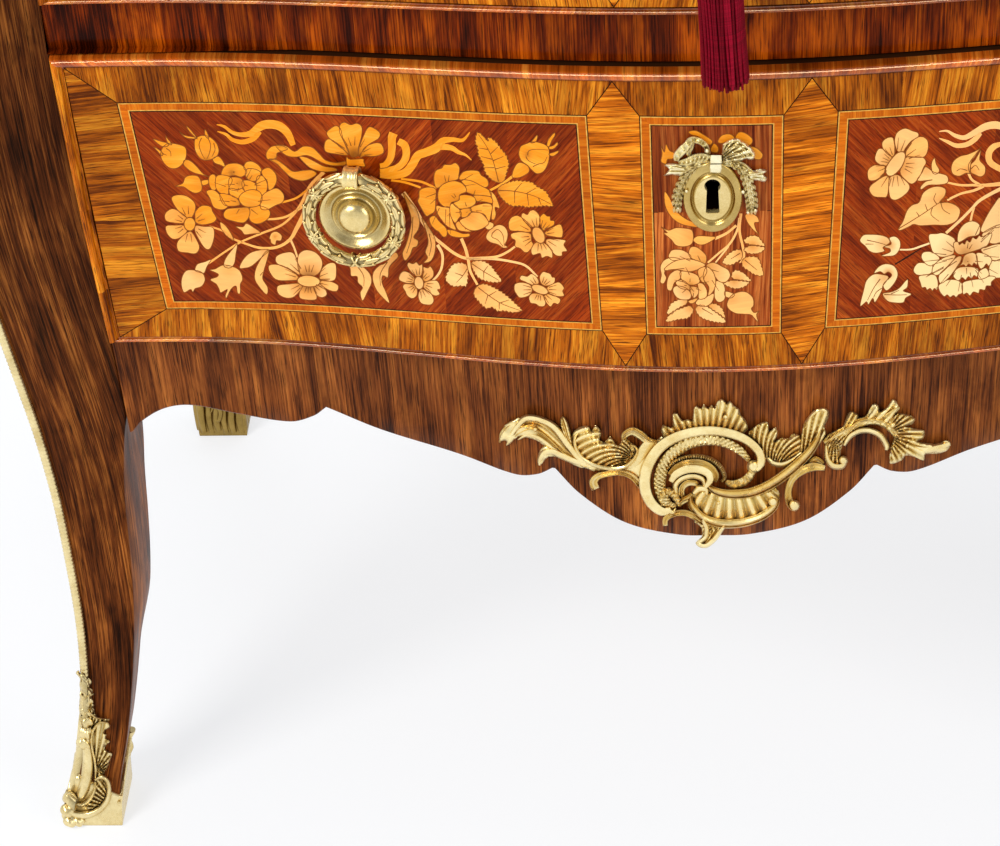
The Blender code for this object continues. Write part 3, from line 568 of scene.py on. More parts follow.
PINE_Z = wood("pine_upright", colour("#744A26"), colour("#AE8150"), colour("#CFA774"), band=(2.5, 40), streak=(5, 480),
              pore=(30, 1400), pores=0.25, rough=(0.6, 0.8), coat=0.0, axes=(0, 2, 1))


def inlay_material():
    """Pale boxwood, scorched darker where the shade coordinate rises."""
    n = Nodes("boxwood_inlay")
    source, tone = n.grain(), n.tone()
    broad = n.noise(n.mapped(source, (30, 160, 1)), 1.0, 3.0)
    fine = n.noise(n.mapped(source, (60, 1100, 1)), 1.0, 3.0)
    level = n.math("ADD", n.math("MULTIPLY", broad, 0.6), n.math("MULTIPLY", fine, 0.4))
    base = n.ramp(n.span(level, 0.32, 0.68, 0, 1),
                  [(0.0, colour("#E8860A")), (0.5, colour("#F8981C")), (1.0, colour("#FFB03E"))])
    gain = n.span(tone[0], 0.0, 0.6, 0.70, 1.04)
    grey = n.new("ShaderNodeCombineColor")
    for s in grey.inputs:
        n.link(gain, s)
    base = n.mix(1.0, base, grey.outputs[0], "MULTIPLY")
    # a high piece tone fades the colour to pale; Draw.piece uses this as painted sheen on the lower and right pieces,
    # besides random variation
    base = n.mix(n.span(tone[0], 0.52, 1.0, 0, 0.85), base, colour("#FFE2A4"))
    base = n.mix(n.span(tone[1], 0.08, 0.60, 0, 0.68), base, colour("#CC7816"))
    base = n.mix(n.span(tone[1], 0.55, 1.0, 0, 0.85), base, colour("#642C08"))
    n.bump(fine, 0.06, 0.0002)
    return n.set(Base_Color=base, Roughness=n.span(broad, 0.3, 0.7, 0.24, 0.36), Coat_Weight=0.03, Coat_Roughness=0.10,
                 Specular_IOR_Level=0.12)


def line_material(name, a, b, scale=400):
    n = Nodes(name)
    k = n.noise(n.mapped(n.grain(), (scale, scale, 1)), 1.0, 3.0)
    return n.set(Base_Color=n.ramp(k, [(0.3, colour(a)), (0.7, colour(b))]), Roughness=n.span(k, 0.3, 0.7, 0.28, 0.45),
                 Coat_Weight=0.02, Coat_Roughness=0.10, Specular_IOR_Level=0.05)


INLAY = inlay_material()
EBONY = line_material("ebony_line", "#1E0F06", "#3A1E0C")
HOLLY = line_material("holly_line", "#C8862C", "#E8B458")
ENGRAVED = line_material("engraved_line", "#743C14", "#9C5C22")


def metal(name, low, mid, high, rough=(0.22, 0.42), grain=900, dents=0.25, metallic=1.0, recess_shade=0.34):
    """Cast and gilt brass with a fine texture of wear. Its recesses are darker: painted shade from an occlusion node,
    which also stands for patina in the hollows.
    """
    n = Nodes(name)
    at = n.place()
    broad = n.noise(n.mapped(at, (70, 70, 70)), 1.0, 4.0, 0.6)
    fine = n.noise(n.mapped(at, (grain, grain, grain)), 1.0, 3.0, 0.6)
    # painted shade in recesses, also standing for patina in the hollows: an occlusion node darkens the colour where the
    # surface is enclosed
    ao = n.new("ShaderNodeAmbientOcclusion", samples=6)
    ao.inputs["Distance"].default_value = 0.0015
    open_to = n.span(ao.outputs["AO"], 0.08, 0.72, recess_shade, 1.0)
    k = n.math("ADD", n.math("MULTIPLY", broad, 0.55), n.math("MULTIPLY", fine, 0.25))
    k = n.math("MULTIPLY", n.math("ADD", k, 0.32), open_to)
    base = n.ramp(k, [(0.08, low), (0.46, mid), (0.82, high)])
    # painted shade: the second tone channel darkens the colour. It is set on band flanks, leaf edges, flutes and the
    # plates' dishes.
    base = n.mix(n.math("MULTIPLY", n.tone()[1], 0.92), base, tuple(c * 0.45 for c in low))
    n.bump(n.math("ADD", fine, n.math("MULTIPLY", broad, 0.5)), dents, 0.0003)
    return n.set(Base_Color=base, Metallic=metallic, Roughness=n.span(n.math("ADD", broad, n.math("MULTIPLY", fine, 0.4)), 0.45, 0.9, rough[0], rough[1]))


GILT = metal("gilt_brass", colour("#5E4212"), colour("#D8B25C"), colour("#FCEAAE"), rough=(0.22, 0.38), grain=520, dents=0.34, metallic=0.84, recess_shade=0.44)
GILT_PALE = metal("gilt_worn", colour("#5E4A1C"), colour("#DCC684"), colour("#FFF6D0"), rough=(0.20, 0.36), grain=620, dents=0.30, metallic=0.74, recess_shade=0.40)
GILT_LEAF = metal("gilt_wreath", colour("#3E2A0A"), colour("#CCA652"), colour("#F8E2A4"), rough=(0.20, 0.34), grain=520, dents=0.20, metallic=0.92, recess_shade=0.10)
GILT_FOOT = metal("gilt_foot", colour("#46350F"), colour("#BC9E58"), colour("#F0DEA8"), rough=(0.20, 0.36), grain=520, dents=0.30, metallic=0.86, recess_shade=0.34)
GILT_DULL = metal("gilt_dull", colour("#2C1E08"), colour("#6E5624"), colour("#A88C4C"), rough=(0.28, 0.46), grain=620, dents=0.30, recess_shade=0.30)
GILT_AGED = metal("gilt_aged", colour("#523A10"), colour("#A0803C"), colour("#CCB06C"), rough=(0.20, 0.36), dents=0.2)
GILT_BRIGHT = metal("gilt_polished", colour("#6A4C18"), colour("#C8A656"), colour("#F0DA9E"), rough=(0.18, 0.32), dents=0.10)
IRON = metal("browned_iron", colour("#1B1512"), colour("#4A3F36"), colour("#7C6F62"), rough=(0.3, 0.5))


def marble_material():
    n = Nodes("red_marble")
    at = n.place()
    warp = n.noise(n.mapped(at, (6, 6, 6)), 1.0, 6.0, 0.6, 1.4)
    cloud = n.noise(n.mapped(at, (17, 17, 17), (2, 1, 4)), 1.0, 6.0, 0.62, 2.2)
    veins = n.math("ABSOLUTE", n.math("SUBTRACT", n.noise(n.mapped(at, (7, 9, 8), (5, 3, 1)), 1.0, 7.0, 0.58, 2.6), 0.5))
    fine = n.math("ABSOLUTE", n.math("SUBTRACT", n.noise(n.mapped(at, (24, 20, 22), (1, 8, 3)), 1.0, 5.0, 0.6, 2.0), 0.5))
    base = n.ramp(n.math("ADD", n.math("MULTIPLY", warp, 0.5), n.math("MULTIPLY", cloud, 0.5)),
                  [(0.30, colour("#5B2A22")), (0.46, colour("#8A4A3C")), (0.58, colour("#A86B58")), (0.72, colour("#C49A84"))])
    base = n.mix(n.span(veins, 0.0, 0.035, 0.85, 0.0), base, colour("#EADFD2"))
    base = n.mix(n.span(fine, 0.0, 0.018, 0.55, 0.0), base, colour("#D9C4B2"))
    return n.set(Base_Color=base, Roughness=n.span(cloud, 0.3, 0.7, 0.10, 0.20), Coat_Weight=0.25, Coat_Roughness=0.06)


MARBLE = marble_material()


def silk_material():
    n = Nodes("crimson_silk")
    source, tone = n.grain(), n.tone()
    ply = n.noise(n.mapped(source, (1400, 260, 1)), 1.0, 2.0)
    base = n.ramp(n.span(n.math("ADD", n.math("MULTIPLY", ply, 0.5), n.math("MULTIPLY", tone[0], 0.5)), 0.25, 0.75, 0, 1),
                  [(0.0, colour("#300004")), (0.5, colour("#6C0214")), (1.0, colour("#A00C2A"))])
    n.bump(ply, 0.3, 0.0002)
    return n.set(Base_Color=base, Roughness=n.span(ply, 0.3, 0.7, 0.45, 0.65), Specular_IOR_Level=0.06)


SILK = silk_material()

# ------------------------------------------------------------------ drawer veneers
rng = random.Random(11)


class Face:
    """One drawer's outer face. Drawn in the lower drawer's (x, z); the upper one is the same layout, less tall."""

    def __init__(self, level):
        self.level = level
        self.z0, self.z1 = (LOW_Z0, LOW_Z1) if level == "lower" else (UPP_Z0, UPP_Z1)
        self.edge = BEAD_W + GAP
        self.build = Build(f"{level}_front_veneer")

    def xz(self, p):
        p = np.array(p, float)
        if self.level == "lower":
            return p
        low0, low1 = LOW_Z0 + self.edge, LOW_Z1 - self.edge
        z = lerp(self.z0 + self.edge, self.z1 - self.edge, (p[:, 1] - low0) / (low1 - low0))
        return np.c_[p[:, 0] * half_w(z) / half_w(p[:, 1]), z]

    def back(self, p):
        """Points on this drawer's face to the lower drawer's (x, z)."""
        p = np.array(p, float)
        if self.level == "lower":
            return p
        low0, low1 = LOW_Z0 + self.edge, LOW_Z1 - self.edge
        z = lerp(low0, low1, (p[:, 1] - self.z0 - self.edge) / (self.z1 - self.z0 - 2 * self.edge))
        return np.c_[p[:, 0] * half_w(z) / half_w(p[:, 1]), z]

    def at(self, p, lift):
        q = self.xz(p)
        x, z = q[:, 0], q[:, 1]
        e = 1e-4
        gx = (face_y(x + e, z) - face_y(x - e, z)) / (2 * e)
        gz = (face_y(x, z + e) - face_y(x, z - e)) / (2 * e)
        n = np.c_[gx, -np.ones_like(gx), gz]
        n /= np.linalg.norm(n, axis=1)[:, None]
        return np.c_[x, face_y(x, z), z] + n * np.reshape(lift, (-1, 1) if np.ndim(lift) else (1, 1))

    def tile(self, polygon, lift, mat, grain, tone=None, shade=0.0, cell=0.006, holes=(), pixels=False, mirror=False):
        """A veneer piece. grain is the angle of its grain from +x, in degrees. shade may be a rule on the drawn points."""
        verts, faces = fill(polygon, cell, holes)
        dark = shade(verts) if callable(shade) else np.full(len(verts), float(shade))
        p = px_face(verts) if pixels else verts
        if pixels:
            faces = faces[:, ::-1]
        if mirror:
            p = p * (-1, 1)
            faces = faces[:, ::-1]
        top = self.at(p, lift)
        a = math.radians(grain if not mirror else 180 - grain)
        u = p @ (math.cos(a), math.sin(a))
        v = p @ (-math.sin(a), math.cos(a))
        t = (0.5 + rng.uniform(-0.12, 0.12)) if tone is None else tone
        hue = rng.random()
        base = rng.uniform(-3, 3)
        edges = rim(faces)
        ring = sorted({i for e in edges for i in e})
        at = {i: k + len(top) for k, i in enumerate(ring)}
        low = self.at(p[ring], -0.00025)
        skirt = [(a0, at[a0], at[b0], b0) for a0, b0 in edges]
        uv = np.c_[u + base, v + base]
        tones = np.c_[np.full(len(p), t), np.clip(dark, 0, 1), np.full(len(p), hue)]
        self.build.add(np.r_[top, low], [tuple(f) for f in faces] + skirt, mat, np.r_[uv, uv[ring]], np.r_[tones, tones[ring]])

    def stroke(self, points, width, lift, mat=None, pixels=True, mirror=False, closed=False):
        """A thin line of constant or tapering width along drawn points."""
        p = np.asarray(points, float)
        if closed:
            p = np.r_[p, p[:1]]
        d = np.gradient(p, axis=0)
        d /= np.linalg.norm(d, axis=1)[:, None] + 1e-12
        side = np.c_[-d[:, 1], d[:, 0]] * along(width, len(p))[:, None] / 2
        a, b = p + side, p - side
        if pixels:
            a, b = px_face(a), px_face(b)
        if mirror:
            a, b = b * (-1, 1), a * (-1, 1)
        run = np.r_[0, np.cumsum(np.linalg.norm(np.diff(p, axis=0), axis=1))] * (0.00055 if pixels else 1)
        grid = np.stack([self.at(a, lift), self.at(b, lift)], axis=1)
        uv = np.stack([np.c_[run, run * 0], np.c_[run, run * 0 + 0.0006]], axis=1)
        self.build.grid(grid, mat or ENGRAVED, uv, (0.5, 0, rng.random()), flip=not pixels)


def clip(polygon, axis, low, high):
    """The part of a convex polygon with low < coordinate < high."""
    p = [np.array(q, float) for q in polygon]
    for keep, limit in ((1, low), (-1, high)):
        out = []
        for a, b in zip(p, p[1:] + p[:1]):
            fa, fb = keep * (a[axis] - limit), keep * (b[axis] - limit)
            if fa >= 0:
                out.append(a)
            if fa * fb < 0:
                out.append(a + (b - a) * fa / (fa - fb))
        p = out
        if not p:
            return []
    return p


def inset(quad, d):
    """A quadrilateral moved in by d on each side."""
    q = [np.array(p, float) for p in quad]
    mid = sum(q) / len(q)
    lines = []
    for a, b in zip(q, q[1:] + q[:1]):
        n = np.array((-(b - a)[1], (b - a)[0]))
        n /= np.linalg.norm(n)
        if n @ (mid - a) < 0:
            n = -n
        lines.append((a + n * d, b - a))
    out = []
    for k in range(len(q)):
        (p, r), (s, t) = lines[k - 1], lines[k]
        m = np.array([[r[0], -t[0]], [r[1], -t[1]]])
        c = np.linalg.solve(m, s - p)
        out.append(p + r * c[0])
    return out


P1 = [(-0.3079, 0.5463), (-0.0631, 0.5482), (-0.0592, 0.4081), (-0.3010, 0.4047)]
P2 = [(-0.0368, 0.5484), (0.0363, 0.5476), (0.0364, 0.4063), (-0.0360, 0.4066)]
P3 = [(-P1[k][0], P1[k][1]) for k in (1, 0, 3, 2)]
LOW_PART = 0.5  # width of the lower bead beside the others
EDGE_T, EDGE_B = LOW_Z1 - BEAD_W + 0.0010 - GAP, LOW_Z0 + LOW_PART * BEAD_W + GAP


def edge_x(z):
    return float(half_w(z)) - BEAD_W - GAP


def keyhole_outline(z_key, r, n=14):
    """Round top, slot flaring downwards."""
    pts = [(r * math.sin(a), z_key + r * math.cos(a)) for a in np.linspace(-2.35, 2.35, n)]
    low = z_key - 4.1 * r
    return pts + [(0.84 * r, low + 0.0006), (0.66 * r, low), (-0.66 * r, low), (-0.84 * r, low + 0.0006)]


def border(face):
    """Crossbanded borders with mitred ends, and the banded panels."""
    tl, tr = (-edge_x(EDGE_T), EDGE_T), (edge_x(EDGE_T), EDGE_T)
    bl, br = (-edge_x(EDGE_B), EDGE_B), (edge_x(EDGE_B), EDGE_B)
    at, ab = 0.0499, 0.0475
    top_l, top_r, bot_l, bot_r = (-at, EDGE_T), (at, EDGE_T), (-ab, EDGE_B), (ab, EDGE_B)
    runs = [
        ([tl, top_l, P1[1], P1[0]], 0, 90), ([top_l, top_r, P2[1], P2[0]], 0, 90), ([top_r, tr, P3[1], P3[0]], 0, 90),
        ([bl, P1[3], P1[2], bot_l], 0, 90), ([bot_l, P2[3], P2[2], bot_r], 0, 90), ([bot_r, P3[3], P3[2], br], 0, 90),
        ([tl, P1[0], P1[3], bl], 1, 0), ([tr, br, P3[2], P3[1]], 1, 0),
        ([top_l, P2[0], P2[3], bot_l, P1[2], P1[1]], 1, 1), ([top_r, P3[0], P3[3], bot_r, P2[2], P2[1]], 1, 1),
    ]
    seam = 0.00016
    for polygon, axis, grain in runs:
        low, high = min(p[axis] for p in polygon), max(p[axis] for p in polygon)
        cut = [low]
        while cut[-1] < high - 0.03:
            cut.append(cut[-1] + rng.uniform(0.030, 0.085))
        cut[-1] = high
        for a, b in zip(cut, cut[1:]):
            piece = clip(polygon, axis, a + seam / 2, b - seam / 2)
            if len(piece) >= 3:
                face.tile(piece, 0.00006, CROSS, grain + rng.uniform(-7, 7), tone=(0.92 if grain == 1 else 0.50) + rng.uniform(-0.16, 0.14))
    for polygon, *_ in runs:
        for a, b in zip(polygon, polygon[1:] + polygon[:1]):
            if abs(a[1] - b[1]) > 0.008 and abs(a[0] - b[0]) > 0.008:
                pts = np.array([lerp(np.array(a), np.array(b), t) for t in np.linspace(0, 1, 8)])
                face.stroke(pts, 0.0005, 0.00012, EBONY, pixels=False)
    hole = face.back(keyhole_outline(KEY_LOW_Z if face.level == "lower" else KEY_UPP_Z, 0.0046))
    for quad, fields in ((P1, "pair"), (P2, "one"), (P3, "pair")):
        steps = [(0.0, 0.00055, EBONY), (0.00055, 0.00115, HOLLY), (0.00115, 0.0050, BANDING), (0.0050, 0.0056, HOLLY),
                 (0.0056, 0.0062, EBONY)]
        for a, b, mat in steps:
            outer, inner = inset(quad, a), inset(quad, b)
            for k in range(4):
                side = [outer[k], outer[(k + 1) % 4], inner[(k + 1) % 4], inner[k]]
                level = abs(side[0][1] - side[1][1]) < abs(side[0][0] - side[1][0])
                if mat is not BANDING:
                    face.tile(side, 0.00012, mat, 0 if level else 90)
                    continue
                axis = 0 if level else 1
                low, high = min(p[axis] for p in side), max(p[axis] for p in side)
                cut = [low]
                while cut[-1] < high - 0.008:
                    cut.append(cut[-1] + rng.uniform(0.018, 0.055))
                cut[-1] = high
                for c, d in zip(cut, cut[1:]):
                    piece = clip(side, axis, c, d)
                    if len(piece) >= 3:
                        face.tile(piece, 0.00011, mat, 90 if level else 0, tone=0.5 + rng.uniform(-0.14, 0.14))
        field = inset(quad, 0.0062)
        if fields == "pair":
            mid = sum(p[0] for p in field) / 4
            low, high = min(p[0] for p in field), max(p[0] for p in field)
            for a, b, grain in ((low, mid, -52), (mid, high, 52)):
                cut = np.linspace(a, b, 4)
                for c, d in zip(cut, cut[1:]):
                    face.tile(clip(field, 0, c, d), 0.00005, FIELD, grain + rng.uniform(-4, 4), tone=0.5 + rng.uniform(-0.08, 0.08))
        else:
            middle, step = 0.4885, float(hole[:, 1].min()) - 0.0035
            (xa, za), (xb, zb), (xc, zc), (xd, zd) = field
            left, right = lerp(xd, xa, (middle - zd) / (za - zd)), lerp(xc, xb, (middle - zc) / (zb - zc))
            seam = [(-0.0062, middle), (-0.0062, step), (0.0062, step), (0.0062, middle)]
            face.tile([(xd, zd), (left, middle)] + seam + [(right, middle), (xc, zc)], 0.00005, CENTRE, 88, tone=0.60, cell=0.004)
            face.tile([(left, middle), (xa, za), (xb, zb), (right, middle)] + seam[::-1], 0.00005, CENTRE, 91, tone=0.38, cell=0.004, holes=[hole])
            face.stroke(np.array([(left, middle), (-0.0062, middle)]), 0.0004, 0.00008, EBONY, pixels=False)
            face.stroke(np.array([(0.0062, middle), (right, middle)]), 0.0004, 0.00008, EBONY, pixels=False)


def teeth(outline, root, size, pitch=4.0):
    """Saw edge on a leaf's outline, pointing away from its root."""
    p = resample(outline, 0.6)
    p = np.roll(p, -int(np.argmin(np.linalg.norm(p - root, axis=1))), axis=0)
    step = np.linalg.norm(np.roll(p, -1, axis=0) - p, axis=1)
    run = np.cumsum(step) - step
    far = np.minimum(run, run[-1] - run)
    d = np.roll(p, -1, axis=0) - np.roll(p, 1, axis=0)
    d /= np.linalg.norm(d, axis=1)[:, None] + 1e-9
    x, y = p.T
    wise = 1 if np.sum(x * np.roll(y, -1) - y * np.roll(x, -1)) > 0 else -1
    half = far.max()
    fade = np.clip(far / (0.22 * half), 0, 1) * np.clip((half - far) / (0.10 * half), 0, 1)
    return p + np.c_[d[:, 1], -d[:, 0]] * (wise * size * ((far / pitch) % 1.0 - 0.45) * fade)[:, None]


class Draw:
    """Marquetry drawn in pixels of the frame onto one drawer face, or its mirror image."""

    def __init__(self, face, mirror=False):
        self.face, self.mirror, self.lift = face, mirror, 0.00014
        self.at, self.s = np.zeros(2), 1.0

    def piece(self, outline, shade=0.0, grain=0.0, tone=None, lift=0.0, edge=0.55, cell=3.4):
        if tone is None:
            # painted sheen: pieces drawn lower and further right in the frame get a paler tone, plus a random jitter
            x, y = np.mean(np.asarray(outline, float), axis=0)
            tone = 0.47 + 0.27 * float(smooth(min(max((y - 190) / 70, 0), 1))) + 0.26 * float(smooth(min(max((x - 800) / 80, 0), 1))) + rng.uniform(-0.07, 0.07)
        self.face.tile(outline, self.lift + lift, INLAY, grain, tone, shade, cell, pixels=True, mirror=self.mirror)
        if edge:
            self.face.stroke(outline, edge, self.lift + lift + 0.00003, ENGRAVED, mirror=self.mirror, closed=True)

    def line(self, points, width=0.7, lift=0.0, per=5):
        self.face.stroke(curve(points, per), width, self.lift + lift + 0.00004, ENGRAVED, mirror=self.mirror)

    def sheet(self, x0, y0, s):
        """Sets the sheet that later shapes are drawn on: its corner in the frame and its scale."""
        self.at, self.s = np.array((x0, y0), float), s
        return self

    def on(self, points):
        return np.asarray(points, float) * self.s + self.at

    def shape(self, points, root=None, reach=80.0, depth=0.8, tone=None, lift=0.0, lines=(), edge=0.75, per=4, saw=0.0):
        """One cut piece, scorched darker towards its root. saw is the size of the teeth on its edge."""
        p = curve(self.on(points), per, True)
        if saw:
            p = teeth(p, self.on([root])[0], saw)
        if root is None:
            shade = 0.04
        else:
            r, k = self.on([root])[0], reach * self.s

            def shade(q):
                return np.clip(depth * (1 - np.linalg.norm(q - r, axis=1) / k), 0, 0.95)

        self.piece(p, shade, rng.uniform(-35, 35), tone, lift, edge, 3.0)
        for line in lines:
            self.line(self.on(line), [0.9, 0.5], lift + 0.00001, 5)

    def petals(self, root, reach, shapes, depth=0.85, rays=2, lift=0.0, tone=None):
        """Petals round a root, each a touch above the last, with engraved rays."""
        for k, points in enumerate(shapes):
            self.shape(points, root, reach, depth, tone, lift + 0.000012 * (k % 4))
            c = np.mean(points, axis=0)
            r = np.array(root, float)
            d = c - r
            side = np.array((-d[1], d[0]))
            for i in range(rays):
                f = (i - (rays - 1) / 2) * 0.34 * (1.0 if rays < 3 else 0.8)
                self.line(self.on([r + d * 0.52 + side * f * 0.5, r + d * 0.95 + side * f]), [0.8, 0.35], lift + 0.00006, 3)

    def vine(self, points, widths):
        p = curve(self.on(points), 7)
        d = np.gradient(p, axis=0)
        d /= np.linalg.norm(d, axis=1)[:, None]
        s = np.c_[-d[:, 1], d[:, 0]] * (along(widths, len(p)) * self.s / 2)[:, None]
        self.piece(np.r_[p + s, (p - s)[::-1]], 0.06, math.degrees(math.atan2(-(p[-1] - p[0])[1], (p[-1] - p[0])[0])), None, 0.0, 0.0, 4)


def ellipse(cx, cy, rx, ry, tilt=0.0, n=18):
    t = math.radians(tilt)
    return [(cx + rx * math.cos(a) * math.cos(t) - ry * math.sin(a) * math.sin(t), cy + rx * math.cos(a) * math.sin(t) + ry * math.sin(a) * math.cos(t))
            for a in np.linspace(0, 2 * math.pi, n, endpoint=False)]


def left_outer(d):
    """Outer end of a side panel: peony, two open flowers, buds and a ribbon tail."""
    d.sheet(150, 110, 0.17221)
    d.vine([(1010, 360), (930, 440), (880, 540), (830, 610), (760, 670), (650, 715), (530, 765), (440, 820), (340, 890)], [22, 18, 16, 14, 13, 12, 11, 11, 12])
    d.vine([(1000, 400), (930, 500), (895, 600), (850, 690), (812, 752), (740, 795), (640, 800), (540, 770)], [30, 30, 28, 24, 18, 16, 14, 10])
    d.vine([(540, 770), (480, 745), (420, 700), (345, 675)], [12, 11, 11, 9])
    d.vine([(930, 450), (850, 510), (765, 536)], [14, 12, 12])
    d.vine([(885, 560), (800, 615), (720, 632), (650, 632)], [16, 13, 12, 10])
    d.vine([(815, 750), (838, 800), (856, 855)], [14, 11, 10])
    d.vine([(915, 600), (905, 650), (925, 700), (985, 770)], [22, 24, 24, 30])
    # ribbon
    d.vine([(388, 84), (430, 95), (480, 130), (530, 142), (585, 135), (640, 95), (690, 82), (750, 92), (800, 135), (832, 204)], [4, 16, 20, 24, 36, 50, 50, 50, 44, 30])
    d.vine([(392, 124), (440, 140), (480, 172), (540, 185), (600, 165), (640, 125)], [4, 16, 22, 28, 32, 24])
    d.shape([(690, 285), (735, 288), (780, 318), (830, 355), (890, 350), (940, 348), (968, 370), (930, 398), (880, 410), (820, 390), (770, 345), (735, 310)], (700, 285), 110, 0.7)
    d.shape([(735, 275), (738, 250), (770, 238), (800, 225), (760, 205), (705, 212), (676, 248), (680, 282), (705, 288)], (735, 285), 70, 0.8)
    d.shape([(730, 206), (790, 208), (840, 240), (890, 210), (945, 218), (985, 255), (1020, 290), (1080, 305), (1136, 298), (1130, 318), (1060, 322), (1000, 305), (940, 272), (900, 262), (850, 272), (790, 262)], (1120, 305), 120, 0.8)
    d.shape([(868, 270), (910, 275), (960, 300), (1010, 325), (1070, 335), (1085, 352), (1010, 358), (940, 340), (900, 310)], (1080, 345), 110, 0.7)
    # buds
    d.shape([(18, 167), (60, 180), (110, 195), (95, 212), (60, 205)])
    d.shape([(92, 148), (102, 165), (128, 197), (112, 199), (96, 175)])
    d.shape([(22, 213), (45, 225), (75, 250), (68, 265), (45, 240)])
    d.shape([(75, 215), (110, 192), (160, 198), (203, 215), (212, 255), (198, 300), (160, 335), (115, 335), (80, 305), (62, 262)], (80, 200), 120, 0.6, lines=[[(95, 222), (118, 240), (122, 268)], [(70, 250), (98, 262)]])
    d.shape([(198, 292), (225, 290), (260, 315), (310, 370), (340, 386), (300, 375), (250, 362), (212, 335), (195, 315)], (200, 300), 60, 0.6)
    d.shape([(172, 125), (200, 146), (262, 158), (255, 166), (205, 158)])
    d.shape([(212, 92), (228, 105), (265, 150), (275, 168), (255, 150), (225, 118)])
    d.shape([(320, 112), (332, 130), (342, 160), (328, 160), (318, 135)])
    d.shape([(265, 165), (300, 148), (345, 155), (385, 190), (400, 235), (385, 270), (340, 290), (295, 282), (265, 240), (258, 195)], (330, 290), 130, 0.7,
            lines=[[(300, 160), (285, 200), (300, 250), (318, 282)], [(335, 158), (352, 200), (345, 250), (330, 284)], [(370, 190), (378, 230), (360, 270)]])
    d.shape([(365, 283), (395, 268), (420, 290), (436, 328), (405, 317), (375, 305)])
    d.shape([(148, 442), (190, 425), (205, 390), (240, 378), (280, 385), (298, 420), (300, 465), (265, 482), (225, 465), (195, 445)], (300, 425), 90, 0.5)
    d.shape([(300, 410), (335, 405), (342, 420), (330, 432), (305, 435)])
    d.shape([(190, 960), (215, 930), (265, 930), (305, 945), (320, 985), (300, 1022), (262, 1036), (250, 1056), (235, 1040), (198, 1058), (182, 1010)], (290, 935), 90, 0.5)
    d.shape([(262, 930), (275, 895), (320, 880), (355, 868), (330, 910), (315, 945), (290, 942)])
    d.shape([(348, 928), (380, 922), (420, 900), (470, 905), (520, 930), (538, 980), (525, 1010), (524, 1062), (508, 1060), (500, 1020), (470, 1040), (445, 1090), (438, 1075), (450, 1040), (412, 1060), (402, 1040),
             (385, 1010), (350, 984), (390, 968), (395, 950)], (460, 905), 90, 0.5, per=3)
    d.shape([(430, 905), (440, 860), (485, 800), (508, 775), (498, 840), (490, 890), (465, 916)])
    # leaves
    d.shape([(520, 915), (540, 870), (580, 830), (640, 812), (692, 812), (640, 862), (590, 905), (550, 917)], (690, 812), 90, 0.6)
    d.shape([(692, 812), (665, 830), (640, 870), (615, 920), (608, 975), (630, 1020), (676, 1070), (684, 1030), (655, 980), (662, 930), (680, 870)], (690, 815), 90, 0.6, lines=[[(640, 960), (656, 940)]])
    d.shape([(408, 650), (440, 672), (470, 715), (488, 757), (445, 730), (415, 690)], (487, 755), 60, 0.6)
    d.shape([(498, 675), (540, 678), (560, 658), (600, 680), (642, 712), (590, 718), (550, 722), (530, 698)], (640, 712), 80, 0.6)
    d.shape([(693, 745), (705, 715), (735, 705), (765, 728), (760, 757), (735, 758), (728, 782), (705, 772), (700, 750)], (728, 735), 30, 0.7)
    # peony, from the back petals to the front ones
    root = (520, 470)
    d.petals(root, 150, [
        [(545, 335), (556, 305), (590, 297), (632, 320), (648, 352), (622, 362), (590, 345), (560, 350)], [(650, 350), (690, 334), (727, 365), (736, 410), (716, 452), (690, 462), (680, 410), (655, 380)],
        [(345, 385), (370, 372), (388, 400), (388, 450), (365, 467), (343, 430)],
    ], 0.75, 1, tone=0.42)
    d.petals((475, 368), 60, [[(413, 372), (440, 320), (500, 308), (545, 328), (562, 362), (530, 388), (490, 378), (450, 384)]], 0.95, 2, 0.00002, 0.42)
    d.petals((560, 430), 110, [
        [(558, 345), (600, 340), (642, 360), (627, 402), (590, 412), (558, 387)], [(622, 388), (655, 382), (682, 430), (672, 482), (640, 492), (618, 450)],
        [(383, 390), (410, 375), (462, 385), (478, 410), (458, 452), (452, 492), (410, 482), (383, 450)],
    ], 0.75, 1, 0.00004, 0.42)
    d.petals((520, 425), 75, [
        [(460, 398), (490, 388), (532, 398), (548, 440), (510, 462), (463, 457)], [(538, 410), (580, 408), (617, 430), (612, 467), (560, 472), (538, 452)],
        [(463, 453), (510, 460), (542, 453), (548, 482), (520, 512), (468, 492)],
    ], 0.75, 1, 0.00008, 0.46)
    d.petals((540, 540), 130, [
        [(328, 470), (370, 463), (407, 493), (434, 540), (452, 560), (420, 577), (370, 562), (348, 510)], [(405, 488), (450, 488), (502, 508), (522, 547), (480, 557), (428, 547)],
        [(650, 500), (690, 468), (740, 453), (777, 490), (772, 532), (730, 552), (680, 577), (643, 567)], [(428, 600), (450, 573), (510, 566), (572, 566), (578, 610), (545, 652), (480, 642), (438, 627)],
        [(578, 568), (630, 553), (692, 578), (692, 622), (650, 653), (610, 658), (578, 632)],
    ], 0.8, 1, 0.00010)
    d.petals((585, 575), 90, [[(516, 512), (540, 478), (590, 460), (637, 473), (652, 515), (632, 552), (580, 562), (538, 550)]], 0.6, 0, 0.00015)
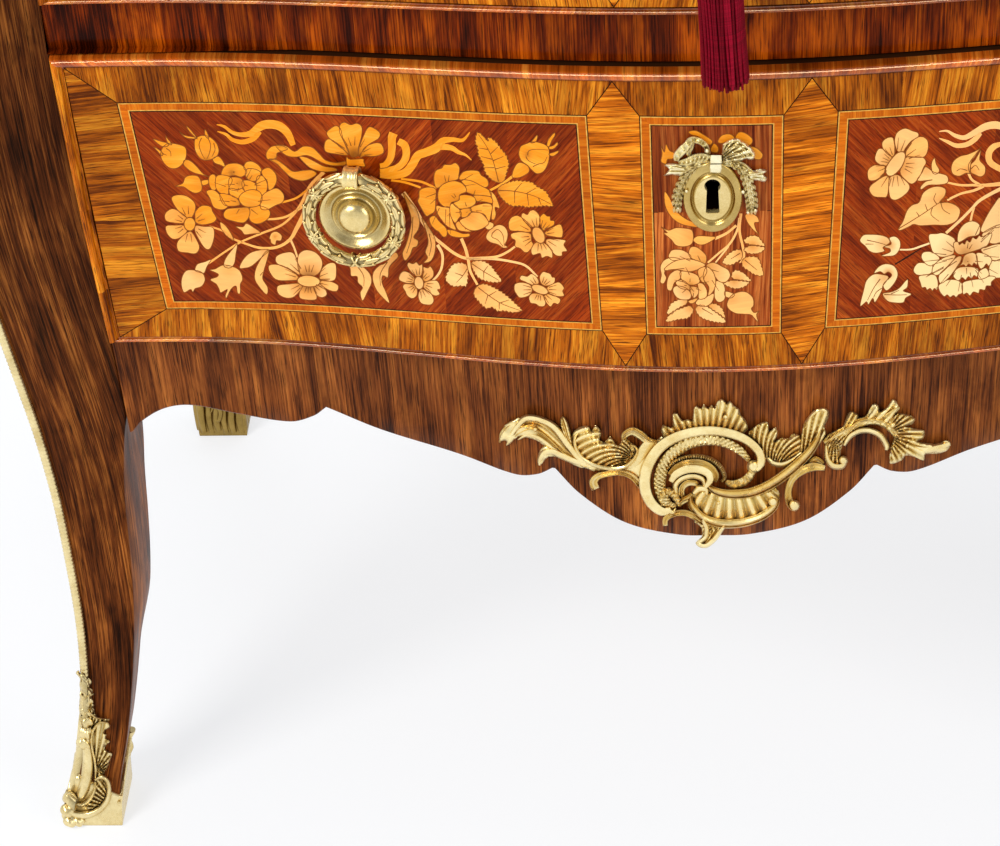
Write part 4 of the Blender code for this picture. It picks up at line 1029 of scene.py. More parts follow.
    # six petals round a button
    d.petals((230, 660), 130, [
        [(217, 625), (170, 590), (130, 530), (133, 500), (180, 492), (225, 505), (260, 540), (263, 580), (240, 627)], [(262, 630), (264, 590), (300, 555), (350, 560), (365, 590), (386, 630), (360, 655), (300, 665), (265, 650)],
        [(265, 670), (310, 675), (366, 682), (372, 740), (350, 802), (320, 802), (290, 760), (262, 705)], [(225, 705), (245, 710), (275, 760), (287, 800), (265, 832), (215, 827), (165, 817), (158, 770), (190, 730)],
        [(197, 670), (150, 668), (94, 673), (99, 715), (130, 747), (170, 742), (215, 705)], [(195, 655), (150, 655), (94, 642), (89, 600), (130, 572), (180, 595), (212, 625)],
    ], 0.75, 2)
    d.shape(ellipse(231, 661, 33, 39), (231, 640), 90, 0.3, lift=0.00008, edge=1.0)
    # wide open flower
    d.petals((922, 990), 140, [
        [(870, 945), (858, 900), (863, 840), (900, 813), (950, 820), (987, 850), (1002, 890), (985, 942), (940, 967), (900, 962)], [(862, 955), (800, 920), (738, 890), (733, 850), (780, 828), (830, 828), (857, 880), (870, 940)],
        [(857, 985), (800, 990), (730, 982), (691, 930), (698, 898), (760, 900), (820, 930), (860, 965)], [(862, 1005), (800, 1010), (743, 1020), (743, 1062), (780, 1087), (830, 1087), (870, 1050), (885, 1020)],
        [(890, 1022), (868, 1060), (873, 1092), (920, 1102), (967, 1097), (962, 1055), (945, 1022)], [(950, 1022), (967, 1072), (1000, 1087), (1027, 1070), (1015, 1035), (982, 1008)],
        [(985, 1003), (1030, 1040), (1082, 1052), (1094, 1020), (1060, 998), (1010, 988)], [(985, 977), (1000, 920), (1040, 888), (1077, 893), (1082, 950), (1070, 987), (1020, 992)],
    ], 1.15, 3)
    d.shape(ellipse(922, 992, 66, 33, 4), (922, 960), 100, 0.3, lift=0.00008, edge=1.0)


def left_inner(d):
    """Middle and inner end of a side panel: fan flower over the pull, bow, rose, daisies."""
    d.sheet(150, 110, 0.17221)
    d.petals((1188, 268), 120, [
        [(1145, 262), (1090, 255), (1020, 240), (1015, 190), (1040, 167), (1090, 195), (1140, 245)], [(1220, 272), (1250, 215), (1310, 190), (1346, 200), (1357, 245), (1310, 267), (1250, 265)],
        [(1155, 255), (1110, 215), (1050, 170), (1026, 135), (1045, 110), (1080, 91), (1107, 110), (1122, 170), (1150, 225)], [(1210, 265), (1215, 220), (1240, 150), (1270, 98), (1310, 110), (1336, 135), (1326, 165), (1270, 200), (1225, 250)],
        [(1165, 265), (1130, 190), (1102, 130), (1104, 85), (1130, 71), (1165, 85), (1200, 77), (1229, 95), (1229, 150), (1210, 220), (1205, 265)],
    ], 1.15, 2, tone=0.44)
    d.shape([(1143, 272), (1165, 285), (1235, 282), (1242, 300), (1248, 327), (1195, 322), (1148, 322), (1140, 300)], (1190, 268), 60, 0.7, lift=0.00008)
    d.shape([(1110, 850), (1165, 875), (1235, 908), (1277, 950), (1287, 1000), (1265, 1050), (1235, 1107), (1221, 1060), (1235, 1030), (1208, 1000), (1203, 965), (1168, 962), (1163, 920), (1138, 880)], (1150, 860), 110, 0.6,
            lines=[[(1200, 900), (1240, 960), (1242, 1020)]], per=3)
    d.shape([(1420, 825), (1442, 850), (1405, 890), (1387, 920), (1382, 972), (1352, 960), (1347, 1000), (1372, 1060), (1390, 1120), (1340, 1075), (1308, 1030), (1293, 980), (1298, 940), (1330, 903), (1370, 885)], (1430, 840), 110, 0.6,
            lines=[[(1380, 880), (1338, 950), (1340, 1020)]], per=3)
    d.shape([(965, 780), (1000, 760), (1060, 820), (1100, 882), (1060, 872), (1010, 825)], (980, 770), 90, 0.6)
    d.sheet(380, 110, 0.14030)
    d.vine([(80, 500), (180, 515), (290, 552)], [16, 16, 14])
    d.vine([(150, 490), (290, 510), (402, 557)], [14, 16, 14])
    d.vine([(165, 590), (240, 690), (300, 790), (370, 890), (450, 960), (530, 1020), (610, 1055), (720, 1055), (830, 1045), (910, 1010), (968, 968)], [34, 28, 24, 22, 22, 20, 20, 20, 18, 16, 13])
    d.vine([(640, 1060), (800, 1060), (940, 1080), (1040, 1110), (1122, 1188)], [18, 16, 16, 15, 13])
    d.vine([(580, 915), (610, 990), (630, 1070), (645, 1150), (695, 1245)], [22, 22, 22, 18, 15])
    d.vine([(410, 960), (445, 1030), (440, 1120), (410, 1180), (375, 1215)], [22, 18, 17, 16, 13])
    d.vine([(950, 468), (880, 520), (785, 572)], [20, 16, 16])
    d.vine([(0, 398), (40, 388), (75, 340), (85, 270), (85, 200), (97, 165)], [32, 42, 50, 54, 58, 64])
    d.vine([(130, 222), (175, 250), (188, 310), (168, 370), (110, 415), (0, 430)], [46, 54, 54, 52, 44, 30])
    d.vine([(0, 465), (100, 465), (180, 445), (230, 390), (270, 325), (330, 300), (400, 270), (450, 218), (520, 210), (590, 213), (640, 158)], [36, 52, 58, 60, 60, 60, 66, 46, 32, 24, 6])
    d.vine([(430, 258), (510, 270), (560, 300), (610, 320), (652, 356)], [50, 36, 28, 16, 5])
    d.line(d.on([(0, 415), (60, 405), (110, 360)]), [0.9, 0.5])
    # rose
    d.petals((480, 560), 180, [
        [(395, 547), (384, 480), (400, 430), (440, 413), (460, 389), (500, 389), (540, 377), (567, 410), (562, 460), (555, 492), (510, 507), (460, 522), (420, 552)],
        [(565, 492), (590, 443), (640, 429), (700, 434), (722, 463), (762, 490), (774, 530), (750, 550), (700, 532), (640, 507)],
        [(397, 562), (340, 549), (284, 570), (279, 620), (269, 650), (295, 700), (330, 754), (360, 742), (392, 715), (397, 640)],
        [(353, 770), (390, 753), (430, 800), (472, 840), (477, 892), (450, 902), (420, 867), (395, 852), (363, 815)], [(478, 853), (530, 858), (590, 880), (637, 880), (630, 902), (560, 907), (500, 892)],
    ], 0.8, 2, tone=0.44)
    d.petals((640, 680), 190, [
        [(780, 573), (815, 600), (837, 640), (852, 697), (820, 690), (827, 740), (815, 777), (795, 772), (800, 700), (803, 640)], [(578, 498), (650, 503), (720, 538), (782, 573), (792, 612), (730, 607), (670, 602), (610, 577), (612, 545)],
        [(403, 680), (450, 690), (492, 690), (502, 740), (522, 800), (542, 852), (480, 827), (440, 782), (408, 730)], [(670, 608), (730, 608), (790, 618), (802, 662), (745, 652), (690, 647)],
        [(540, 808), (570, 793), (610, 840), (652, 864), (600, 864), (558, 852)],
    ], 0.7, 1, 0.00005)
    d.petals((560, 650), 150, [
        [(418, 570), (450, 528), (520, 503), (580, 518), (612, 550), (614, 580), (570, 602), (560, 642), (510, 657), (495, 692), (450, 682), (416, 640)],
    ], 0.7, 2, 0.00010, 0.42)
    d.petals((630, 720), 110, [
        [(523, 665), (565, 640), (570, 608), (620, 603), (672, 620), (682, 662), (640, 692), (570, 702)], [(648, 717), (653, 690), (700, 673), (760, 663), (800, 680), (792, 740), (777, 792), (750, 747), (720, 732)],
        [(503, 673), (525, 666), (562, 700), (582, 740), (560, 772), (535, 802), (508, 760), (498, 715)], [(573, 710), (640, 698), (652, 720), (630, 752), (585, 762)],
    ], 0.65, 1, 0.00013)
    d.petals((640, 740), 90, [[(568, 787), (620, 758), (650, 728), (720, 733), (767, 780), (772, 812), (720, 847), (660, 857), (610, 837)]], 0.6, 0, 0.00017)
    # serrated leaves
    d.shape([(845, 517), (790, 490), (750, 440), (735, 380), (703, 320), (695, 260), (680, 225), (695, 158), (735, 185), (770, 222), (775, 193), (825, 225), (865, 280), (892, 310), (917, 370), (907, 430), (885, 502)], (845, 515), 120, 0.7,
            lines=[[(845, 508), (806, 360), (755, 250), (700, 172)], [(806, 360), (880, 330)], [(818, 420), (895, 400)], [(790, 310), (840, 262)], [(800, 350), (720, 330)], [(815, 410), (745, 410)], [(770, 280), (705, 270)]], per=3, saw=1.5)
    d.shape([(836, 570), (880, 528), (960, 503), (1020, 505), (1080, 513), (1120, 545), (1180, 578), (1207, 620), (1232, 682), (1180, 682), (1100, 687), (1060, 692), (1000, 682), (940, 682), (880, 642)], (840, 570), 120, 0.7,
            lines=[[(846, 572), (960, 578), (1100, 612), (1222, 672)], [(960, 578), (1010, 520)], [(1040, 596), (1110, 556)], [(960, 580), (960, 660)], [(1050, 600), (1060, 680)], [(1130, 625), (1150, 678)]], per=3, saw=1.5)
    d.shape([(690, 1258), (740, 1238), (800, 1258), (870, 1298), (930, 1345), (975, 1388), (1012, 1427), (950, 1442), (880, 1430), (840, 1432), (800, 1405), (755, 1412), (700, 1360), (668, 1310)], (690, 1260), 120, 0.55,
            lines=[[(700, 1264), (850, 1370), (1000, 1428)], [(780, 1320), (830, 1290)], [(860, 1372), (920, 1352)], [(770, 1318), (750, 1380)], [(850, 1372), (850, 1420)]], per=3, saw=1.5)
    d.shape([(620, 1108), (570, 1088), (520, 1100), (485, 1150), (468, 1200), (490, 1237), (530, 1257), (580, 1252), (615, 1252), (628, 1180)], (622, 1120), 100, 0.65, lines=[[(622, 1130), (590, 1180), (545, 1228)], [(590, 1180), (535, 1160)]], saw=1.4)
    d.shape([(650, 1090), (720, 1073), (780, 1100), (822, 1150), (867, 1217), (800, 1227), (740, 1212), (690, 1182)], (652, 1092), 100, 0.65, lines=[[(656, 1094), (740, 1150), (850, 1214)], [(740, 1150), (770, 1110)], [(740, 1152), (740, 1200)]], saw=1.4)
    d.shape([(298, 768), (345, 830), (387, 900), (397, 960), (387, 1030), (360, 1077), (313, 1087), (340, 1052), (323, 1010), (343, 950), (335, 880)], (300, 772), 150, 0.6, lines=[[(350, 880), (366, 960), (350, 1040)]])
    d.shape([(165, 590), (215, 650), (257, 700), (282, 780), (274, 850), (240, 905), (272, 930), (264, 970), (235, 982), (215, 1032), (180, 1072), (160, 1022), (185, 960), (213, 860), (222, 760)], (180, 620), 150, 0.6, lines=[[(235, 760), (225, 900), (190, 1020)]], per=3)
    # bud, heart-shaped bud
    d.shape([(1075, 232), (1100, 200), (1121, 177), (1121, 202), (1107, 228)])
    d.shape([(1190, 252), (1200, 210), (1241, 163), (1247, 180), (1222, 222), (1207, 258)])
    d.shape([(1205, 262), (1240, 250), (1263, 228), (1267, 245), (1240, 274), (1210, 278)])
    d.shape([(1205, 310), (1240, 300), (1272, 289), (1266, 307), (1235, 327), (1210, 322)])
    d.shape([(1040, 240), (1090, 225), (1150, 235), (1195, 260), (1207, 310), (1200, 370), (1170, 432), (1120, 452), (1078, 422), (1050, 392), (1008, 360), (990, 310), (1003, 260)], (1050, 318), 55, 0.9,
            lines=[[(1052, 320), (1064, 288), (1120, 278), (1198, 284)], [(1040, 330), (1060, 360), (1110, 384)], [(1090, 402), (1130, 384), (1170, 372), (1192, 330)]])
    d.shape([(943, 477), (950, 430), (975, 384), (1010, 374), (1057, 400), (1062, 440), (1025, 467), (985, 482)], (1050, 390), 70, 0.6)
    d.shape([(763, 880), (790, 848), (840, 818), (885, 828), (910, 870), (907, 920), (890, 960), (912, 975), (880, 982), (840, 957), (790, 942), (758, 915)], (800, 840), 70, 0.5,
            lines=[[(800, 878), (838, 850), (876, 890), (886, 972)], [(800, 878), (800, 905), (840, 925), (878, 972)]])
    d.shape([(750, 830), (775, 798), (810, 810), (802, 840), (770, 852)])
    # daisies
    d.petals((1130, 890), 140, [
        [(1075, 832), (1040, 802), (1008, 760), (1020, 733), (1050, 745), (1070, 718), (1100, 713), (1132, 745), (1142, 790), (1127, 832), (1100, 832)], [(1145, 822), (1138, 770), (1165, 738), (1190, 755), (1212, 758), (1215, 785), (1242, 790), (1237, 820), (1190, 842), (1165, 857)],
        [(1175, 872), (1220, 840), (1282, 813), (1302, 850), (1302, 890), (1290, 907), (1240, 902), (1190, 892)], [(1190, 920), (1250, 918), (1322, 928), (1310, 960), (1334, 1002), (1300, 1010), (1295, 1037), (1250, 1032), (1210, 982), (1185, 950)],
        [(1110, 943), (1160, 943), (1200, 970), (1227, 1010), (1227, 1052), (1190, 1040), (1155, 1052), (1140, 1020), (1090, 1032), (1078, 990)], [(1080, 930), (1092, 960), (1060, 1007), (1030, 1012), (1000, 985), (963, 970), (965, 930), (938, 910), (938, 880), (1000, 868), (1072, 880)],
        [(1060, 870), (1000, 862), (928, 855), (918, 800), (940, 763), (985, 753), (1040, 790), (1077, 850)],
    ], 1.0, 3)
    d.shape(ellipse(1130, 890, 62, 40, 62), (1110, 860), 120, 0.4, lift=0.00008, edge=1.0)
    d.petals((1140, 1277), 110, [
        [(1150, 1237), (1138, 1190), (1160, 1153), (1190, 1158), (1215, 1168), (1227, 1190), (1247, 1195), (1240, 1232), (1190, 1252)], [(1190, 1265), (1240, 1235), (1280, 1228), (1312, 1265), (1302, 1290), (1312, 1322), (1270, 1327), (1210, 1307)],
        [(1205, 1308), (1260, 1330), (1287, 1350), (1270, 1382), (1240, 1375), (1215, 1400), (1185, 1370), (1168, 1330)], [(1160, 1318), (1180, 1370), (1170, 1397), (1135, 1397), (1110, 1380), (1073, 1372), (1063, 1330), (1095, 1305)],
        [(1085, 1285), (1060, 1322), (1000, 1337), (973, 1310), (958, 1280), (963, 1240), (1010, 1228), (1070, 1245)], [(1090, 1250), (1040, 1225), (998, 1205), (1010, 1178), (1050, 1185), (1080, 1166), (1117, 1190), (1132, 1232)],
    ], 0.95, 3)
    d.shape(ellipse(1140, 1277, 62, 30, 22), (1110, 1250), 120, 0.35, lift=0.00008, edge=1.0)
    d.petals((278, 1230), 110, [
        [(255, 1182), (220, 1150), (195, 1110), (205, 1086), (235, 1095), (260, 1083), (280, 1105), (302, 1100), (302, 1150), (290, 1182)], [(305, 1202), (310, 1150), (310, 1118), (340, 1125), (360, 1113), (382, 1150), (377, 1190), (330, 1222)],
        [(315, 1230), (370, 1213), (412, 1220), (432, 1270), (410, 1280), (427, 1310), (390, 1322), (340, 1290), (310, 1260)], [(290, 1278), (320, 1280), (360, 1300), (384, 1350), (370, 1382), (335, 1387), (290, 1372), (273, 1320)],
        [(265, 1273), (262, 1320), (230, 1342), (195, 1322), (180, 1290), (163, 1260), (180, 1238), (240, 1245)], [(240, 1230), (190, 1232), (138, 1210), (143, 1170), (170, 1148), (210, 1160), (247, 1200)],
    ], 0.95, 3)
    d.shape(ellipse(278, 1230, 33, 46, -10), (265, 1200), 110, 0.35, lift=0.00008, edge=1.0)


def centre_spray(d):
    """Rose, tulip and leaves of the middle panel."""
    d.sheet(630, 100, 0.15309)
    d.vine([(715, 770), (700, 850), (650, 940), (580, 1000), (508, 1062)], [16, 14, 14, 13, 11])
    d.vine([(645, 955), (600, 1010), (558, 1062)], [8, 11, 9])
    d.vine([(725, 740), (715, 850), (735, 950), (745, 1020), (716, 1064)], [18, 16, 16, 15, 6])
    d.vine([(555, 905), (630, 870), (694, 818)], [18, 16, 15])
    for p in ([(383, 205), (430, 199), (480, 225), (537, 265), (525, 292), (490, 275), (450, 240), (400, 225)], [(573, 270), (600, 230), (650, 221), (682, 245), (640, 265), (600, 282)],
              [(688, 245), (710, 211), (750, 214), (797, 250), (792, 287), (750, 302), (710, 275)], [(785, 303), (830, 315), (867, 355), (850, 387), (810, 380), (790, 340)], [(530, 310), (550, 283), (577, 310), (570, 342), (530, 337)],
              [(203, 300), (225, 340), (235, 288), (260, 330), (302, 350), (280, 382), (245, 387), (235, 417), (203, 400), (210, 350)]):
        d.shape(p, tuple(np.mean(p, axis=0) + (10, 20)), 60, 0.45, 0.36)
    d.shape([(226, 598), (260, 640), (287, 700), (330, 750), (390, 788), (462, 808), (450, 830), (380, 822), (320, 802), (268, 760), (230, 690)], (455, 820), 110, 0.5)
    d.shape([(203, 828), (250, 850), (300, 834), (360, 837), (405, 850), (414, 900), (400, 942), (350, 957), (300, 947), (270, 912), (220, 868), (245, 866)], (400, 900), 110, 0.45)
    d.shape([(413, 915), (440, 888), (500, 888), (562, 897), (500, 937), (450, 944)], (560, 900), 60, 0.4)
    d.shape([(753, 750), (790, 738), (830, 760), (842, 795), (812, 802), (825, 850), (842, 877), (800, 842), (763, 790)], (760, 750), 60, 0.5)
    d.petals((480, 1090), 190, [
        [(258, 1000), (280, 978), (340, 979), (392, 1010), (392, 1037), (330, 1042), (280, 1047), (253, 1025)], [(383, 1000), (395, 963), (430, 958), (470, 984), (499, 1020), (492, 1067), (450, 1052), (400, 1032)],
        [(198, 1090), (220, 1048), (270, 1028), (332, 1040), (280, 1067), (240, 1097), (225, 1130), (237, 1160), (220, 1197), (198, 1187), (205, 1140)], [(498, 1080), (545, 1060), (600, 1085), (642, 1110), (654, 1150), (625, 1187), (580, 1182), (540, 1130)],
        [(563, 1180), (610, 1198), (622, 1250), (617, 1302), (580, 1320), (553, 1290), (553, 1230)], [(428, 1325), (450, 1298), (500, 1283), (547, 1263), (537, 1317), (495, 1347), (450, 1342)],
    ], 0.75, 1)
    d.petals((420, 1200), 190, [
        [(223, 1110), (270, 1063), (340, 1038), (420, 1043), (492, 1075), (440, 1107), (380, 1120), (310, 1107)], [(243, 1180), (260, 1138), (300, 1110), (332, 1120), (327, 1167), (290, 1192), (270, 1242), (243, 1232)],
        [(498, 1090), (540, 1118), (560, 1180), (547, 1242), (510, 1277), (515, 1220), (478, 1160)], [(443, 1110), (490, 1088), (502, 1120), (482, 1165), (492, 1202), (458, 1170)], [(383, 1310), (442, 1293), (420, 1322), (395, 1327)],
    ], 0.7, 1, 0.00006)
    d.petals((390, 1215), 110, [
        [(328, 1120), (390, 1123), (442, 1145), (454, 1190), (400, 1207), (343, 1180)], [(298, 1190), (340, 1173), (387, 1210), (397, 1237), (330, 1227)], [(443, 1198), (475, 1198), (502, 1240), (497, 1287), (450, 1297), (448, 1240)],
        [(280, 1240), (300, 1213), (360, 1223), (397, 1260), (392, 1297), (340, 1302), (300, 1282)], [(393, 1218), (440, 1223), (447, 1260), (420, 1292), (400, 1267)],
    ], 0.75, 1, 0.00010)
    for p, root, lines in (
            ([(243, 1380), (270, 1328), (320, 1303), (372, 1303), (367, 1332), (310, 1362), (270, 1397), (243, 1397)], (380, 1320), ()), ([(236, 1447), (270, 1388), (340, 1358), (390, 1343), (414, 1375), (380, 1422), (320, 1432)], (400, 1350), ()),
            ([(428, 1360), (460, 1338), (510, 1353), (560, 1383), (612, 1420), (622, 1452), (570, 1452), (490, 1432), (445, 1402)], (440, 1350), ([(470, 1360), (540, 1400)],)), ([(513, 1345), (550, 1328), (600, 1358), (622, 1427), (570, 1392)], (520, 1340), ()),
            ([(743, 920), (780, 888), (830, 888), (860, 920), (882, 955), (830, 947), (780, 942)], (800, 945), ()), ([(743, 975), (790, 950), (850, 955), (882, 962), (850, 997), (780, 1002)], (800, 950), ()),
            ([(603, 1060), (640, 1008), (690, 978), (727, 983), (732, 1030), (690, 1062), (650, 1077)], (725, 1000), ([(718, 1000), (660, 1036)],)), ([(733, 1045), (770, 1023), (832, 1028), (857, 1080), (870, 1142), (820, 1142), (770, 1112), (736, 1085)], (740, 1040), ([(750, 1044), (830, 1110)],)),
            ([(663, 1140), (690, 1110), (742, 1130), (792, 1182), (730, 1175), (675, 1167)], (700, 1175), ()), ([(613, 1200), (660, 1178), (720, 1180), (777, 1190), (740, 1222), (680, 1230)], (680, 1180), ())):
        d.shape(p, root, 70, 0.65, lines=lines, saw=1.2)
    d.shape([(633, 1330), (660, 1278), (710, 1253), (760, 1254), (802, 1290), (807, 1340), (792, 1362), (812, 1388), (842, 1378), (826, 1402), (837, 1449), (812, 1424), (790, 1402), (740, 1397), (690, 1392), (648, 1367)], (660, 1280), 90, 0.4)
    d.shape([(618, 1250), (650, 1253), (682, 1270), (660, 1292), (623, 1282)])


def right_seen(d):
    """Inner end of the right panel: open flower, heart leaves, carnation and buds."""
    d.sheet(840, 110, 0.13391)
    d.vine([(800, 540), (900, 560), (1000, 560), (1100, 560), (1260, 545)], [14, 16, 18, 24, 34])
    d.vine([(792, 918), (900, 820), (980, 740), (1050, 670), (1195, 590), (1300, 550)], [20, 20, 20, 22, 26, 30])
    d.vine([(1002, 728), (985, 780), (975, 832)], [14, 15, 17])
    d.vine([(800, 672), (900, 625), (1000, 600), (1072, 568)], [16, 16, 18, 22])
    d.vine([(445, 1042), (530, 1040), (610, 1015), (672, 993)], [10, 12, 14, 12])
    d.vine([(958, 468), (985, 520), (1042, 556)], [18, 18, 20])
    d.vine([(740, 160), (800, 156), (860, 190), (930, 205), (1010, 165), (1090, 122), (1170, 112), (1250, 140)], [5, 16, 28, 34, 44, 52, 56, 40])
    d.vine([(740, 210), (800, 235), (870, 265), (950, 255), (1010, 215), (1052, 172)], [5, 24, 32, 36, 38, 24])
    d.vine([(1220, 248), (1150, 272), (1112, 322), (1122, 390), (1200, 440), (1280, 470)], [24, 44, 48, 48, 44, 30])
    d.petals((415, 400), 190, [
        [(470, 312), (430, 307), (408, 240), (418, 180), (450, 148), (490, 136), (540, 155), (582, 170), (582, 200), (530, 232), (490, 282)], [(490, 322), (510, 270), (560, 213), (610, 198), (652, 225), (657, 290), (630, 347), (560, 352), (500, 347)],
        [(490, 355), (560, 350), (620, 353), (642, 390), (622, 430), (590, 502), (540, 550), (490, 522), (448, 460)], [(375, 500), (430, 483), (480, 518), (517, 560), (512, 600), (470, 642), (415, 670), (375, 652), (363, 570)],
        [(330, 493), (362, 500), (364, 560), (350, 642), (310, 650), (250, 642), (218, 595), (240, 553)], [(332, 413), (332, 460), (310, 492), (260, 524), (213, 517), (208, 450), (250, 413), (290, 410)],
        [(387, 355), (350, 412), (300, 407), (263, 375), (266, 330), (290, 288), (330, 298)], [(412, 310), (387, 347), (330, 302), (313, 250), (340, 213), (390, 203), (405, 250)],
    ], 0.85, 3)
    d.shape([(345, 472), (343, 430), (380, 368), (430, 318), (475, 313), (487, 350), (460, 422), (410, 477), (370, 492)], (400, 360), 160, 0.3, lift=0.00008, edge=1.0)
    d.shape([(578, 527), (610, 470), (640, 423), (700, 463), (760, 475), (802, 495), (802, 542), (740, 557), (660, 560), (608, 592), (602, 572), (640, 533), (690, 520)], (640, 440), 90, 0.5)
    d.shape([(690, 465), (683, 400), (705, 357), (717, 400), (742, 450), (720, 477)])
    d.shape([(972, 470), (940, 470), (890, 492), (843, 477), (830, 430), (850, 378), (900, 343), (960, 328), (1040, 290), (1052, 276), (1012, 340), (977, 390)], (970, 468), 90, 0.6, lines=[[(968, 466), (962, 400), (1046, 286)], [(950, 450), (900, 438), (870, 456)]])
    d.shape([(975, 462), (975, 410), (1010, 370), (1052, 298), (1042, 370), (1082, 420), (1082, 472), (1050, 497), (1010, 482)], (975, 460), 80, 0.6, lines=[[(976, 440), (1012, 412), (1040, 450)]])
    d.shape([(438, 882), (470, 830), (500, 750), (540, 708), (590, 688), (620, 618), (680, 578), (740, 570), (787, 590), (782, 640), (742, 690), (800, 688), (860, 708), (897, 750), (872, 822), (800, 857), (700, 857), (600, 862), (550, 852),
             (510, 872), (450, 897)], (800, 670), 180, 0.55, lines=[[(440, 884), (600, 786), (740, 692), (820, 655)], [(722, 700), (700, 664), (716, 620)], [(652, 748), (634, 700)], [(690, 726), (680, 780), (740, 830)], [(752, 690), (770, 742), (822, 776)], [(590, 790), (570, 760)]])
    # carnation with toothed petals
    d.shape([(878, 982), (885, 908), (930, 848), (990, 828), (1037, 850), (1047, 890), (1030, 932), (960, 947), (910, 977)], (960, 950), 90, 0.5)
    d.petals((930, 1090), 260, [
        [(663, 933), (720, 923), (770, 918), (842, 950), (862, 985), (852, 1040), (840, 1077), (760, 1097), (700, 1067), (678, 1020)], [(1050, 892), (1090, 800), (1140, 718), (1200, 655), (1210, 850), (1140, 882), (1080, 912)],
        [(1058, 932), (1130, 878), (1210, 855), (1290, 900), (1320, 960), (1195, 992), (1120, 992)], [(608, 1102), (620, 1063), (680, 1058), (742, 1100), (720, 1142), (680, 1162), (640, 1147)],
        [(548, 1192), (580, 1143), (640, 1143), (692, 1165), (680, 1217), (620, 1232), (570, 1227)], [(588, 1242), (640, 1228), (712, 1233), (732, 1300), (722, 1342), (704, 1330), (690, 1347), (672, 1330), (650, 1342), (636, 1322), (612, 1324), (600, 1290)],
        [(1130, 1128), (1195, 1118), (1300, 1110), (1310, 1180), (1240, 1240), (1150, 1252), (1110, 1220)],
    ], 0.7, 2)
    d.petals((940, 1080), 220, [
        [(848, 992), (880, 983), (890, 1005), (912, 990), (930, 1000), (946, 972), (970, 985), (990, 950), (1016, 962), (1040, 936), (1060, 946), (1132, 918), (1112, 987), (1080, 1022), (980, 1057), (900, 1077), (858, 1052)],
        [(688, 1212), (700, 1158), (760, 1108), (830, 1083), (862, 1090), (820, 1152), (760, 1212), (720, 1232)], [(1050, 1042), (1130, 1008), (1210, 998), (1320, 1010), (1320, 1080), (1195, 1112), (1140, 1122)],
        [(738, 1232), (800, 1168), (870, 1098), (907, 1093), (892, 1142), (850, 1202), (800, 1262), (748, 1292)], [(738, 1302), (800, 1268), (870, 1268), (912, 1300), (912, 1362), (886, 1376), (866, 1396), (846, 1382), (822, 1396), (800, 1378), (776, 1390), (743, 1350)],
        [(913, 1292), (980, 1268), (1050, 1258), (1120, 1238), (1162, 1250), (1130, 1282), (1126, 1310), (1092, 1312), (1080, 1342), (1044, 1338), (1034, 1366), (996, 1356), (970, 1384), (946, 1364), (918, 1372)],
    ], 0.75, 2, 0.00006)
    d.petals((940, 1120), 130, [
        [(908, 1142), (930, 1083), (990, 1063), (1022, 1090), (1022, 1152), (1000, 1140), (984, 1160), (960, 1146), (940, 1168), (920, 1152), (878, 1167)], [(1018, 1067), (1080, 1073), (1132, 1110), (1112, 1162), (1092, 1146), (1072, 1172), (1048, 1182), (1028, 1142)],
        [(843, 1232), (880, 1178), (960, 1168), (1032, 1185), (1022, 1242), (1000, 1232), (980, 1258), (958, 1240), (936, 1266), (912, 1248), (880, 1272)], [(1038, 1202), (1090, 1178), (1112, 1232), (1050, 1262), (1028, 1242)],
    ], 0.75, 1, 0.00012)
    # buds
    d.shape([(148, 975), (175, 933), (230, 928), (300, 933), (352, 950), (372, 985), (340, 1012), (320, 1027), (332, 1052), (270, 1067), (220, 1052), (188, 1015)], (340, 1000), 110, 0.55, lines=[[(200, 970), (270, 985), (340, 1004)], [(190, 1000), (250, 1000)]])
    d.shape([(368, 955), (410, 943), (447, 975), (447, 1032), (410, 1082), (350, 1090), (308, 1087), (370, 1062), (372, 1035), (328, 1020), (382, 1000)], (375, 1010), 60, 0.7)
    d.shape([(253, 1217), (290, 1168), (340, 1148), (397, 1160), (427, 1200), (427, 1250), (390, 1312), (345, 1347), (323, 1300), (385, 1237), (360, 1208), (330, 1223), (300, 1205)], (360, 1220), 60, 0.8)
    d.shape([(253, 1225), (315, 1228), (362, 1247), (320, 1312), (310, 1352), (262, 1434), (244, 1404), (212, 1452), (197, 1430), (150, 1462), (175, 1350), (198, 1270)], (330, 1250), 110, 0.55, lines=[[(300, 1260), (250, 1330), (205, 1420)], [(310, 1330), (270, 1360), (250, 1400)]])
    d.shape([(318, 1370), (380, 1358), (440, 1330), (490, 1273), (507, 1268), (502, 1322), (472, 1350), (532, 1373), (490, 1402), (470, 1437), (400, 1437), (350, 1422)], (330, 1372), 110, 0.55, lines=[[(330, 1376), (420, 1380), (500, 1378)], [(380, 1372), (440, 1345)]])
    d.face.stroke(curve(d.on([(410, 1152), (500, 1098), (605, 1033)]), 6), [1.2, 1.6, 0.8], 0.00012, EBONY, mirror=d.mirror)


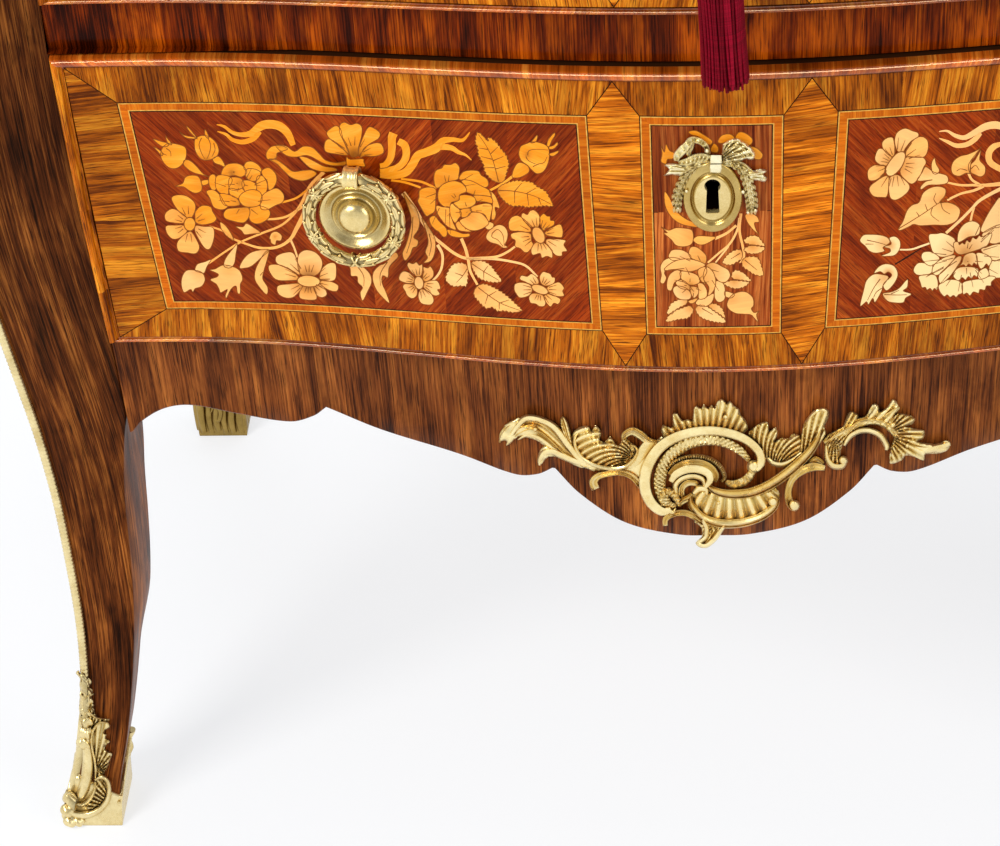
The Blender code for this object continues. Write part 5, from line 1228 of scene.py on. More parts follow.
def drawer(level):
    """One drawer's front: the curved board, its borders, panels and marquetry."""
    face = Face(level)
    border(face)
    for mirror in (False, True):
        d = Draw(face, mirror)
        left_outer(d)
        if not mirror:
            left_inner(d)
    centre_spray(Draw(face))
    right_seen(Draw(face))
    face.build.finish(f"drawer_{level}", slot="kingwood", angle=50)

    # the board behind the veneer, with its keyhole
    z_key = KEY_LOW_Z if level == "lower" else KEY_UPP_Z
    z0, z1 = face.z0 + face.edge, face.z1 - face.edge
    frame_in = [(-float(half_w(z0)) + face.edge, z0), (float(half_w(z0)) - face.edge, z0),
                (float(half_w(z1)) - face.edge, z1), (-float(half_w(z1)) + face.edge, z1)]
    board = Build(f"{level}_front_board")
    verts, faces = fill(frame_in, 0.008, [keyhole_outline(z_key, 0.0046)])
    n = len(verts)
    near = np.c_[verts[:, 0], face_y(verts[:, 0], verts[:, 1]), verts[:, 1]]
    far = near + (0, FRONT_T, 0)
    hole = [e for e in rim(faces) if np.linalg.norm(verts[e[0]] - (0, z_key - 0.007)) < 0.02]
    walls = [(a, a + n, b + n, b) for a, b in rim(faces) if (a, b) not in set(hole)]
    board.add(np.r_[near, far], [tuple(f) for f in faces] + [tuple(i + n for i in f[::-1]) for f in faces] + walls, CROSS,
              np.r_[verts, verts], (0.4, 0, 0.3))
    # painted shade: the keyhole's bore is lined in dark ebony so that the hole reads dark
    board.add(np.r_[near, far], [(a, a + n, b + n, b) for a, b in hole], EBONY, np.r_[verts, verts])
    board.finish(f"drawer_{level}", [f"{level}_drawer_front"], "kingwood")


def bead(level):
    """Half-round cross-grained strip round a drawer front, in leaves of different tone, with a painted highlight along
    its crest, painted shade on the lower strip, and a dark ebony strip standing for the shadow in the gap behind it.
    """
    z0, z1 = (LOW_Z0, LOW_Z1) if level == "lower" else (UPP_Z0, UPP_Z1)
    build = Build(f"{level}_bead")
    profile = [(0.0002, -0.010), (0.0002, -0.0002), (0.0006, 0.0012), (0.0013, 0.0022), (0.0022, 0.0027), (0.0030, 0.0028),
               (0.0038, 0.0025), (0.0045, 0.0017), (0.0050, 0.0007), (0.0053, -0.0001), (BEAD_W, -0.0002), (BEAD_W, -0.010)]
    # painted highlight: tone per profile point, lighter along the crest and darker towards both edges
    painted_crest_highlight = [-0.20, -0.06, 0.10, 0.24, 0.30, 0.22, 0.08, -0.06, -0.16, -0.22, -0.24, -0.24]
    # painted shadow: a dark ebony strip set deep in the gap between the drawer and the rail
    gap_shadow_strip = [(0.0, -0.010), (0.0, -0.0050), (0.0006, -0.0050), (0.0006, -0.010)]

    def at(u, w, ins, out):
        z = lerp(z0 + LOW_PART * ins, z1 - ins, w)
        x = u * (half_w(z) - ins)
        return np.stack([x, face_y(x, z) - out, z], axis=-1)

    for name, ends, count in (("low", ((-1, 0), (1, 0)), 150), ("right", ((1, 0), (1, 1)), 46), ("top", ((1, 1), (-1, 1)), 150), ("left", ((-1, 1), (-1, 0)), 46)):
        cut, k = [0], 0
        while cut[-1] < count:
            cut.append(min(count, cut[-1] + rng.randint(6, 17)))
        if count - cut[-2] < 4 and len(cut) > 2:
            cut.pop(-2)
        (u0, w0), (u1, w1) = ends
        for a, b in zip(cut, cut[1:]):
            t = np.linspace(a / count, b / count, b - a + 1)
            rings, uvs = [], []
            long = 0.67 if count > 100 else z1 - z0
            slim = 0.5 if name == "low" else 1.0
            for s in t:
                row = [at(lerp(u0, u1, s), lerp(w0, w1, s), i, o * (slim if o > 0 else 1)) for i, o in profile]
                rings.append(row)
                across = [0.9 * k2 / len(profile) * 0.014 for k2 in range(len(profile))]
                uvs.append([(q, s * long) if count > 100 else (s * long, q) for q in across])
            # painted shade: the lower strip, which faces down, is given a darker tone
            tone = rng.choice((0.26, 0.36, 0.44, 0.52, 0.60, 0.70)) - (0.24 if name == "low" else 0) if count > 100 else rng.uniform(0.58, 0.74)
            hue = rng.random()
            tones = [[(tone + (highlight if count > 100 else 0.4 * highlight), 0, hue) for highlight in painted_crest_highlight] for _ in t]
            build.grid(rings, BEADING if count > 100 else CROSS, uvs, tones, flip=False, closed=True, caps=True)
        rows = [[at(lerp(u0, u1, s), lerp(w0, w1, s), i, o) for i, o in gap_shadow_strip] for s in np.linspace(0, 1, count + 1)]
        build.grid(rows, EBONY, closed=True, caps=True)
    return build.finish(f"drawer_{level}", [f"{level}_drawer_bead"], "kingwood", angle=50)


beads = []
for level in ("lower", "upper"):
    drawer(level)
    beads.append(bead(level))


# ------------------------------------------------------------------- case woods
def leaves(n, low=0.30, high=0.62, count=8, seed=3):
    """Tones of side by side veneer leaves over n columns."""
    r = random.Random(seed)
    cut = sorted(r.uniform(0.03, 0.97) for _ in range(count - 1))
    tones = [r.uniform(low, high) for _ in range(count)]
    hues = [r.random() for _ in range(count)]
    where = [sum(c < (i + 0.5) / n for c in cut) for i in range(n)]
    return [tones[k] for k in where], [hues[k] for k in where]


def lock_front(z_key, z_top):
    """Front plane of a lock case, behind the curved drawer front."""
    reach = [(x, lerp(z_key - 0.015, z_top - 0.0015, t)) for x in (0, 0.030) for t in (0, 0.25, 0.5, 0.75, 1)]
    return max(float(face_y(x, z)) for x, z in reach) + FRONT_T + 0.0005


def rail(name, node, z0, z1, mat, seed, lock):
    """Curved rail, with a mortise in its underside for the lock's bolt."""
    build = Build(name)
    near, far = lock + 0.0014, lock + 0.0116
    side = 0.0136 / float(half_w(z0))
    columns = [(u, 0.00002) for u in np.linspace(-1, -side, 100)] + [(u, 0.0112) for u in np.linspace(0.00006 - side, side - 0.00006, 10)] + [(u, 0.00002) for u in np.linspace(side, 1, 100)]
    tones, hues = leaves(len(columns), 0.36, 0.62, 9, seed)
    rings, uvs, ts = [], [], []
    for i, (u, deep) in enumerate(columns):
        zs = np.linspace(z0, z1, 7)
        e = 0.0006
        front = [(u * (float(half_w(z)) + 0.0009), z) for z in zs]
        ring = [(x, float(case_y(x, z)) + (e if k in (0, len(zs) - 1) else 0), z) for k, (x, z) in enumerate(front)]
        x0 = front[0][0]
        ring += [(front[-1][0], RAIL_BACK_Y, z1), (x0, RAIL_BACK_Y, z0), (x0, far, z0), (x0, far, z0 + deep), (x0, near, z0 + deep), (x0, near, z0)]
        rings.append(ring)
        uvs.append([(z, u * 0.34) for _, _, z in ring])
        ts.append([(tones[i], 0, hues[i])] * len(ring))
    build.grid(rings, mat, uvs, ts, closed=True, caps=True, flip=True)
    return build.finish("carcase", [node], "rosewood", angle=35)


rail("middle_rail_veneer", "middle_rail", MID_Z0, MID_Z1, RAILWOOD, 5, lock_front(KEY_LOW_Z, LOW_Z1))
rail("top_rail_veneer", "top_rail", RAIL_Z0, RAIL_Z1, RAILWOOD, 8, lock_front(KEY_UPP_Z, UPP_Z1))


def apron():
    build = Build("apron_veneer")
    count = 420
    tones, hues = leaves(count + 1, 0.34, 0.60, 10, 21)
    rings, uvs, ts = [], [], []
    for i in range(count + 1):
        x = lerp(-1, 1, i / count) * 0.3370
        low = apron_low(x)
        zs = np.linspace(low, APRON_Z1, 10)
        zs[1] = low + 0.0012
        ring = [(x, float(case_y(x, z)) + (0.0009 if k == 0 else 0), z) for k, z in enumerate(zs)]
        ring += [(x, float(case_y(x, APRON_Z1)) + 0.022, APRON_Z1), (x, float(case_y(x, low)) + 0.022, low)]
        rings.append(ring)
        uvs.append([(z, x) for _, _, z in ring])
        ts.append([(tones[i], 0, hues[i])] * len(ring))
    build.grid(rings, REDWOOD, uvs, ts, closed=True, caps=True, flip=True)
    return build.finish("carcase", ["front_apron"], "rosewood", angle=35)


apron()


def rounded(corners, r, n=3):
    """A polygon with each corner rounded by n + 1 points."""
    out = []
    for k, p in enumerate(corners):
        p, a, b = np.array(p), np.array(corners[k - 1]), np.array(corners[(k + 1) % len(corners)])
        ua, ub = (a - p) / np.linalg.norm(a - p), (b - p) / np.linalg.norm(b - p)
        for i in range(n + 1):
            t = i / n
            out.append((1 - t) ** 2 * (p + ua * r) + 2 * t * (1 - t) * p + t * t * (p + ub * r))
    return out


def post(name, node, section, r):
    build = Build(name)
    zs = np.r_[np.linspace(LEG_END_Z, 0.30, 70), np.linspace(0.304, 0.36, 24), np.linspace(0.37, 0.7995, 60)]
    rings, uvs, ts = [], [], []
    hue = rng.random()
    for z in zs:
        corners = section(z)
        ring = []
        for k in range(4):
            ring.append(corners[k])
        row = rounded([c[:2] for c in ring], r)
        run = np.r_[0, np.cumsum([np.linalg.norm(b - a) for a, b in zip(row, row[1:])])]
        rings.append([(x, y, z) for x, y in row])
        uvs.append([(z, s) for s in run])
        ts.append([(lerp(0.72, 0.34, float(smooth(min(max((z - 0.12) / 0.34, 0), 1)))), 0, hue)] * len(row))
    build.grid(rings, ROSEWOOD, uvs, ts, closed=True, caps=True, flip=node.endswith("right_post") != node.startswith("rear"))
    return build.finish("carcase", [node], "rosewood", angle=35)


def front_section(side):
    def at(z):
        out, inn, y, deep, toe = leg_out(z), leg_in(z), leg_front(z), leg_deep(z), leg_toe_in(z)
        return [(side * out, y), (side * inn, y), (side * (inn - toe), y + deep), (side * out, y + deep)]
    return at


def rear_section(side):
    def at(z):
        out, inn, deep = spline1(REAR_OUT, z), spline1(REAR_IN, z), spline1(REAR_DEEP, z)
        return [(side * out, BACK_Y), (side * inn, BACK_Y), (side * inn, BACK_Y - deep), (side * out, BACK_Y - deep)]
    return at


for side, word in ((-1, "left"), (1, "right")):
    post(f"front_{word}_leg", f"front_{word}_post", front_section(side), 0.0012)
    post(f"rear_{word}_leg", f"rear_{word}_post", rear_section(side), 0.0015)

# ------------------------------------------------------------------ gilt mounts
ROUND = [(-1, 0), (-0.93, 0.42), (-0.75, 0.70), (-0.45, 0.92), (0, 1), (0.45, 0.92), (0.75, 0.70), (0.93, 0.42), (1, 0)]
FLAT = [(-1, 0), (-0.97, 0.62), (-0.86, 0.93), (-0.5, 1), (0, 0.99), (0.5, 1), (0.86, 0.93), (0.97, 0.62), (1, 0)]
RIMMED = [(-1, 0), (-0.95, 0.72), (-0.82, 1), (-0.64, 0.86), (-0.35, 0.58), (0, 0.50), (0.35, 0.58), (0.64, 0.86), (0.82, 1), (0.95, 0.72), (1, 0)]
RIDGE = [(-1, 0), (-0.92, 0.50), (-0.78, 0.66), (-0.50, 0.60), (-0.14, 0.92), (0, 1), (0.14, 0.92), (0.50, 0.60), (0.78, 0.66), (0.92, 0.50), (1, 0)]
BEVEL = [(-1, 0), (-0.95, 0.80), (-0.84, 0.92), (-0.70, 0.70), (0.05, 1.0), (0.60, 0.62), (0.82, 0.80), (0.94, 0.64), (1, 0)]


class Relief:
    """Cast ornament drawn on a sheet that is laid over the frame, raised from a surface y = surface(x, z)."""

    def __init__(self, build, surface, mat, sheet, flip=False, move=(0.0, 0.0)):
        self.build, self.surface, self.mat, self.sheet = build, surface, mat, sheet
        self.flip, self.move = flip, move

    def emit(self, p, h):
        x, z = p[:, 0] + self.move[0], p[:, 2] + self.move[1]
        y = self.surface(x, z) - h
        return np.c_[-x if self.flip else x, y, z]

    def to3(self, pts, h):
        x0, y0, s = self.sheet
        px = np.asarray(pts, float) * s + (x0, y0)
        h = np.broadcast_to(h, len(px))
        return self.emit(meet(px, lambda x, z: self.surface(x, z) - h), h)

    def band(self, points, widths, crest, profile=ROUND, floor=-0.0008, per=6, ripple=None, base=0.0):
        """A strip along points: widths on the sheet, crest its height, ripple (waves, depth, slant) across it."""
        p = curve(points, per)
        n = len(p)
        d = np.gradient(p, axis=0)
        d /= np.linalg.norm(d, axis=1)[:, None] + 1e-12
        side = np.c_[-d[:, 1], d[:, 0]]
        w, c = along(widths, n), along(crest, n)
        cols = []
        run = np.linspace(0, 1, n)
        for a, e in profile:
            h = base + (c - base) * e
            if ripple:
                h = h - c * ripple[1] * (0.5 - 0.5 * np.cos(2 * np.pi * (ripple[0] * run + (ripple[2] if len(ripple) > 2 else 0) * a))) * (e > 0.05)
            cols.append(self.to3(p + side * (a * w / 2)[:, None], h))
        low = np.full(n, floor)
        cols.append(self.to3(p + side * (w / 2)[:, None], low))
        cols.append(self.to3(p - side * (w / 2)[:, None], low))
        shade = [0.42 * max(0.0, 1 - e / 0.8) for _, e in profile] + [0.5, 0.5]
        self.build.grid(np.stack(cols, axis=1), self.mat, tone=np.tile([(0.5, g, 0.5) for g in shade], (n, 1, 1)), closed=True, caps=True)

    def knob(self, at, r, crest, squash=1.0, floor=-0.0008):
        cols = []
        angles = np.linspace(0, 2 * np.pi, 21)[:-1]
        rings = [(1.0, None), (1.0, 0.25), (0.93, 0.55), (0.76, 0.80), (0.50, 0.95), (0.22, 1.0)]
        for f, e in rings:
            pts = np.c_[at[0] + r * f * np.cos(angles), at[1] + r * f * squash * np.sin(angles)]
            cols.append(self.to3(pts, np.full(len(pts), floor if e is None else crest * e)))
        self.build.grid(np.stack(cols, axis=0), self.mat, closed=True, caps=True)

    def fan(self, outline, root, ribs, crest, depth=0.4, edge=16.0, cell=6.0, per=3, floor=-0.0008, swirl=0.0):
        """A cast leaf: a plate inside an outline, fluted in rays from root that swirl turns, thin at its edge."""
        outer = curve(outline, per, True) if per > 1 else np.asarray(outline, float)
        verts, faces = fill(outer, cell)
        loop = resample(outer, cell / 2)
        far = np.array([np.sqrt(np.min(np.sum((loop - v) ** 2, axis=1))) for v in verts])
        d = verts - np.asarray(root, float)
        angle = np.arctan2(d[:, 1], d[:, 0]) + swirl * np.linalg.norm(d, axis=1)
        rise = np.sqrt(np.clip(1 - (1 - np.minimum(far / edge, 1)) ** 2, 0, 1))
        h = crest * (0.42 + 0.58 * rise)
        # painted shade: darker near the thin edge and down the flutes
        dark = 0.30 * (1 - rise)
        if ribs:
            flute = np.abs(np.cos(ribs * angle / 2)) ** 3
            h = h * (1 - depth * flute)
            dark = np.maximum(dark, 0.32 * flute ** 2 * min(1.0, depth / 0.4))
        ring = sorted({i for e in rim(faces) for i in e})
        at = {i: k + len(verts) for k, i in enumerate(ring)}
        low = self.to3(verts[ring], np.full(len(ring), floor))
        skirt = [(a, at[a], at[b], b) for a, b in rim(faces)]
        tone = np.full((len(verts) + len(ring), 3), 0.5)
        tone[: len(verts), 1] = dark
        self.build.add(np.r_[self.to3(verts, h), low], [tuple(f) for f in faces] + skirt, self.mat, tone=tone)

    def lobes(self, items, width, crest, profile=RIDGE, tip=0.12):
        for points in items:
            self.band(points, [width * 0.45, width * 0.85, width, width * 0.8, width * tip], [crest * 0.8, crest, crest * 1.05, crest * 0.85, crest * 0.35], profile, per=5)


def apron_mount():
    build = Build("apron_cartouche")
    a = Relief(build, case_y, GILT, (490, 392, 0.15308))
    b = Relief(build, case_y, GILT, (640, 392, 0.20403))
    # left arm: long flutes ending in a leaf tip, a curl below and a small upright leaf
    a.band([(62, 330), (80, 275), (118, 228), (150, 205)], [8, 36, 40, 26], [0.0016, 0.003, 0.0032, 0.003], RIDGE)
    a.band([(108, 350), (140, 280), (185, 215), (240, 172), (330, 184), (420, 232), (500, 335), (590, 440), (690, 505)],
           [8, 34, 46, 50, 52, 54, 58, 60, 36], [0.0016, 0.0034, 0.0048, 0.0056, 0.0056, 0.0054, 0.0050, 0.0044, 0.003], ROUND)
    a.band([(150, 300), (200, 252), (270, 228), (340, 250), (420, 318), (500, 400), (600, 462)],
           [8, 34, 42, 44, 42, 38, 24], [0.002, 0.0036, 0.0044, 0.0046, 0.0046, 0.0042, 0.003], RIMMED)
    a.band([(182, 312), (240, 282), (310, 296), (380, 345), (450, 405), (560, 455)], [6, 30, 34, 36, 36, 22],
           [0.0016, 0.003, 0.0038, 0.0042, 0.004, 0.003], ROUND)
    a.band([(472, 172), (486, 230), (508, 300), (548, 372)], [22, 44, 46, 26], [0.004, 0.0046, 0.0044, 0.003], RIDGE)
    a.band([(322, 480), (328, 436), (356, 396), (410, 388), (480, 418), (560, 452), (660, 486)], [14, 40, 50, 52, 52, 50, 30],
           [0.002, 0.0044, 0.0052, 0.005, 0.0048, 0.0044, 0.003], ROUND)
    a.band([(352, 392), (392, 362), (440, 386), (520, 430)], [8, 26, 30, 18], [0.002, 0.0036, 0.004, 0.003], ROUND)
    # rocaille leaf: flutes inside a rolled rim
    c = Relief(build, case_y, GILT, (480, 380, 0.30612))
    c.fan([(62, 197), (78, 152), (113, 128), (165, 119), (215, 132), (262, 158), (292, 200), (312, 235), (344, 276), (330, 287), (280, 264), (235, 238), (195, 204), (160, 190), (124, 186), (94, 212), (84, 198)],
          (430, 350), 50, 0.0032, 0.35, 14, 4)
    c.fan([(262, 130), (274, 119), (291, 150), (302, 195), (314, 243), (285, 218), (268, 170)], (310, 260), 40, 0.0044, 0.4, 8, 3)
    c.fan([(190, 262), (194, 232), (212, 214), (240, 212), (290, 236), (350, 264), (420, 290), (400, 298), (330, 284), (270, 258), (225, 250), (200, 276)], (440, 310), 60, 0.0040, 0.35, 12, 4)
    c.fan([(300, 215), (303, 175), (322, 155), (352, 149), (364, 166), (378, 147), (397, 172), (391, 195), (408, 202), (425, 184), (441, 205), (455, 212), (470, 189), (492, 203), (517, 225), (514, 262), (490, 287), (460, 295), (420, 295),
           (370, 287), (330, 270), (306, 247)], (505, 268), 34, 0.0044, 0.5, 14, 3.4, swirl=0.006)
    c.fan([(400, 302), (440, 286), (500, 278), (536, 236), (566, 206), (596, 186), (566, 240), (540, 300), (532, 356), (510, 334), (470, 308), (430, 302)], (560, 260), 0, 0.0036, 0, 22, 6)
    a.band([(600, 238), (556, 292), (560, 362), (600, 426), (664, 470), (740, 494), (812, 500), (884, 486), (938, 442), (962, 392), (944, 356), (904, 346)],
           [10, 24, 28, 30, 34, 38, 38, 34, 28, 24, 20, 12], [0.003, 0.005, 0.0056, 0.006, 0.0064, 0.0066, 0.0066, 0.0064, 0.006, 0.0056, 0.005, 0.003], ROUND)
    a.band([(872, 322), (880, 282), (930, 256), (984, 282), (1030, 318), (1090, 330)], [16, 46, 58, 60, 54, 30], [0.003, 0.005, 0.006, 0.0056, 0.0048, 0.003], RIDGE)
    a.band([(880, 498), (948, 462), (990, 408), (1030, 356), (1068, 330)], [40, 70, 84, 84, 50], [0.003, 0.0034, 0.0036, 0.0036, 0.003], FLAT)
    a.band([(692, 634), (676, 590), (704, 552), (768, 534), (846, 526), (918, 546), (972, 596), (1018, 664)], [56, 60, 46, 40, 40, 44, 46, 30],
           [0.0052, 0.0056, 0.005, 0.0046, 0.0044, 0.0044, 0.0044, 0.003], RIMMED)
    # shell crest above the scroll
    c.fan([(592, 172), (597, 146), (612, 152), (630, 152), (628, 112), (645, 109), (660, 131), (680, 127), (694, 132), (697, 94), (708, 84), (722, 93), (731, 79), (745, 93), (756, 81), (766, 90), (776, 69), (791, 61), (805, 76),
           (817, 68), (832, 86), (846, 94), (852, 115), (864, 125), (876, 160), (840, 182), (760, 172), (680, 178), (616, 196)], (742, 330), 62, 0.0046, 0.45, 12, 3.4, per=2)
    b.knob((420, 124), 15, 0.0062)
    # right rocaille leaf
    c.fan([(876, 176), (900, 150), (926, 137), (941, 140), (946, 166), (966, 154), (972, 180), (960, 202), (985, 189), (1008, 190), (1022, 176), (1044, 180), (1052, 200), (1047, 237), (1020, 262), (985, 278), (945, 266), (922, 244), (910, 212)],
          (965, 320), 46, 0.0044, 0.5, 12, 3.4, swirl=-0.004)
    b.band([(628, 322), (652, 346), (694, 354), (738, 338), (790, 298)], [20, 30, 32, 30, 16], [0.004, 0.0054, 0.0058, 0.0056, 0.004], ROUND)
    # fluted band lying inside the scroll, and the scroll itself
    b.band([(536, 336), (486, 284), (410, 246), (326, 236), (244, 250), (172, 292), (122, 352), (98, 420), (102, 486), (134, 548), (178, 560)],
           [24, 44, 50, 52, 58, 64, 66, 64, 60, 50, 24], [0.0034, 0.0044, 0.0048, 0.0050, 0.0050, 0.0050, 0.0050, 0.0050, 0.0048, 0.0044, 0.003],
           FLAT, per=16, ripple=(34, 0.34, 0.9))
    b.band([(556, 372), (540, 408), (508, 438), (460, 452), (420, 440)], [30, 42, 46, 42, 22], [0.004, 0.0048, 0.005, 0.0048, 0.003], FLAT, per=8, ripple=(9, 0.25, 0.5))
    b.band([(566, 380), (592, 346), (588, 304), (552, 258), (496, 222), (420, 198), (334, 190), (248, 200), (168, 226), (100, 270), (50, 338), (24, 416), (28, 488), (58, 548),
            (108, 586), (152, 578)],
           [36, 44, 42, 42, 44, 46, 48, 50, 52, 54, 56, 58, 58, 52, 44, 26], [0.0078, 0.0082, 0.0080, 0.0078, 0.0078, 0.0078, 0.0078, 0.0078, 0.0078, 0.0080, 0.0080, 0.0080, 0.0078,
                                                                             0.0076, 0.007, 0.005], FLAT, per=7)
    b.knob((556, 366), 33, 0.0094)
    # crusted shell at the scroll's foot
    b.band([(108, 560), (104, 520), (126, 490), (160, 496), (184, 530), (196, 560)], [22, 44, 48, 46, 40, 22], [0.004, 0.006, 0.007, 0.007, 0.006, 0.004], ROUND, per=10, ripple=(9, 0.30, 0.4))
    b.band([(96, 590), (132, 576), (160, 590), (176, 570)], [20, 34, 30, 16], [0.004, 0.006, 0.006, 0.004], ROUND)
    # inner whorl: beaded collar, two smooth bands and the cup
    b.band([(132, 380), (168, 344), (226, 322), (292, 318), (352, 334), (396, 370), (414, 414), (398, 440)], [16, 24, 26, 28, 28, 26, 24, 14],
           [0.0066, 0.0082, 0.0088, 0.009, 0.009, 0.0086, 0.008, 0.006], ROUND, per=18, ripple=(38, 0.26))
    b.band([(142, 404), (180, 368), (236, 348), (298, 348), (346, 370), (372, 408), (366, 440)], [20, 34, 38, 38, 36, 32, 20],
           [0.006, 0.0076, 0.0082, 0.0082, 0.0080, 0.0074, 0.006], RIMMED)
    b.band([(150, 440), (176, 404), (226, 380), (284, 378), (332, 398), (344, 432), (318, 468)], [26, 40, 42, 42, 40, 36, 18],
           [0.006, 0.0076, 0.0084, 0.0086, 0.0084, 0.0076, 0.006], FLAT)
    b.band([(176, 500), (174, 456), (204, 424), (256, 410), (304, 424), (318, 456), (296, 486)], [26, 32, 32, 32, 30, 26, 14],
           [0.005, 0.0058, 0.006, 0.006, 0.006, 0.0056, 0.004], ROUND)
    b.band([(206, 520), (204, 476), (232, 446), (272, 448), (286, 474)], [30, 34, 34, 30, 16], [0.0028, 0.0032, 0.0034, 0.0034, 0.003], RIDGE)
    b.band([(262, 500), (292, 474), (322, 480), (326, 504)], [24, 40, 36, 18], [0.004, 0.0056, 0.0058, 0.004], ROUND)
    b.band([(186, 556), (206, 536), (236, 520), (256, 500)], [24, 34, 34, 22], [0.004, 0.0046, 0.0048, 0.004], RIDGE)
    # main S-shaped band, and the fluted shell under it
    c.fan([(690, 385), (715, 362), (760, 366), (820, 384), (880, 380), (930, 366), (968, 352), (980, 385), (962, 424), (915, 455), (860, 470), (800, 470), (750, 455), (712, 428)], (815, 230), 34, 0.0048, 0.6, 14, 3.6)
    b.band([(248, 512), (252, 552), (290, 602), (344, 632), (416, 646), (504, 640), (584, 616), (642, 578), (668, 540), (664, 520)],
           [18, 36, 42, 44, 46, 46, 44, 42, 36, 18], [0.004, 0.0056, 0.0060, 0.0062, 0.0062, 0.0062, 0.0062, 0.006, 0.0056, 0.004], BEVEL)
    b.knob((652, 538), 25, 0.0070)
    b.knob((384, 545), 12, 0.0056)
    b.band([(330, 458), (362, 482), (412, 498), (480, 502), (556, 490), (634, 456), (712, 404), (780, 346), (836, 286), (874, 222), (888, 172)],
           [18, 38, 46, 50, 52, 52, 52, 50, 44, 34, 16], [0.005, 0.007, 0.0078, 0.0080, 0.0080, 0.0080, 0.0078, 0.0074, 0.007, 0.006, 0.004], BEVEL)
    c.fan([(1046, 200), (1058, 142), (1085, 107), (1115, 91), (1137, 97), (1139, 122), (1126, 152), (1131, 176), (1114, 204), (1090, 234), (1060, 260), (1040, 240)], (1045, 330), 60, 0.0050, 0.45, 12, 3.4)
    b.band([(812, 176), (836, 122), (872, 92), (910, 92), (914, 120)], [12, 20, 24, 24, 14], [0.004, 0.0056, 0.006, 0.0058, 0.004], ROUND)
    b.band([(756, 568), (734, 540), (726, 492), (744, 432), (786, 390), (846, 366), (906, 372)], [44, 42, 34, 34, 42, 46, 26], [0.006, 0.0058, 0.0052, 0.0048, 0.0046, 0.0046, 0.003], RIMMED)
    b.knob((756, 556), 29, 0.0070)
    b.band([(820, 360), (862, 330), (900, 350)], [20, 34, 16], [0.003, 0.004, 0.003], RIDGE)
    # right arm: leaf with serrated lobes, hook and curl below
    c.fan([(1126, 190), (1160, 166), (1182, 158), (1203, 108), (1219, 104), (1234, 113), (1240, 132), (1262, 115), (1284, 79), (1301, 82), (1306, 102), (1330, 88), (1346, 64), (1359, 68), (1369, 92), (1352, 122), (1370, 160), (1350, 178),
           (1318, 156), (1290, 146), (1258, 150), (1222, 166), (1196, 192), (1180, 226), (1174, 262), (1150, 262), (1134, 226)], (1100, 260), 64, 0.0046, 0.4, 12, 3.6, swirl=0.001)
    c.fan([(1326, 128), (1360, 112), (1392, 111), (1421, 125), (1414, 143), (1392, 152), (1422, 159), (1452, 165), (1449, 190), (1430, 202), (1465, 206), (1496, 208), (1520, 197), (1537, 204), (1527, 230), (1490, 242), (1456, 240), (1450, 263),
           (1420, 252), (1391, 247), (1376, 264), (1340, 274), (1338, 247), (1344, 212), (1352, 190), (1340, 160)], (1322, 176), 34, 0.0048, 0.45, 12, 3.6)
    b.band([(1330, 270), (1400, 282), (1470, 270), (1518, 252)], [24, 44, 44, 26], [0.003, 0.005, 0.0056, 0.004], ROUND)
    b.band([(1200, 110), (1240, 92), (1268, 70)], [30, 40, 22], [0.004, 0.005, 0.004], RIDGE)
    b.band([(904, 250), (952, 218), (1004, 190), (1070, 152), (1140, 138), (1206, 154), (1250, 196), (1282, 244)], [30, 44, 48, 46, 42, 40, 44, 30],
           [0.004, 0.0054, 0.0056, 0.0056, 0.0056, 0.0054, 0.005, 0.004], RIDGE)
    b.band([(1000, 262), (1030, 216), (1078, 190), (1130, 190), (1178, 214), (1208, 262), (1204, 284)], [16, 28, 30, 30, 32, 32, 20], [0.004, 0.0056, 0.006, 0.006, 0.0062, 0.0062, 0.005], ROUND)
    c.fan([(1128, 205), (1150, 186), (1176, 196), (1178, 230), (1176, 262), (1190, 284), (1166, 290), (1142, 266)], (1160, 170), 40, 0.0048, 0.4, 10, 3.4)
    c.fan([(700, 462), (722, 482), (724, 512), (704, 532), (720, 548), (746, 546), (772, 520), (797, 482), (804, 468), (760, 468)], (790, 450), 40, 0.0034, 0.4, 10, 3.4)
    b.band([(914, 262), (918, 320), (944, 358), (986, 362), (1008, 338)], [18, 30, 36, 36, 24], [0.004, 0.0058, 0.0064, 0.0064, 0.005], ROUND)
    b.knob((996, 336), 24, 0.0070)
    b.knob((1310, 262), 13, 0.0066)
    a.knob((295, 246), 17, 0.0070)
    # small scroll and drop at the foot
    b.band([(124, 656), (126, 622), (164, 598), (218, 592), (270, 612), (310, 644)], [24, 30, 30, 32, 34, 26], [0.0044, 0.005, 0.005, 0.005, 0.005, 0.004], RIMMED)
    b.band([(366, 640), (352, 690), (318, 742)], [70, 66, 26], [0.0034, 0.0034, 0.003], RIMMED)
    b.band([(306, 626), (326, 664), (324, 706), (298, 730), (282, 738)], [26, 30, 28, 28, 18], [0.0048, 0.0056, 0.0056, 0.0054, 0.004], ROUND)
    b.band([(420, 650), (392, 682), (362, 722), (322, 752), (288, 744)], [18, 26, 28, 28, 18], [0.004, 0.005, 0.0054, 0.0056, 0.004], ROUND)
    return build.finish("carcase", ["apron_mount"], "gilt_brass", angle=60, tidy=True)


apron_mount()


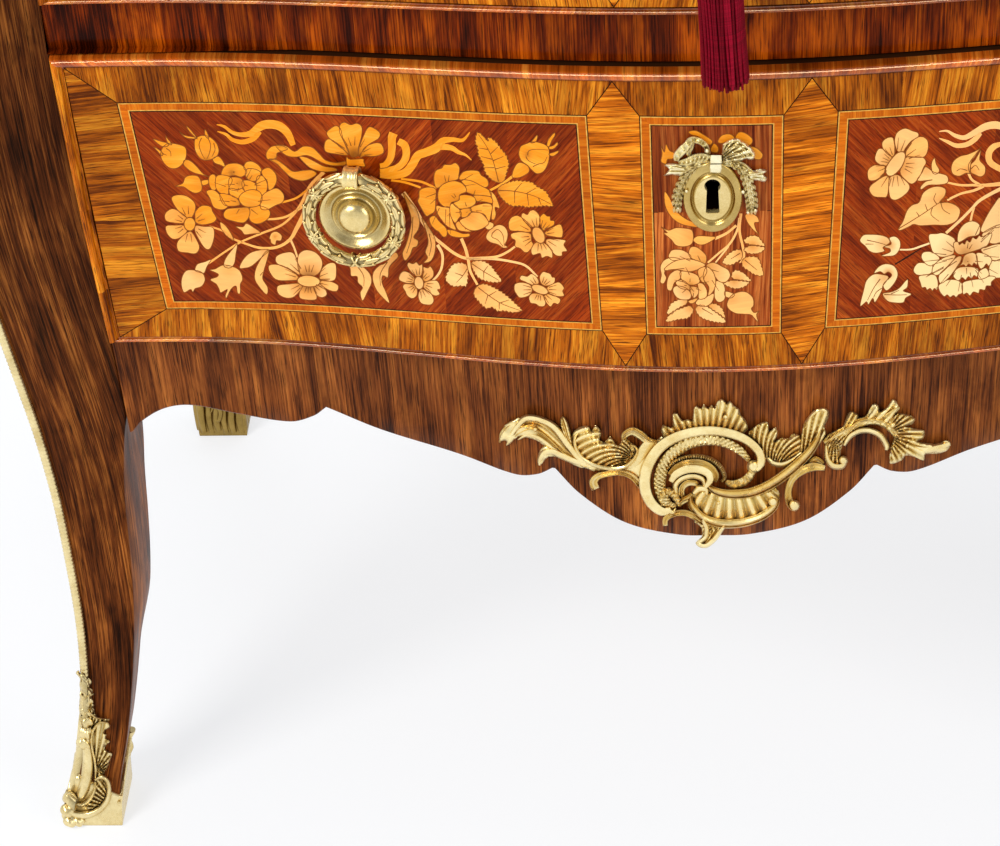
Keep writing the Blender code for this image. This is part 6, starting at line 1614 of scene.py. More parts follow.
def escutcheon(level):
    """Oval keyhole plate hung with a pleated bow, two tails and laurel drops."""
    z_key = KEY_LOW_Z if level == "lower" else KEY_UPP_Z
    build = Build(f"{level}_keyhole_plate")
    r = Relief(build, face_y, GILT, (640, 120, 0.09566), move=(0.0, z_key - KEY_LOW_Z))
    # the oval: flange, groove, raised inner plate with the keyhole through it
    cx, cz = 0.0, z_key - 0.0080
    count = 64
    angles = np.linspace(0, 2 * np.pi, count, endpoint=False)
    profile = [(1.0, -0.0006), (1.0, 0.0014), (0.985, 0.0021), (0.955, 0.0025), (0.90, 0.0026), (0.84, 0.0030), (0.79, 0.0033), (0.765, 0.0031), (0.74, 0.0020), (0.705, 0.0012),
               (0.685, 0.0012), (0.66, 0.0020), (0.64, 0.0027), (0.62, 0.0029), (0.60, 0.0030)]
    rings = []
    for f, h in profile:
        x, z = cx + 0.0152 * f * np.sin(angles), cz + 0.0221 * f * np.cos(angles)
        rings.append(np.c_[x, face_y(x, z) - h, z])
    last = np.c_[0.0152 * 0.6 * np.sin(angles), cz + 0.0221 * 0.6 * np.cos(angles)]
    build.grid(rings, GILT_AGED, closed=True)
    hole = resample(keyhole_outline(z_key, 0.0042, 20), 0.0008)
    verts, faces = fill(last, 0.0013, [hole])
    n = len(verts)
    build.add(np.c_[verts[:, 0], face_y(verts[:, 0], verts[:, 1]) - 0.0030, verts[:, 1]], [tuple(f) for f in faces], GILT_BRIGHT)
    wall = [np.c_[hole[:, 0] * g, face_y(hole[:, 0], hole[:, 1]) - h, (hole[:, 1] - z_key) * g + z_key] for g, h in ((1.0, 0.0030), (0.985, 0.0026), (0.985, -0.0006))]
    build.grid(wall, GILT, closed=True)
    # laurel drops
    k = Relief(build, face_y, GILT_PALE, (640, 110, 0.25), move=(0.0, z_key - KEY_LOW_Z))
    for garland, widths in (([(226, 230), (196, 252), (173, 284), (158, 318), (149, 352), (148, 388)], [24, 30, 34, 36, 34, 22]),
                            ([(370, 212), (402, 236), (423, 270), (436, 306), (443, 342), (447, 374), (446, 404)], [24, 32, 38, 42, 44, 40, 24])):
        k.band(garland, [v * 0.8 for v in widths], [0.0026] * 5, ROUND, per=8)
        path = curve(garland, 6)
        w = along(widths, len(path))
        d = np.gradient(path, axis=0)
        d /= np.linalg.norm(d, axis=1)[:, None]
        side = np.c_[-d[:, 1], d[:, 0]]
        for i in range(1, len(path) - 1, 4):
            for f in (-1, 1, 0):
                at = path[i] + side[i] * f * w[i] * 0.10
                tip = at + d[i] * 27 + side[i] * f * w[i] * 0.40
                mid = (at + tip) / 2 + side[i] * f * w[i] * 0.12
                k.band([at - d[i] * 6, mid, tip], [7, 17, 3], [0.0028, 0.0046 - 0.0008 * abs(f), 0.0022], RIDGE, per=5)
    for at, size in (((186, 325), 9), ((412, 328), 9), ((152, 394), 7), ((432, 410), 8), ((462, 402), 8)):
        k.knob(at, size, 0.0040)
    # bow: two ribbon loops, their folds, the tails and the strap over the middle
    k.band([(280, 214), (240, 214), (204, 226), (168, 240)], [22, 30, 30, 22], [0.0030, 0.0036, 0.0036, 0.0030], RIMMED, per=9, ripple=(6, 0.24, 0.5))
    k.band([(330, 212), (372, 214), (412, 228), (446, 254)], [24, 34, 34, 24], [0.0030, 0.0036, 0.0036, 0.0030], RIMMED, per=9, ripple=(6, 0.24, 0.5))
    k.fan([(176, 226), (146, 215), (114, 213), (99, 222), (117, 237), (95, 263), (128, 258), (160, 264), (182, 252)], (300, 244), 70, 0.0034, 0.3, 8, 4, per=2)
    k.fan([(430, 246), (460, 241), (486, 235), (509, 243), (494, 258), (508, 272), (499, 288), (470, 282), (440, 276)], (320, 256), 70, 0.0034, 0.3, 8, 4, per=2)
    k.band([(174, 238), (144, 232), (116, 224)], [12, 14, 6], [0.0036, 0.0042, 0.003], ROUND)
    k.band([(436, 258), (466, 256), (496, 250)], [12, 14, 6], [0.0036, 0.0042, 0.003], ROUND)
    k.band([(276, 178), (262, 143), (236, 124), (206, 120), (189, 141), (169, 161), (149, 184), (147, 204)], [14, 24, 26, 28, 34, 38, 34, 18],
           [0.0034, 0.0044, 0.0048, 0.0048, 0.0048, 0.0046, 0.0042, 0.003], RIMMED, per=10, ripple=(7, 0.24, 0.5))
    k.band([(214, 126), (203, 150), (194, 170), (204, 190)], [12, 24, 24, 14], [0.003, 0.0040, 0.0040, 0.003], RIDGE, per=8)
    k.band([(286, 200), (254, 190), (222, 194), (188, 207), (154, 213)], [26, 36, 38, 32, 18], [0.0040, 0.0048, 0.0048, 0.0044, 0.003], RIMMED, per=10, ripple=(8, 0.26, 0.7))
    k.knob((268, 164), 11, 0.0046)
    k.fan([(332, 206), (329, 162), (334, 137), (353, 126), (386, 116), (405, 128), (431, 146), (451, 166), (459, 189), (445, 200), (424, 194), (408, 203), (380, 208), (350, 209)], (310, 206), 30, 0.0042, 0.45, 12, 4)
    k.band([(332, 142), (355, 128), (386, 120), (408, 132), (432, 150), (451, 172), (454, 192)], [10, 15, 17, 17, 18, 18, 10], [0.003, 0.0048, 0.0052, 0.0052, 0.0052, 0.0050, 0.003], ROUND, per=9, ripple=(6, 0.16, 0.3))
    k.band([(330, 178), (358, 154), (392, 142), (420, 160), (436, 182)], [12, 20, 22, 20, 10], [0.0036, 0.0052, 0.0052, 0.0048, 0.0034], RIDGE, per=8)
    k.band([(332, 197), (364, 178), (400, 174), (426, 192)], [12, 20, 20, 10], [0.0036, 0.0052, 0.0050, 0.0034], RIDGE, per=8)
    k.band([(304, 181), (304, 199), (304, 214)], [46, 50, 50], [0.0056, 0.0062, 0.0056], FLAT)
    k.band([(303, 218), (303, 234), (302, 251)], [50, 52, 48], [0.0056, 0.0056, 0.0044], FLAT)
    return build.finish(f"drawer_{level}", [f"{level}_escutcheon"], "gilt_brass", angle=60, tidy=True)


for level in ("lower", "upper"):
    escutcheon(level)


# ------------------------------------------------------------------- ring pulls
def unit(v):
    v = np.asarray(v, float)
    return v / np.linalg.norm(v)


def pull_frame(side, z):
    x, e = side * PULL_X, 1e-4
    at = np.array((x, float(face_y(x, z)), z))
    out = unit(((face_y(x + e, z) - face_y(x - e, z)) / (2 * e), -1.0, (face_y(x, z + e) - face_y(x, z - e)) / (2 * e)))
    flat = unit((out[0], out[1], 0.0))
    axis = np.cross(flat, (0, 0, 1.0))
    return at, out, flat, axis


LEAVES = 8


def wreath(level, word):
    """Ring of overlapping laurel leaves bound by crossed ribbons."""
    side = -1 if word == "left" else 1
    at, out, flat, axis = pull_frame(side, PULL_LOW_Z if level == "lower" else PULL_UPP_Z)
    hinge = np.array(HINGE[level, word])
    hang = np.array((0, 0, math.cos(RING_LEAN))) - flat * math.sin(RING_LEAN)
    centre = hinge - hang * RING_R
    front = unit(np.cross(axis, hang))
    if front @ flat < 0:
        front = -front
    build = Build(f"{level}_{word}_wreath")

    def on(th, ph, r):
        th, ph, r = np.broadcast_arrays(th, ph, r)
        radial = np.cos(th)[..., None] * -hang + np.sin(th)[..., None] * axis
        return centre + radial * (RING_R + r * np.cos(ph))[..., None] + front * (r * np.sin(ph))[..., None]

    # core, plain where the strap holds it; elsewhere, under the leaves, it is darkened as painted shade
    th, ph = np.meshgrid(np.linspace(0, 2 * np.pi, 145), np.linspace(0, 2 * np.pi, 24, endpoint=False), indexing="ij")
    plain = np.clip((np.abs(th - np.pi) / np.pi - 0.07) / 0.02, 0, 1)
    core = np.stack([np.full_like(th, 0.5), 0.72 * plain, np.full_like(th, 0.5)], axis=-1)
    build.grid(on(th, ph, RING_T * lerp(0.90, 0.80, plain)), GILT_LEAF, tone=core, closed=True)
    # leaves run from the foot of the ring up both sides, in rows that overlap
    step = np.pi * 0.93 / LEAVES
    across = [-1, -0.82, -0.5, -0.16, 0, 0.16, 0.5, 0.82, 1]
    crest = [0.70, 0.98, 1.12, 1.16, 1.08, 1.16, 1.12, 0.98, 0.70]
    shade = [0.9, 0.34, 0.0, 0.04, 0.42, 0.04, 0.0, 0.34, 0.9]
    for way in (1, -1):
        for col, turn in enumerate((0, 66, -66, 138, -138)):
            for k in range(LEAVES):
                t0 = (k + (0.5 if col in (0, 3, 4) else 0.0)) * step
                if t0 + 1.05 * step > np.pi * 0.95:
                    continue
                rows, tones = [], []
                for f in (0.03, 0.12, 0.24, 0.38, 0.52, 0.66, 0.79, 0.90, 0.97):
                    half = math.radians(37) * math.sin(math.pi * f ** 0.8) ** 0.72
                    lift = 0.90 + 0.12 * f - (0.08 if abs(turn) > 90 else 0)
                    mid = math.radians(90 + turn)
                    th1 = way * (t0 + 1.12 * step * f)
                    rows.append([on(th1, mid + a * half, RING_T * c * lift) for a, c in zip(across, crest)] + [on(th1, mid + a * half, RING_T * 0.55) for a in (1, -1)])
                    # painted shade across each leaf: darkest at its edges, and deeper at its base where the leaf before
                    # overlaps it
                    tones.append([(0.5, min(1.0, g + 0.30 * (f < 0.15)), 0.5) for g in shade] + [(0.5, 1, 0.5)] * 2)
                build.grid(np.array(rows), GILT_LEAF, tone=tones, closed=True, caps=True)
            # berries at the leaf tips
            if col in (1, 2):
                for k in range(1, LEAVES):
                    at0 = on(way * (k + 0.04) * step, math.radians(90 + 0.52 * turn), RING_T * 1.04)
                    ball = [[at0 + 0.00078 * np.array((math.cos(b) * math.cos(a), math.cos(b) * math.sin(a), math.sin(b))) for a in np.linspace(0, 2 * np.pi, 10, endpoint=False)]
                            for b in np.linspace(-1.45, 1.45, 7)]
                    build.grid(np.array(ball), GILT_LEAF, closed=True, caps=True)
    # ribbons crossed over the leaves
    ph = np.linspace(0, 2 * np.pi, 49)
    for mid in (0.0, 0.355 * np.pi, -0.355 * np.pi, 0.70 * np.pi, -0.70 * np.pi):
        for lean in (0.105, -0.105):
            strip = [on(mid + lean * np.cos(ph) + w, ph, RING_T * c) for w, c in ((-0.030, 0.80), (-0.028, 1.14), (-0.016, 1.20), (0.016, 1.20), (0.028, 1.14), (0.030, 0.80))]
            # painted shade along the ribbons' edges
            tone = [[(0.5, g, 0.5) for g in (0.9, 0.45, 0, 0, 0.45, 0.9)]] * len(ph)
            build.grid(np.stack(strip, axis=1), GILT_LEAF, tone=tone, closed=True)
    return build.finish(f"{level}_{word}_ring_pull", [f"{level}_{word}_ring"], "gilt_brass", angle=70, tidy=True)


HINGE = {("lower", "left"): (-0.187251, -0.202993, 0.506618), ("lower", "right"): (0.187251, -0.202993, 0.506618),
         ("upper", "left"): (-0.186711, -0.206400, 0.716390), ("upper", "right"): (0.186711, -0.206400, 0.716390)}


def rosette(level, word):
    """Turned back plate with a dished rim and a dome, and the strap that holds the ring."""
    side = -1 if word == "left" else 1
    at, out, flat, axis = pull_frame(side, PULL_LOW_Z if level == "lower" else PULL_UPP_Z)
    build = Build(f"{level}_{word}_back_plate")
    e1 = unit(axis - out * (axis @ out))
    e2 = np.cross(out, e1)
    count = 72
    angles = np.linspace(0, 2 * np.pi, count, endpoint=False)
    profile = [(0.0199, -0.0004), (0.0199, 0.0046), (0.0198, 0.0064), (0.0194, 0.0074), (0.0187, 0.0078), (0.0178, 0.0075), (0.0167, 0.0066), (0.0155, 0.0056), (0.0144, 0.0049),
               (0.0136, 0.0046), (0.0130, 0.0049), (0.0127, 0.0060), (0.0124, 0.0070), (0.0119, 0.0074), (0.0112, 0.0069), (0.0105, 0.0062), (0.0100, 0.0061), (0.0096, 0.0068), (0.0091, 0.0084),
               (0.0081, 0.0100), (0.0067, 0.0111), (0.0048, 0.0118), (0.0026, 0.0122), (0.0006, 0.0123)]
    # painted shade: darker tone on the outer wall, down the dish and in the groove round the dome; rims and dome stay
    # light
    groove = [0.3, 0.3, 0.2, 0, 0, 0.05, 0.18, 0.28, 0.36, 0.44, 0.52, 0.26, 0, 0, 0.10, 0.42, 0.54, 0.36, 0.12, 0, 0, 0, 0, 0]
    ring = np.cos(angles)[:, None] * e1 + np.sin(angles)[:, None] * e2
    lift = 1 if e2[2] > 0 else -1
    lean = 0.13 * (0.0195 - lift * np.sin(angles)[:, None] * np.array([r for r, _ in profile])[None, :])
    build.grid([at + ring * r + out * (h + (lean[:, k] if h > 0 else 0 * lean[:, k]))[:, None] for k, (r, h) in enumerate(profile)], GILT_BRIGHT,
               tone=[[(0.5, g, 0.5)] * count for g in groove], closed=True, caps=True)
    hinge = np.array(HINGE[level, word])
    # strap: two raised bands over the ring, joined to the plate's edge
    around = np.linspace(0, 2 * np.pi, 40, endpoint=False)
    eye = np.cos(around)[:, None] * flat + np.sin(around)[:, None] * np.array((0, 0, 1.0))
    section = [(-0.0040, 0.0045), (-0.0040, 0.0058), (-0.0034, 0.0062), (-0.0026, 0.0062), (-0.0020, 0.0056), (-0.0006, 0.0055), (0.0, 0.0057), (0.0006, 0.0055), (0.0020, 0.0056),
               (0.0026, 0.0062), (0.0034, 0.0062), (0.0040, 0.0058), (0.0040, 0.0045)]
    build.grid(np.stack([hinge + axis * a + eye * r for a, r in section] + [hinge + axis * section[0][0] + eye * section[0][1]], axis=0), GILT, closed=True)
    foot = at + out * 0.0016 + e2 * (0.0170 if e2[2] > 0 else -0.0170)
    head = hinge - flat * 0.0048 - np.array((0, 0, 0.0022))
    path = [lerp(foot, head, t) for t in (0, 0.3, 0.7, 1.0)]
    rows = []
    for k, p in enumerate(path):
        w, t = (0.0046, 0.0013) if k in (0, 3) else (0.0036, 0.0016)
        ring2 = np.array([(math.cos(a), math.sin(a)) for a in np.linspace(0, 2 * np.pi, 14, endpoint=False)])
        rows.append([p + axis * w * c + flat * t * s for c, s in ring2])
    build.grid(rows, GILT, closed=True, caps=True)
    return build.finish(f"drawer_{level}", [f"{level}_{word}_rosette"], "gilt_brass", angle=50, tidy=True)


for level in ("lower", "upper"):
    for word in ("left", "right"):
        wreath(level, word)
        rosette(level, word)

# ------------------------------------------------------------- mounts on the legs
_z = np.linspace(0, 0.82, 821)
_front = np.array([leg_front(z) for z in _z])
_out = np.array([leg_out(z) for z in _z])
_in = np.array([leg_in(z) for z in _z])
_deep = np.array([leg_deep(z) for z in _z])


def leg_front_v(z):
    return np.interp(z, _z, _front)


def leg_out_v(z):
    return np.interp(z, _z, _out)


class Corner(Relief):
    """Ornament drawn on the front of a left leg, laid on the front or on the outer side of either leg."""

    def __init__(self, build, mat, sheet, side, onto):
        super().__init__(build, lambda x, z: leg_front_v(z), mat, sheet)
        self.side, self.onto = side, onto

    def emit(self, p, h):
        z = p[:, 2]
        u = leg_out_v(z) + p[:, 0]
        if self.onto == "front":
            return np.c_[self.side * (leg_out_v(z) - u), leg_front_v(z) - h, z]
        return np.c_[self.side * (leg_out_v(z) + h), leg_front_v(z) + u, z]


def shoe(build, section, tops, grow, mat, flip, flutes=0, deep_limit=None):
    """Thin sheath round a foot. tops are its heights at the four corners, joined by straight edges."""
    per = 14
    steps = [(0.0, 0.75), (0.03, 1.0), (0.12, 1.12), (0.20, 1.0), (0.5, 0.9), (0.80, 0.9), (0.90, 1.25), (0.96, 1.25), (1.0, 0.8), (1.0, -0.5), (0.6, -0.7), (0.45, -0.7)]
    rings = []
    for f, g in steps:
        row = []
        for k in range(4):
            for i in range(per):
                t = i / per
                top = lerp(tops[k], tops[(k + 1) % 4], t)
                z = max(f * top, 0.013 if g < 0 else 0.0)
                c = np.array(section(max(z, 0.0002)))
                mid = c.mean(axis=0)
                c = c + np.sign(c - mid) * grow * g
                p = lerp(c[k], c[(k + 1) % 4], t)
                if flutes and g > 0 and 0.15 < f < 0.9:
                    edge = unit(c[(k + 1) % 4] - c[k])
                    p = p + np.array((edge[1], -edge[0])) * (1 if ((c[k] - mid) @ np.array((edge[1], -edge[0]))) > 0 else -1) * 0.0011 * abs(math.sin(math.pi * flutes * t))
                if deep_limit is not None:
                    p = np.array((p[0], min(p[1], deep_limit)))
                row.append((p[0], p[1], z))
        rings.append(row)
    build.grid(rings, mat, closed=True, caps=True, flip=flip)


def front_sabot(side, word):
    build = Build(f"front_{word}_shoe")
    section = front_section(side)
    shoe(build, section, (0.036, 0.0215, 0.0380, 0.036), 0.0016, GILT_FOOT, side < 0)
    for onto in ("front", "side"):
        r = Corner(build, GILT_FOOT, (40, 650, 0.11475), side, onto)
        # shaft beside the arris
        r.band([(412, 740), (412, 830), (418, 920), (416, 1020), (404, 1120), (380, 1210), (346, 1290)], [70, 92, 100, 108, 110, 108, 80], [0.0034, 0.0046, 0.0050, 0.0052, 0.0054, 0.0056, 0.005], ROUND)
        # leaf spray above it, ending in a tip
        r.fan([(312, 202), (335, 178), (352, 205), (386, 219), (422, 250), (428, 282), (408, 330), (404, 392), (368, 404), (352, 350), (343, 300), (348, 250)], (392, 430), 22, 0.0034, 0.45, 16, 8)
        r.fan([(343, 440), (358, 378), (380, 398), (400, 378), (442, 366), (467, 385), (442, 410), (442, 440), (472, 480), (452, 500), (472, 530), (492, 570), (520, 596), (602, 598), (592, 624), (520, 634), (470, 654), (452, 700), (442, 762),
               (400, 794), (366, 762), (346, 720), (356, 680), (341, 620), (351, 560), (346, 500)], (395, 830), 52, 0.0042, 0.5, 14, 8)
        r.band([(392, 640), (396, 560), (420, 540), (470, 580), (500, 596), (560, 604)], [18, 30, 30, 28, 26, 14], [0.004, 0.0052, 0.0054, 0.005, 0.0046, 0.003], ROUND)
        r.band([(372, 470), (386, 430), (420, 396), (446, 380)], [16, 26, 24, 16], [0.0036, 0.0048, 0.0046, 0.003], ROUND)
        # big leaf with a rolled rim
        r.fan([(468, 690), (498, 640), (545, 627), (592, 634), (612, 660), (597, 686), (567, 698), (560, 730), (584, 735), (572, 765), (604, 785), (609, 806), (577, 830), (567, 868), (602, 888), (632, 905), (612, 960), (592, 1020), (567, 1062),
               (540, 1102), (500, 1112), (478, 1060), (478, 1000), (470, 920), (452, 860), (443, 790), (448, 730)], (470, 1090), 36, 0.0040, 0.5, 16, 8)
        r.band([(604, 668), (590, 640), (545, 630), (500, 648), (460, 710), (446, 790), (458, 880), (476, 960), (486, 1050), (482, 1120)],
               [14, 22, 26, 28, 30, 30, 30, 28, 28, 20], [0.0036, 0.005, 0.0054, 0.0056, 0.0058, 0.0058, 0.0058, 0.0056, 0.0054, 0.005], ROUND)
        # scroll at the toe
        r.fan([(476, 1140), (540, 1126), (580, 1180), (576, 1262), (544, 1326), (480, 1376), (420, 1396), (392, 1346), (436, 1282), (468, 1210)], (700, 1400), 44, 0.0046, 0.5, 14, 9)
        r.band([(478, 1136), (530, 1108), (578, 1132), (600, 1200), (592, 1290), (544, 1368), (462, 1420), (372, 1442), (290, 1432), (232, 1402)],
               [34, 46, 48, 50, 54, 60, 66, 70, 70, 56], [0.0052, 0.0060, 0.0062, 0.0062, 0.0062, 0.0064, 0.0068, 0.0070, 0.0070, 0.006], ROUND)
        r.band([(482, 1150), (474, 1230), (430, 1308), (372, 1350), (318, 1346)], [26, 36, 42, 46, 36], [0.005, 0.0060, 0.0064, 0.0068, 0.006], ROUND)
        r.band([(318, 1300), (276, 1258), (232, 1262), (216, 1302), (244, 1334)], [34, 46, 50, 46, 34], [0.0060, 0.0068, 0.0070, 0.0068, 0.0060], ROUND)
        r.knob((686, 1330), 14, 0.0038)
    # rolled leaves round the toe, and curled ones up the arris
    def roll(at, size, stretch, flutes, phase):
        rows = []
        for lat in np.linspace(-1.42, 1.42, 15):
            row = []
            for a in np.linspace(0, 2 * np.pi, 30, endpoint=False):
                q = size * math.cos(lat) * (1 + (0.16 if flutes > 5 else 0.05) * math.cos(flutes * a + phase + 1.6 * lat))
                row.append((at[0] + q * math.cos(a), at[1] + q * math.sin(a), at[2] + size * stretch * math.sin(lat) + 0.1 * size * math.sin(2 * a + phase)))
            rows.append(row)
        build.grid(rows, GILT_FOOT, closed=True, caps=True)

    foot = section(0.005)[0]
    for dx, dy, z, size, stretch in ((0.0010, -0.0024, 0.0048, 0.0048, 0.85), (0.0026, 0.0016, 0.0056, 0.0046, 0.95), (-0.0040, -0.0022, 0.0042, 0.0040, 0.9), (0.0016, -0.0010, 0.0130, 0.0050, 0.9), (0.0022, 0.0060, 0.0044, 0.0040, 0.95)):
        roll((foot[0] + side * dx, foot[1] + dy, z), size, stretch, 5, 100 * z)
    for z, size, stretch in ((0.0600, 0.0050, 1.0), (0.0680, 0.0048, 1.0), (0.0760, 0.0047, 1.0), (0.0835, 0.0043, 1.0), (0.0905, 0.0040, 1.0), (0.0975, 0.0036, 1.1), (0.1050, 0.0032, 1.3)):
        c = section(z)[0]
        turn = math.sin(z * 900)
        roll((c[0] + side * (0.0004 + 0.0010 * turn), c[1] - 0.0004 + 0.0010 * turn, z), size, stretch, 6 if stretch < 1.5 else 0, 300 * z)
    # wavy strips up the two rear corners
    for corner, top in ((2, 0.041), (3, 0.038)):
        rows = []
        for z in np.linspace(0.022, top, 40):
            c = np.array(section(z))
            toward = np.sign(c[corner] - c.mean(axis=0))
            r0 = 0.0025 + 0.0008 * math.sin(z / 0.0125 * 2 * math.pi)
            mid = c[corner] + toward * 0.0002
            rows.append([(mid[0] + r0 * math.cos(a), mid[1] + r0 * math.sin(a), z) for a in np.linspace(0, 2 * np.pi, 14, endpoint=False)])
        build.grid(rows, GILT_FOOT, closed=True, caps=True)
    return build.finish("carcase", [f"front_{word}_sabot"], "gilt_brass", angle=60, tidy=True)


def rear_sabot(side, word):
    """Shoe of a rear foot, fluted, with a scroll and leaves on its front and outer faces."""
    build = Build(f"rear_{word}_shoe")
    section = rear_section(side)
    shoe(build, section, (0.030, 0.024, 0.030, 0.036), 0.0010, GILT_DULL, side > 0, 5, BACK_Y + 0.0024)

    def on(face, u, z, h):
        c = np.array(section(z))
        if face == "front":
            return (lerp(c[3][0], c[2][0], u), c[3][1] - h, z)
        return (c[3][0] + side * h, lerp(c[3][1], c[0][1], u), z)

    def strip(face, points, widths, crest, profile):
        p = curve(points, 7)
        d = np.gradient(p, axis=0) * (0.033, 1)
        d /= np.linalg.norm(d, axis=1)[:, None] + 1e-12
        w, e0 = along(widths, len(p)), along(crest, len(p))
        rows = []
        for k in range(len(p)):
            nrm = np.array((-d[k][1] / 0.033, d[k][0]))
            row = [on(face, *(p[k] + nrm * a * w[k] / 2), e0[k] * e) for a, e in profile]
            rows.append(row + [on(face, *(p[k] + nrm * a * w[k] / 2), -0.0006) for a in (1, -1)])
        build.grid(rows, GILT_DULL, closed=True, caps=True)

    for face in ("front", "side"):
        for u, low, top, wide, tall in ((0.07, 0.004, 0.094, 0.0066, 0.0040), (0.24, 0.003, 0.074, 0.0062, 0.0034), (0.40, 0.006, 0.052, 0.0066, 0.0046), (0.56, 0.003, 0.064, 0.0060, 0.0034),
                                        (0.73, 0.004, 0.056, 0.0064, 0.0042), (0.90, 0.003, 0.060, 0.0060, 0.0036)):
            mid = (low + top) / 2
            strip(face, [(u + 0.06, top), (u - 0.02, lerp(mid, top, 0.5)), (u + 0.03, mid), (u - 0.01, lerp(low, mid, 0.4)), (u + 0.02, low)], [0.002, wide * 0.8, wide, wide, wide * 0.7], [0.002, tall, tall, tall, tall * 0.8], ROUND)
        strip(face, [(0.30, 0.024), (0.42, 0.032), (0.52, 0.025), (0.45, 0.017), (0.36, 0.019)], [0.002, 0.0044, 0.0048, 0.0044, 0.002], [0.004, 0.0056, 0.006, 0.0056, 0.004], ROUND)
    return build.finish("carcase", [f"rear_{word}_sabot"], "gilt_brass", angle=60, tidy=True)


def arris_strip(side, word):
    """Thin chased strip that follows the leg's outer front corner."""
    build = Build(f"front_{word}_chased_strip")
    rows = []
    off = 0.0016 / math.sqrt(2)
    for z in np.linspace(0.1115, 0.618, 700):
        c = front_section(side)(z)[0]
        r = 0.00255 + 0.00022 * math.sin(z / 0.0030 * 2 * math.pi)
        rows.append([(c[0] + side * off + r * math.cos(a), c[1] - off + r * math.sin(a), z) for a in np.linspace(0, 2 * np.pi, 12, endpoint=False)])
    build.grid(rows, GILT_FOOT, closed=True, caps=True, flip=False)
    return build.finish("carcase", [f"front_{word}_arris_strip"], "gilt_brass", angle=60, tidy=True)


def corner_mount(side, word):
    """Acanthus mount over the upper corner of a post: leaves on both faces and a scrolled rib on the arris."""
    build = Build(f"front_{word}_acanthus")

    def at(onto, u, z, h):
        if onto == "front":
            return (side * (leg_out_v(z) - u), leg_front_v(z) - h, z)
        return (side * (leg_out_v(z) + h), leg_front_v(z) + u, z)

    def strip(onto, pts, widths, crest, profile=RIDGE, per=6):
        p = curve(pts, per)
        d = np.gradient(p, axis=0)
        d /= np.linalg.norm(d, axis=1)[:, None] + 1e-12
        s = np.c_[-d[:, 1], d[:, 0]]
        w, c = along(widths, len(p)), along(crest, len(p))
        rows = []
        for k in range(len(p)):
            row = [at(onto, *(p[k] + s[k] * a * w[k] / 2), c[k] * e) for a, e in profile]
            row += [at(onto, *(p[k] + s[k] * a * w[k] / 2), -0.0008) for a in (1, -1)]
            rows.append(row)
        build.grid(rows, GILT, closed=True, caps=True)

    for onto in ("front", "side"):
        for z0, reach, rise in ((0.640, 0.012, 0.020), (0.662, 0.018, 0.024), (0.690, 0.023, 0.028), (0.722, 0.026, 0.026), (0.748, 0.025, 0.020)):
            for f in (0.45, 0.75, 1.0):
                strip(onto, [(0.001, z0), (reach * f * 0.55, z0 + rise * (0.62 - 0.1 * f)), (reach * f, z0 + rise * (1.25 - 0.55 * f))], [0.004, 0.0064, 0.0012], [0.0036, 0.0048, 0.002])
        strip(onto, [(0.026, 0.792), (0.030, 0.778), (0.024, 0.764), (0.014, 0.760), (0.006, 0.768), (0.008, 0.780), (0.016, 0.780)], [0.003, 0.005, 0.0056, 0.0054, 0.0048, 0.004, 0.003],
              [0.003, 0.005, 0.006, 0.0062, 0.006, 0.0056, 0.004], ROUND)
        strip(onto, [(0.004, 0.760), (0.012, 0.776), (0.014, 0.794)], [0.008, 0.012, 0.006], [0.004, 0.005, 0.003], RIMMED)
        strip(onto, [(0.002, 0.6235), (0.007, 0.632), (0.004, 0.646)], [0.003, 0.006, 0.003], [0.003, 0.0046, 0.003], ROUND)
        strip(onto, [(0.018, 0.700), (0.030, 0.688), (0.034, 0.700), (0.027, 0.708)], [0.003, 0.004, 0.004, 0.002], [0.003, 0.0046, 0.0046, 0.003], ROUND)
    rows = []
    for z in np.linspace(0.6225, 0.795, 110):
        t = (z - 0.6225) / 0.1725
        r = lerp(0.0026, 0.0056, math.sin(math.pi * min(t * 1.1, 1)) ** 0.7) * (1 + 0.07 * math.sin(t * 60))
        rows.append([(side * (leg_out_v(z) - 0.0004) + r * math.cos(a), leg_front_v(z) + 0.0004 + r * math.sin(a), z) for a in np.linspace(0, 2 * np.pi, 16, endpoint=False)])
    build.grid(rows, GILT, closed=True, caps=True)
    return build.finish("carcase", [f"front_{word}_corner_mount"], "gilt_brass", angle=60, tidy=True)


for side, word in ((-1, "left"), (1, "right")):
    front_sabot(side, word)
    rear_sabot(side, word)
    arris_strip(side, word)
    corner_mount(side, word)

# -------------------------------------------------------------- key, cord and tassel
KEY_Y = float(face_y(0.0, KEY_UPP_Z))
BOW_Y = KEY_Y - KEY_OUT
LOOP_Z = KEY_UPP_Z - 0.0098


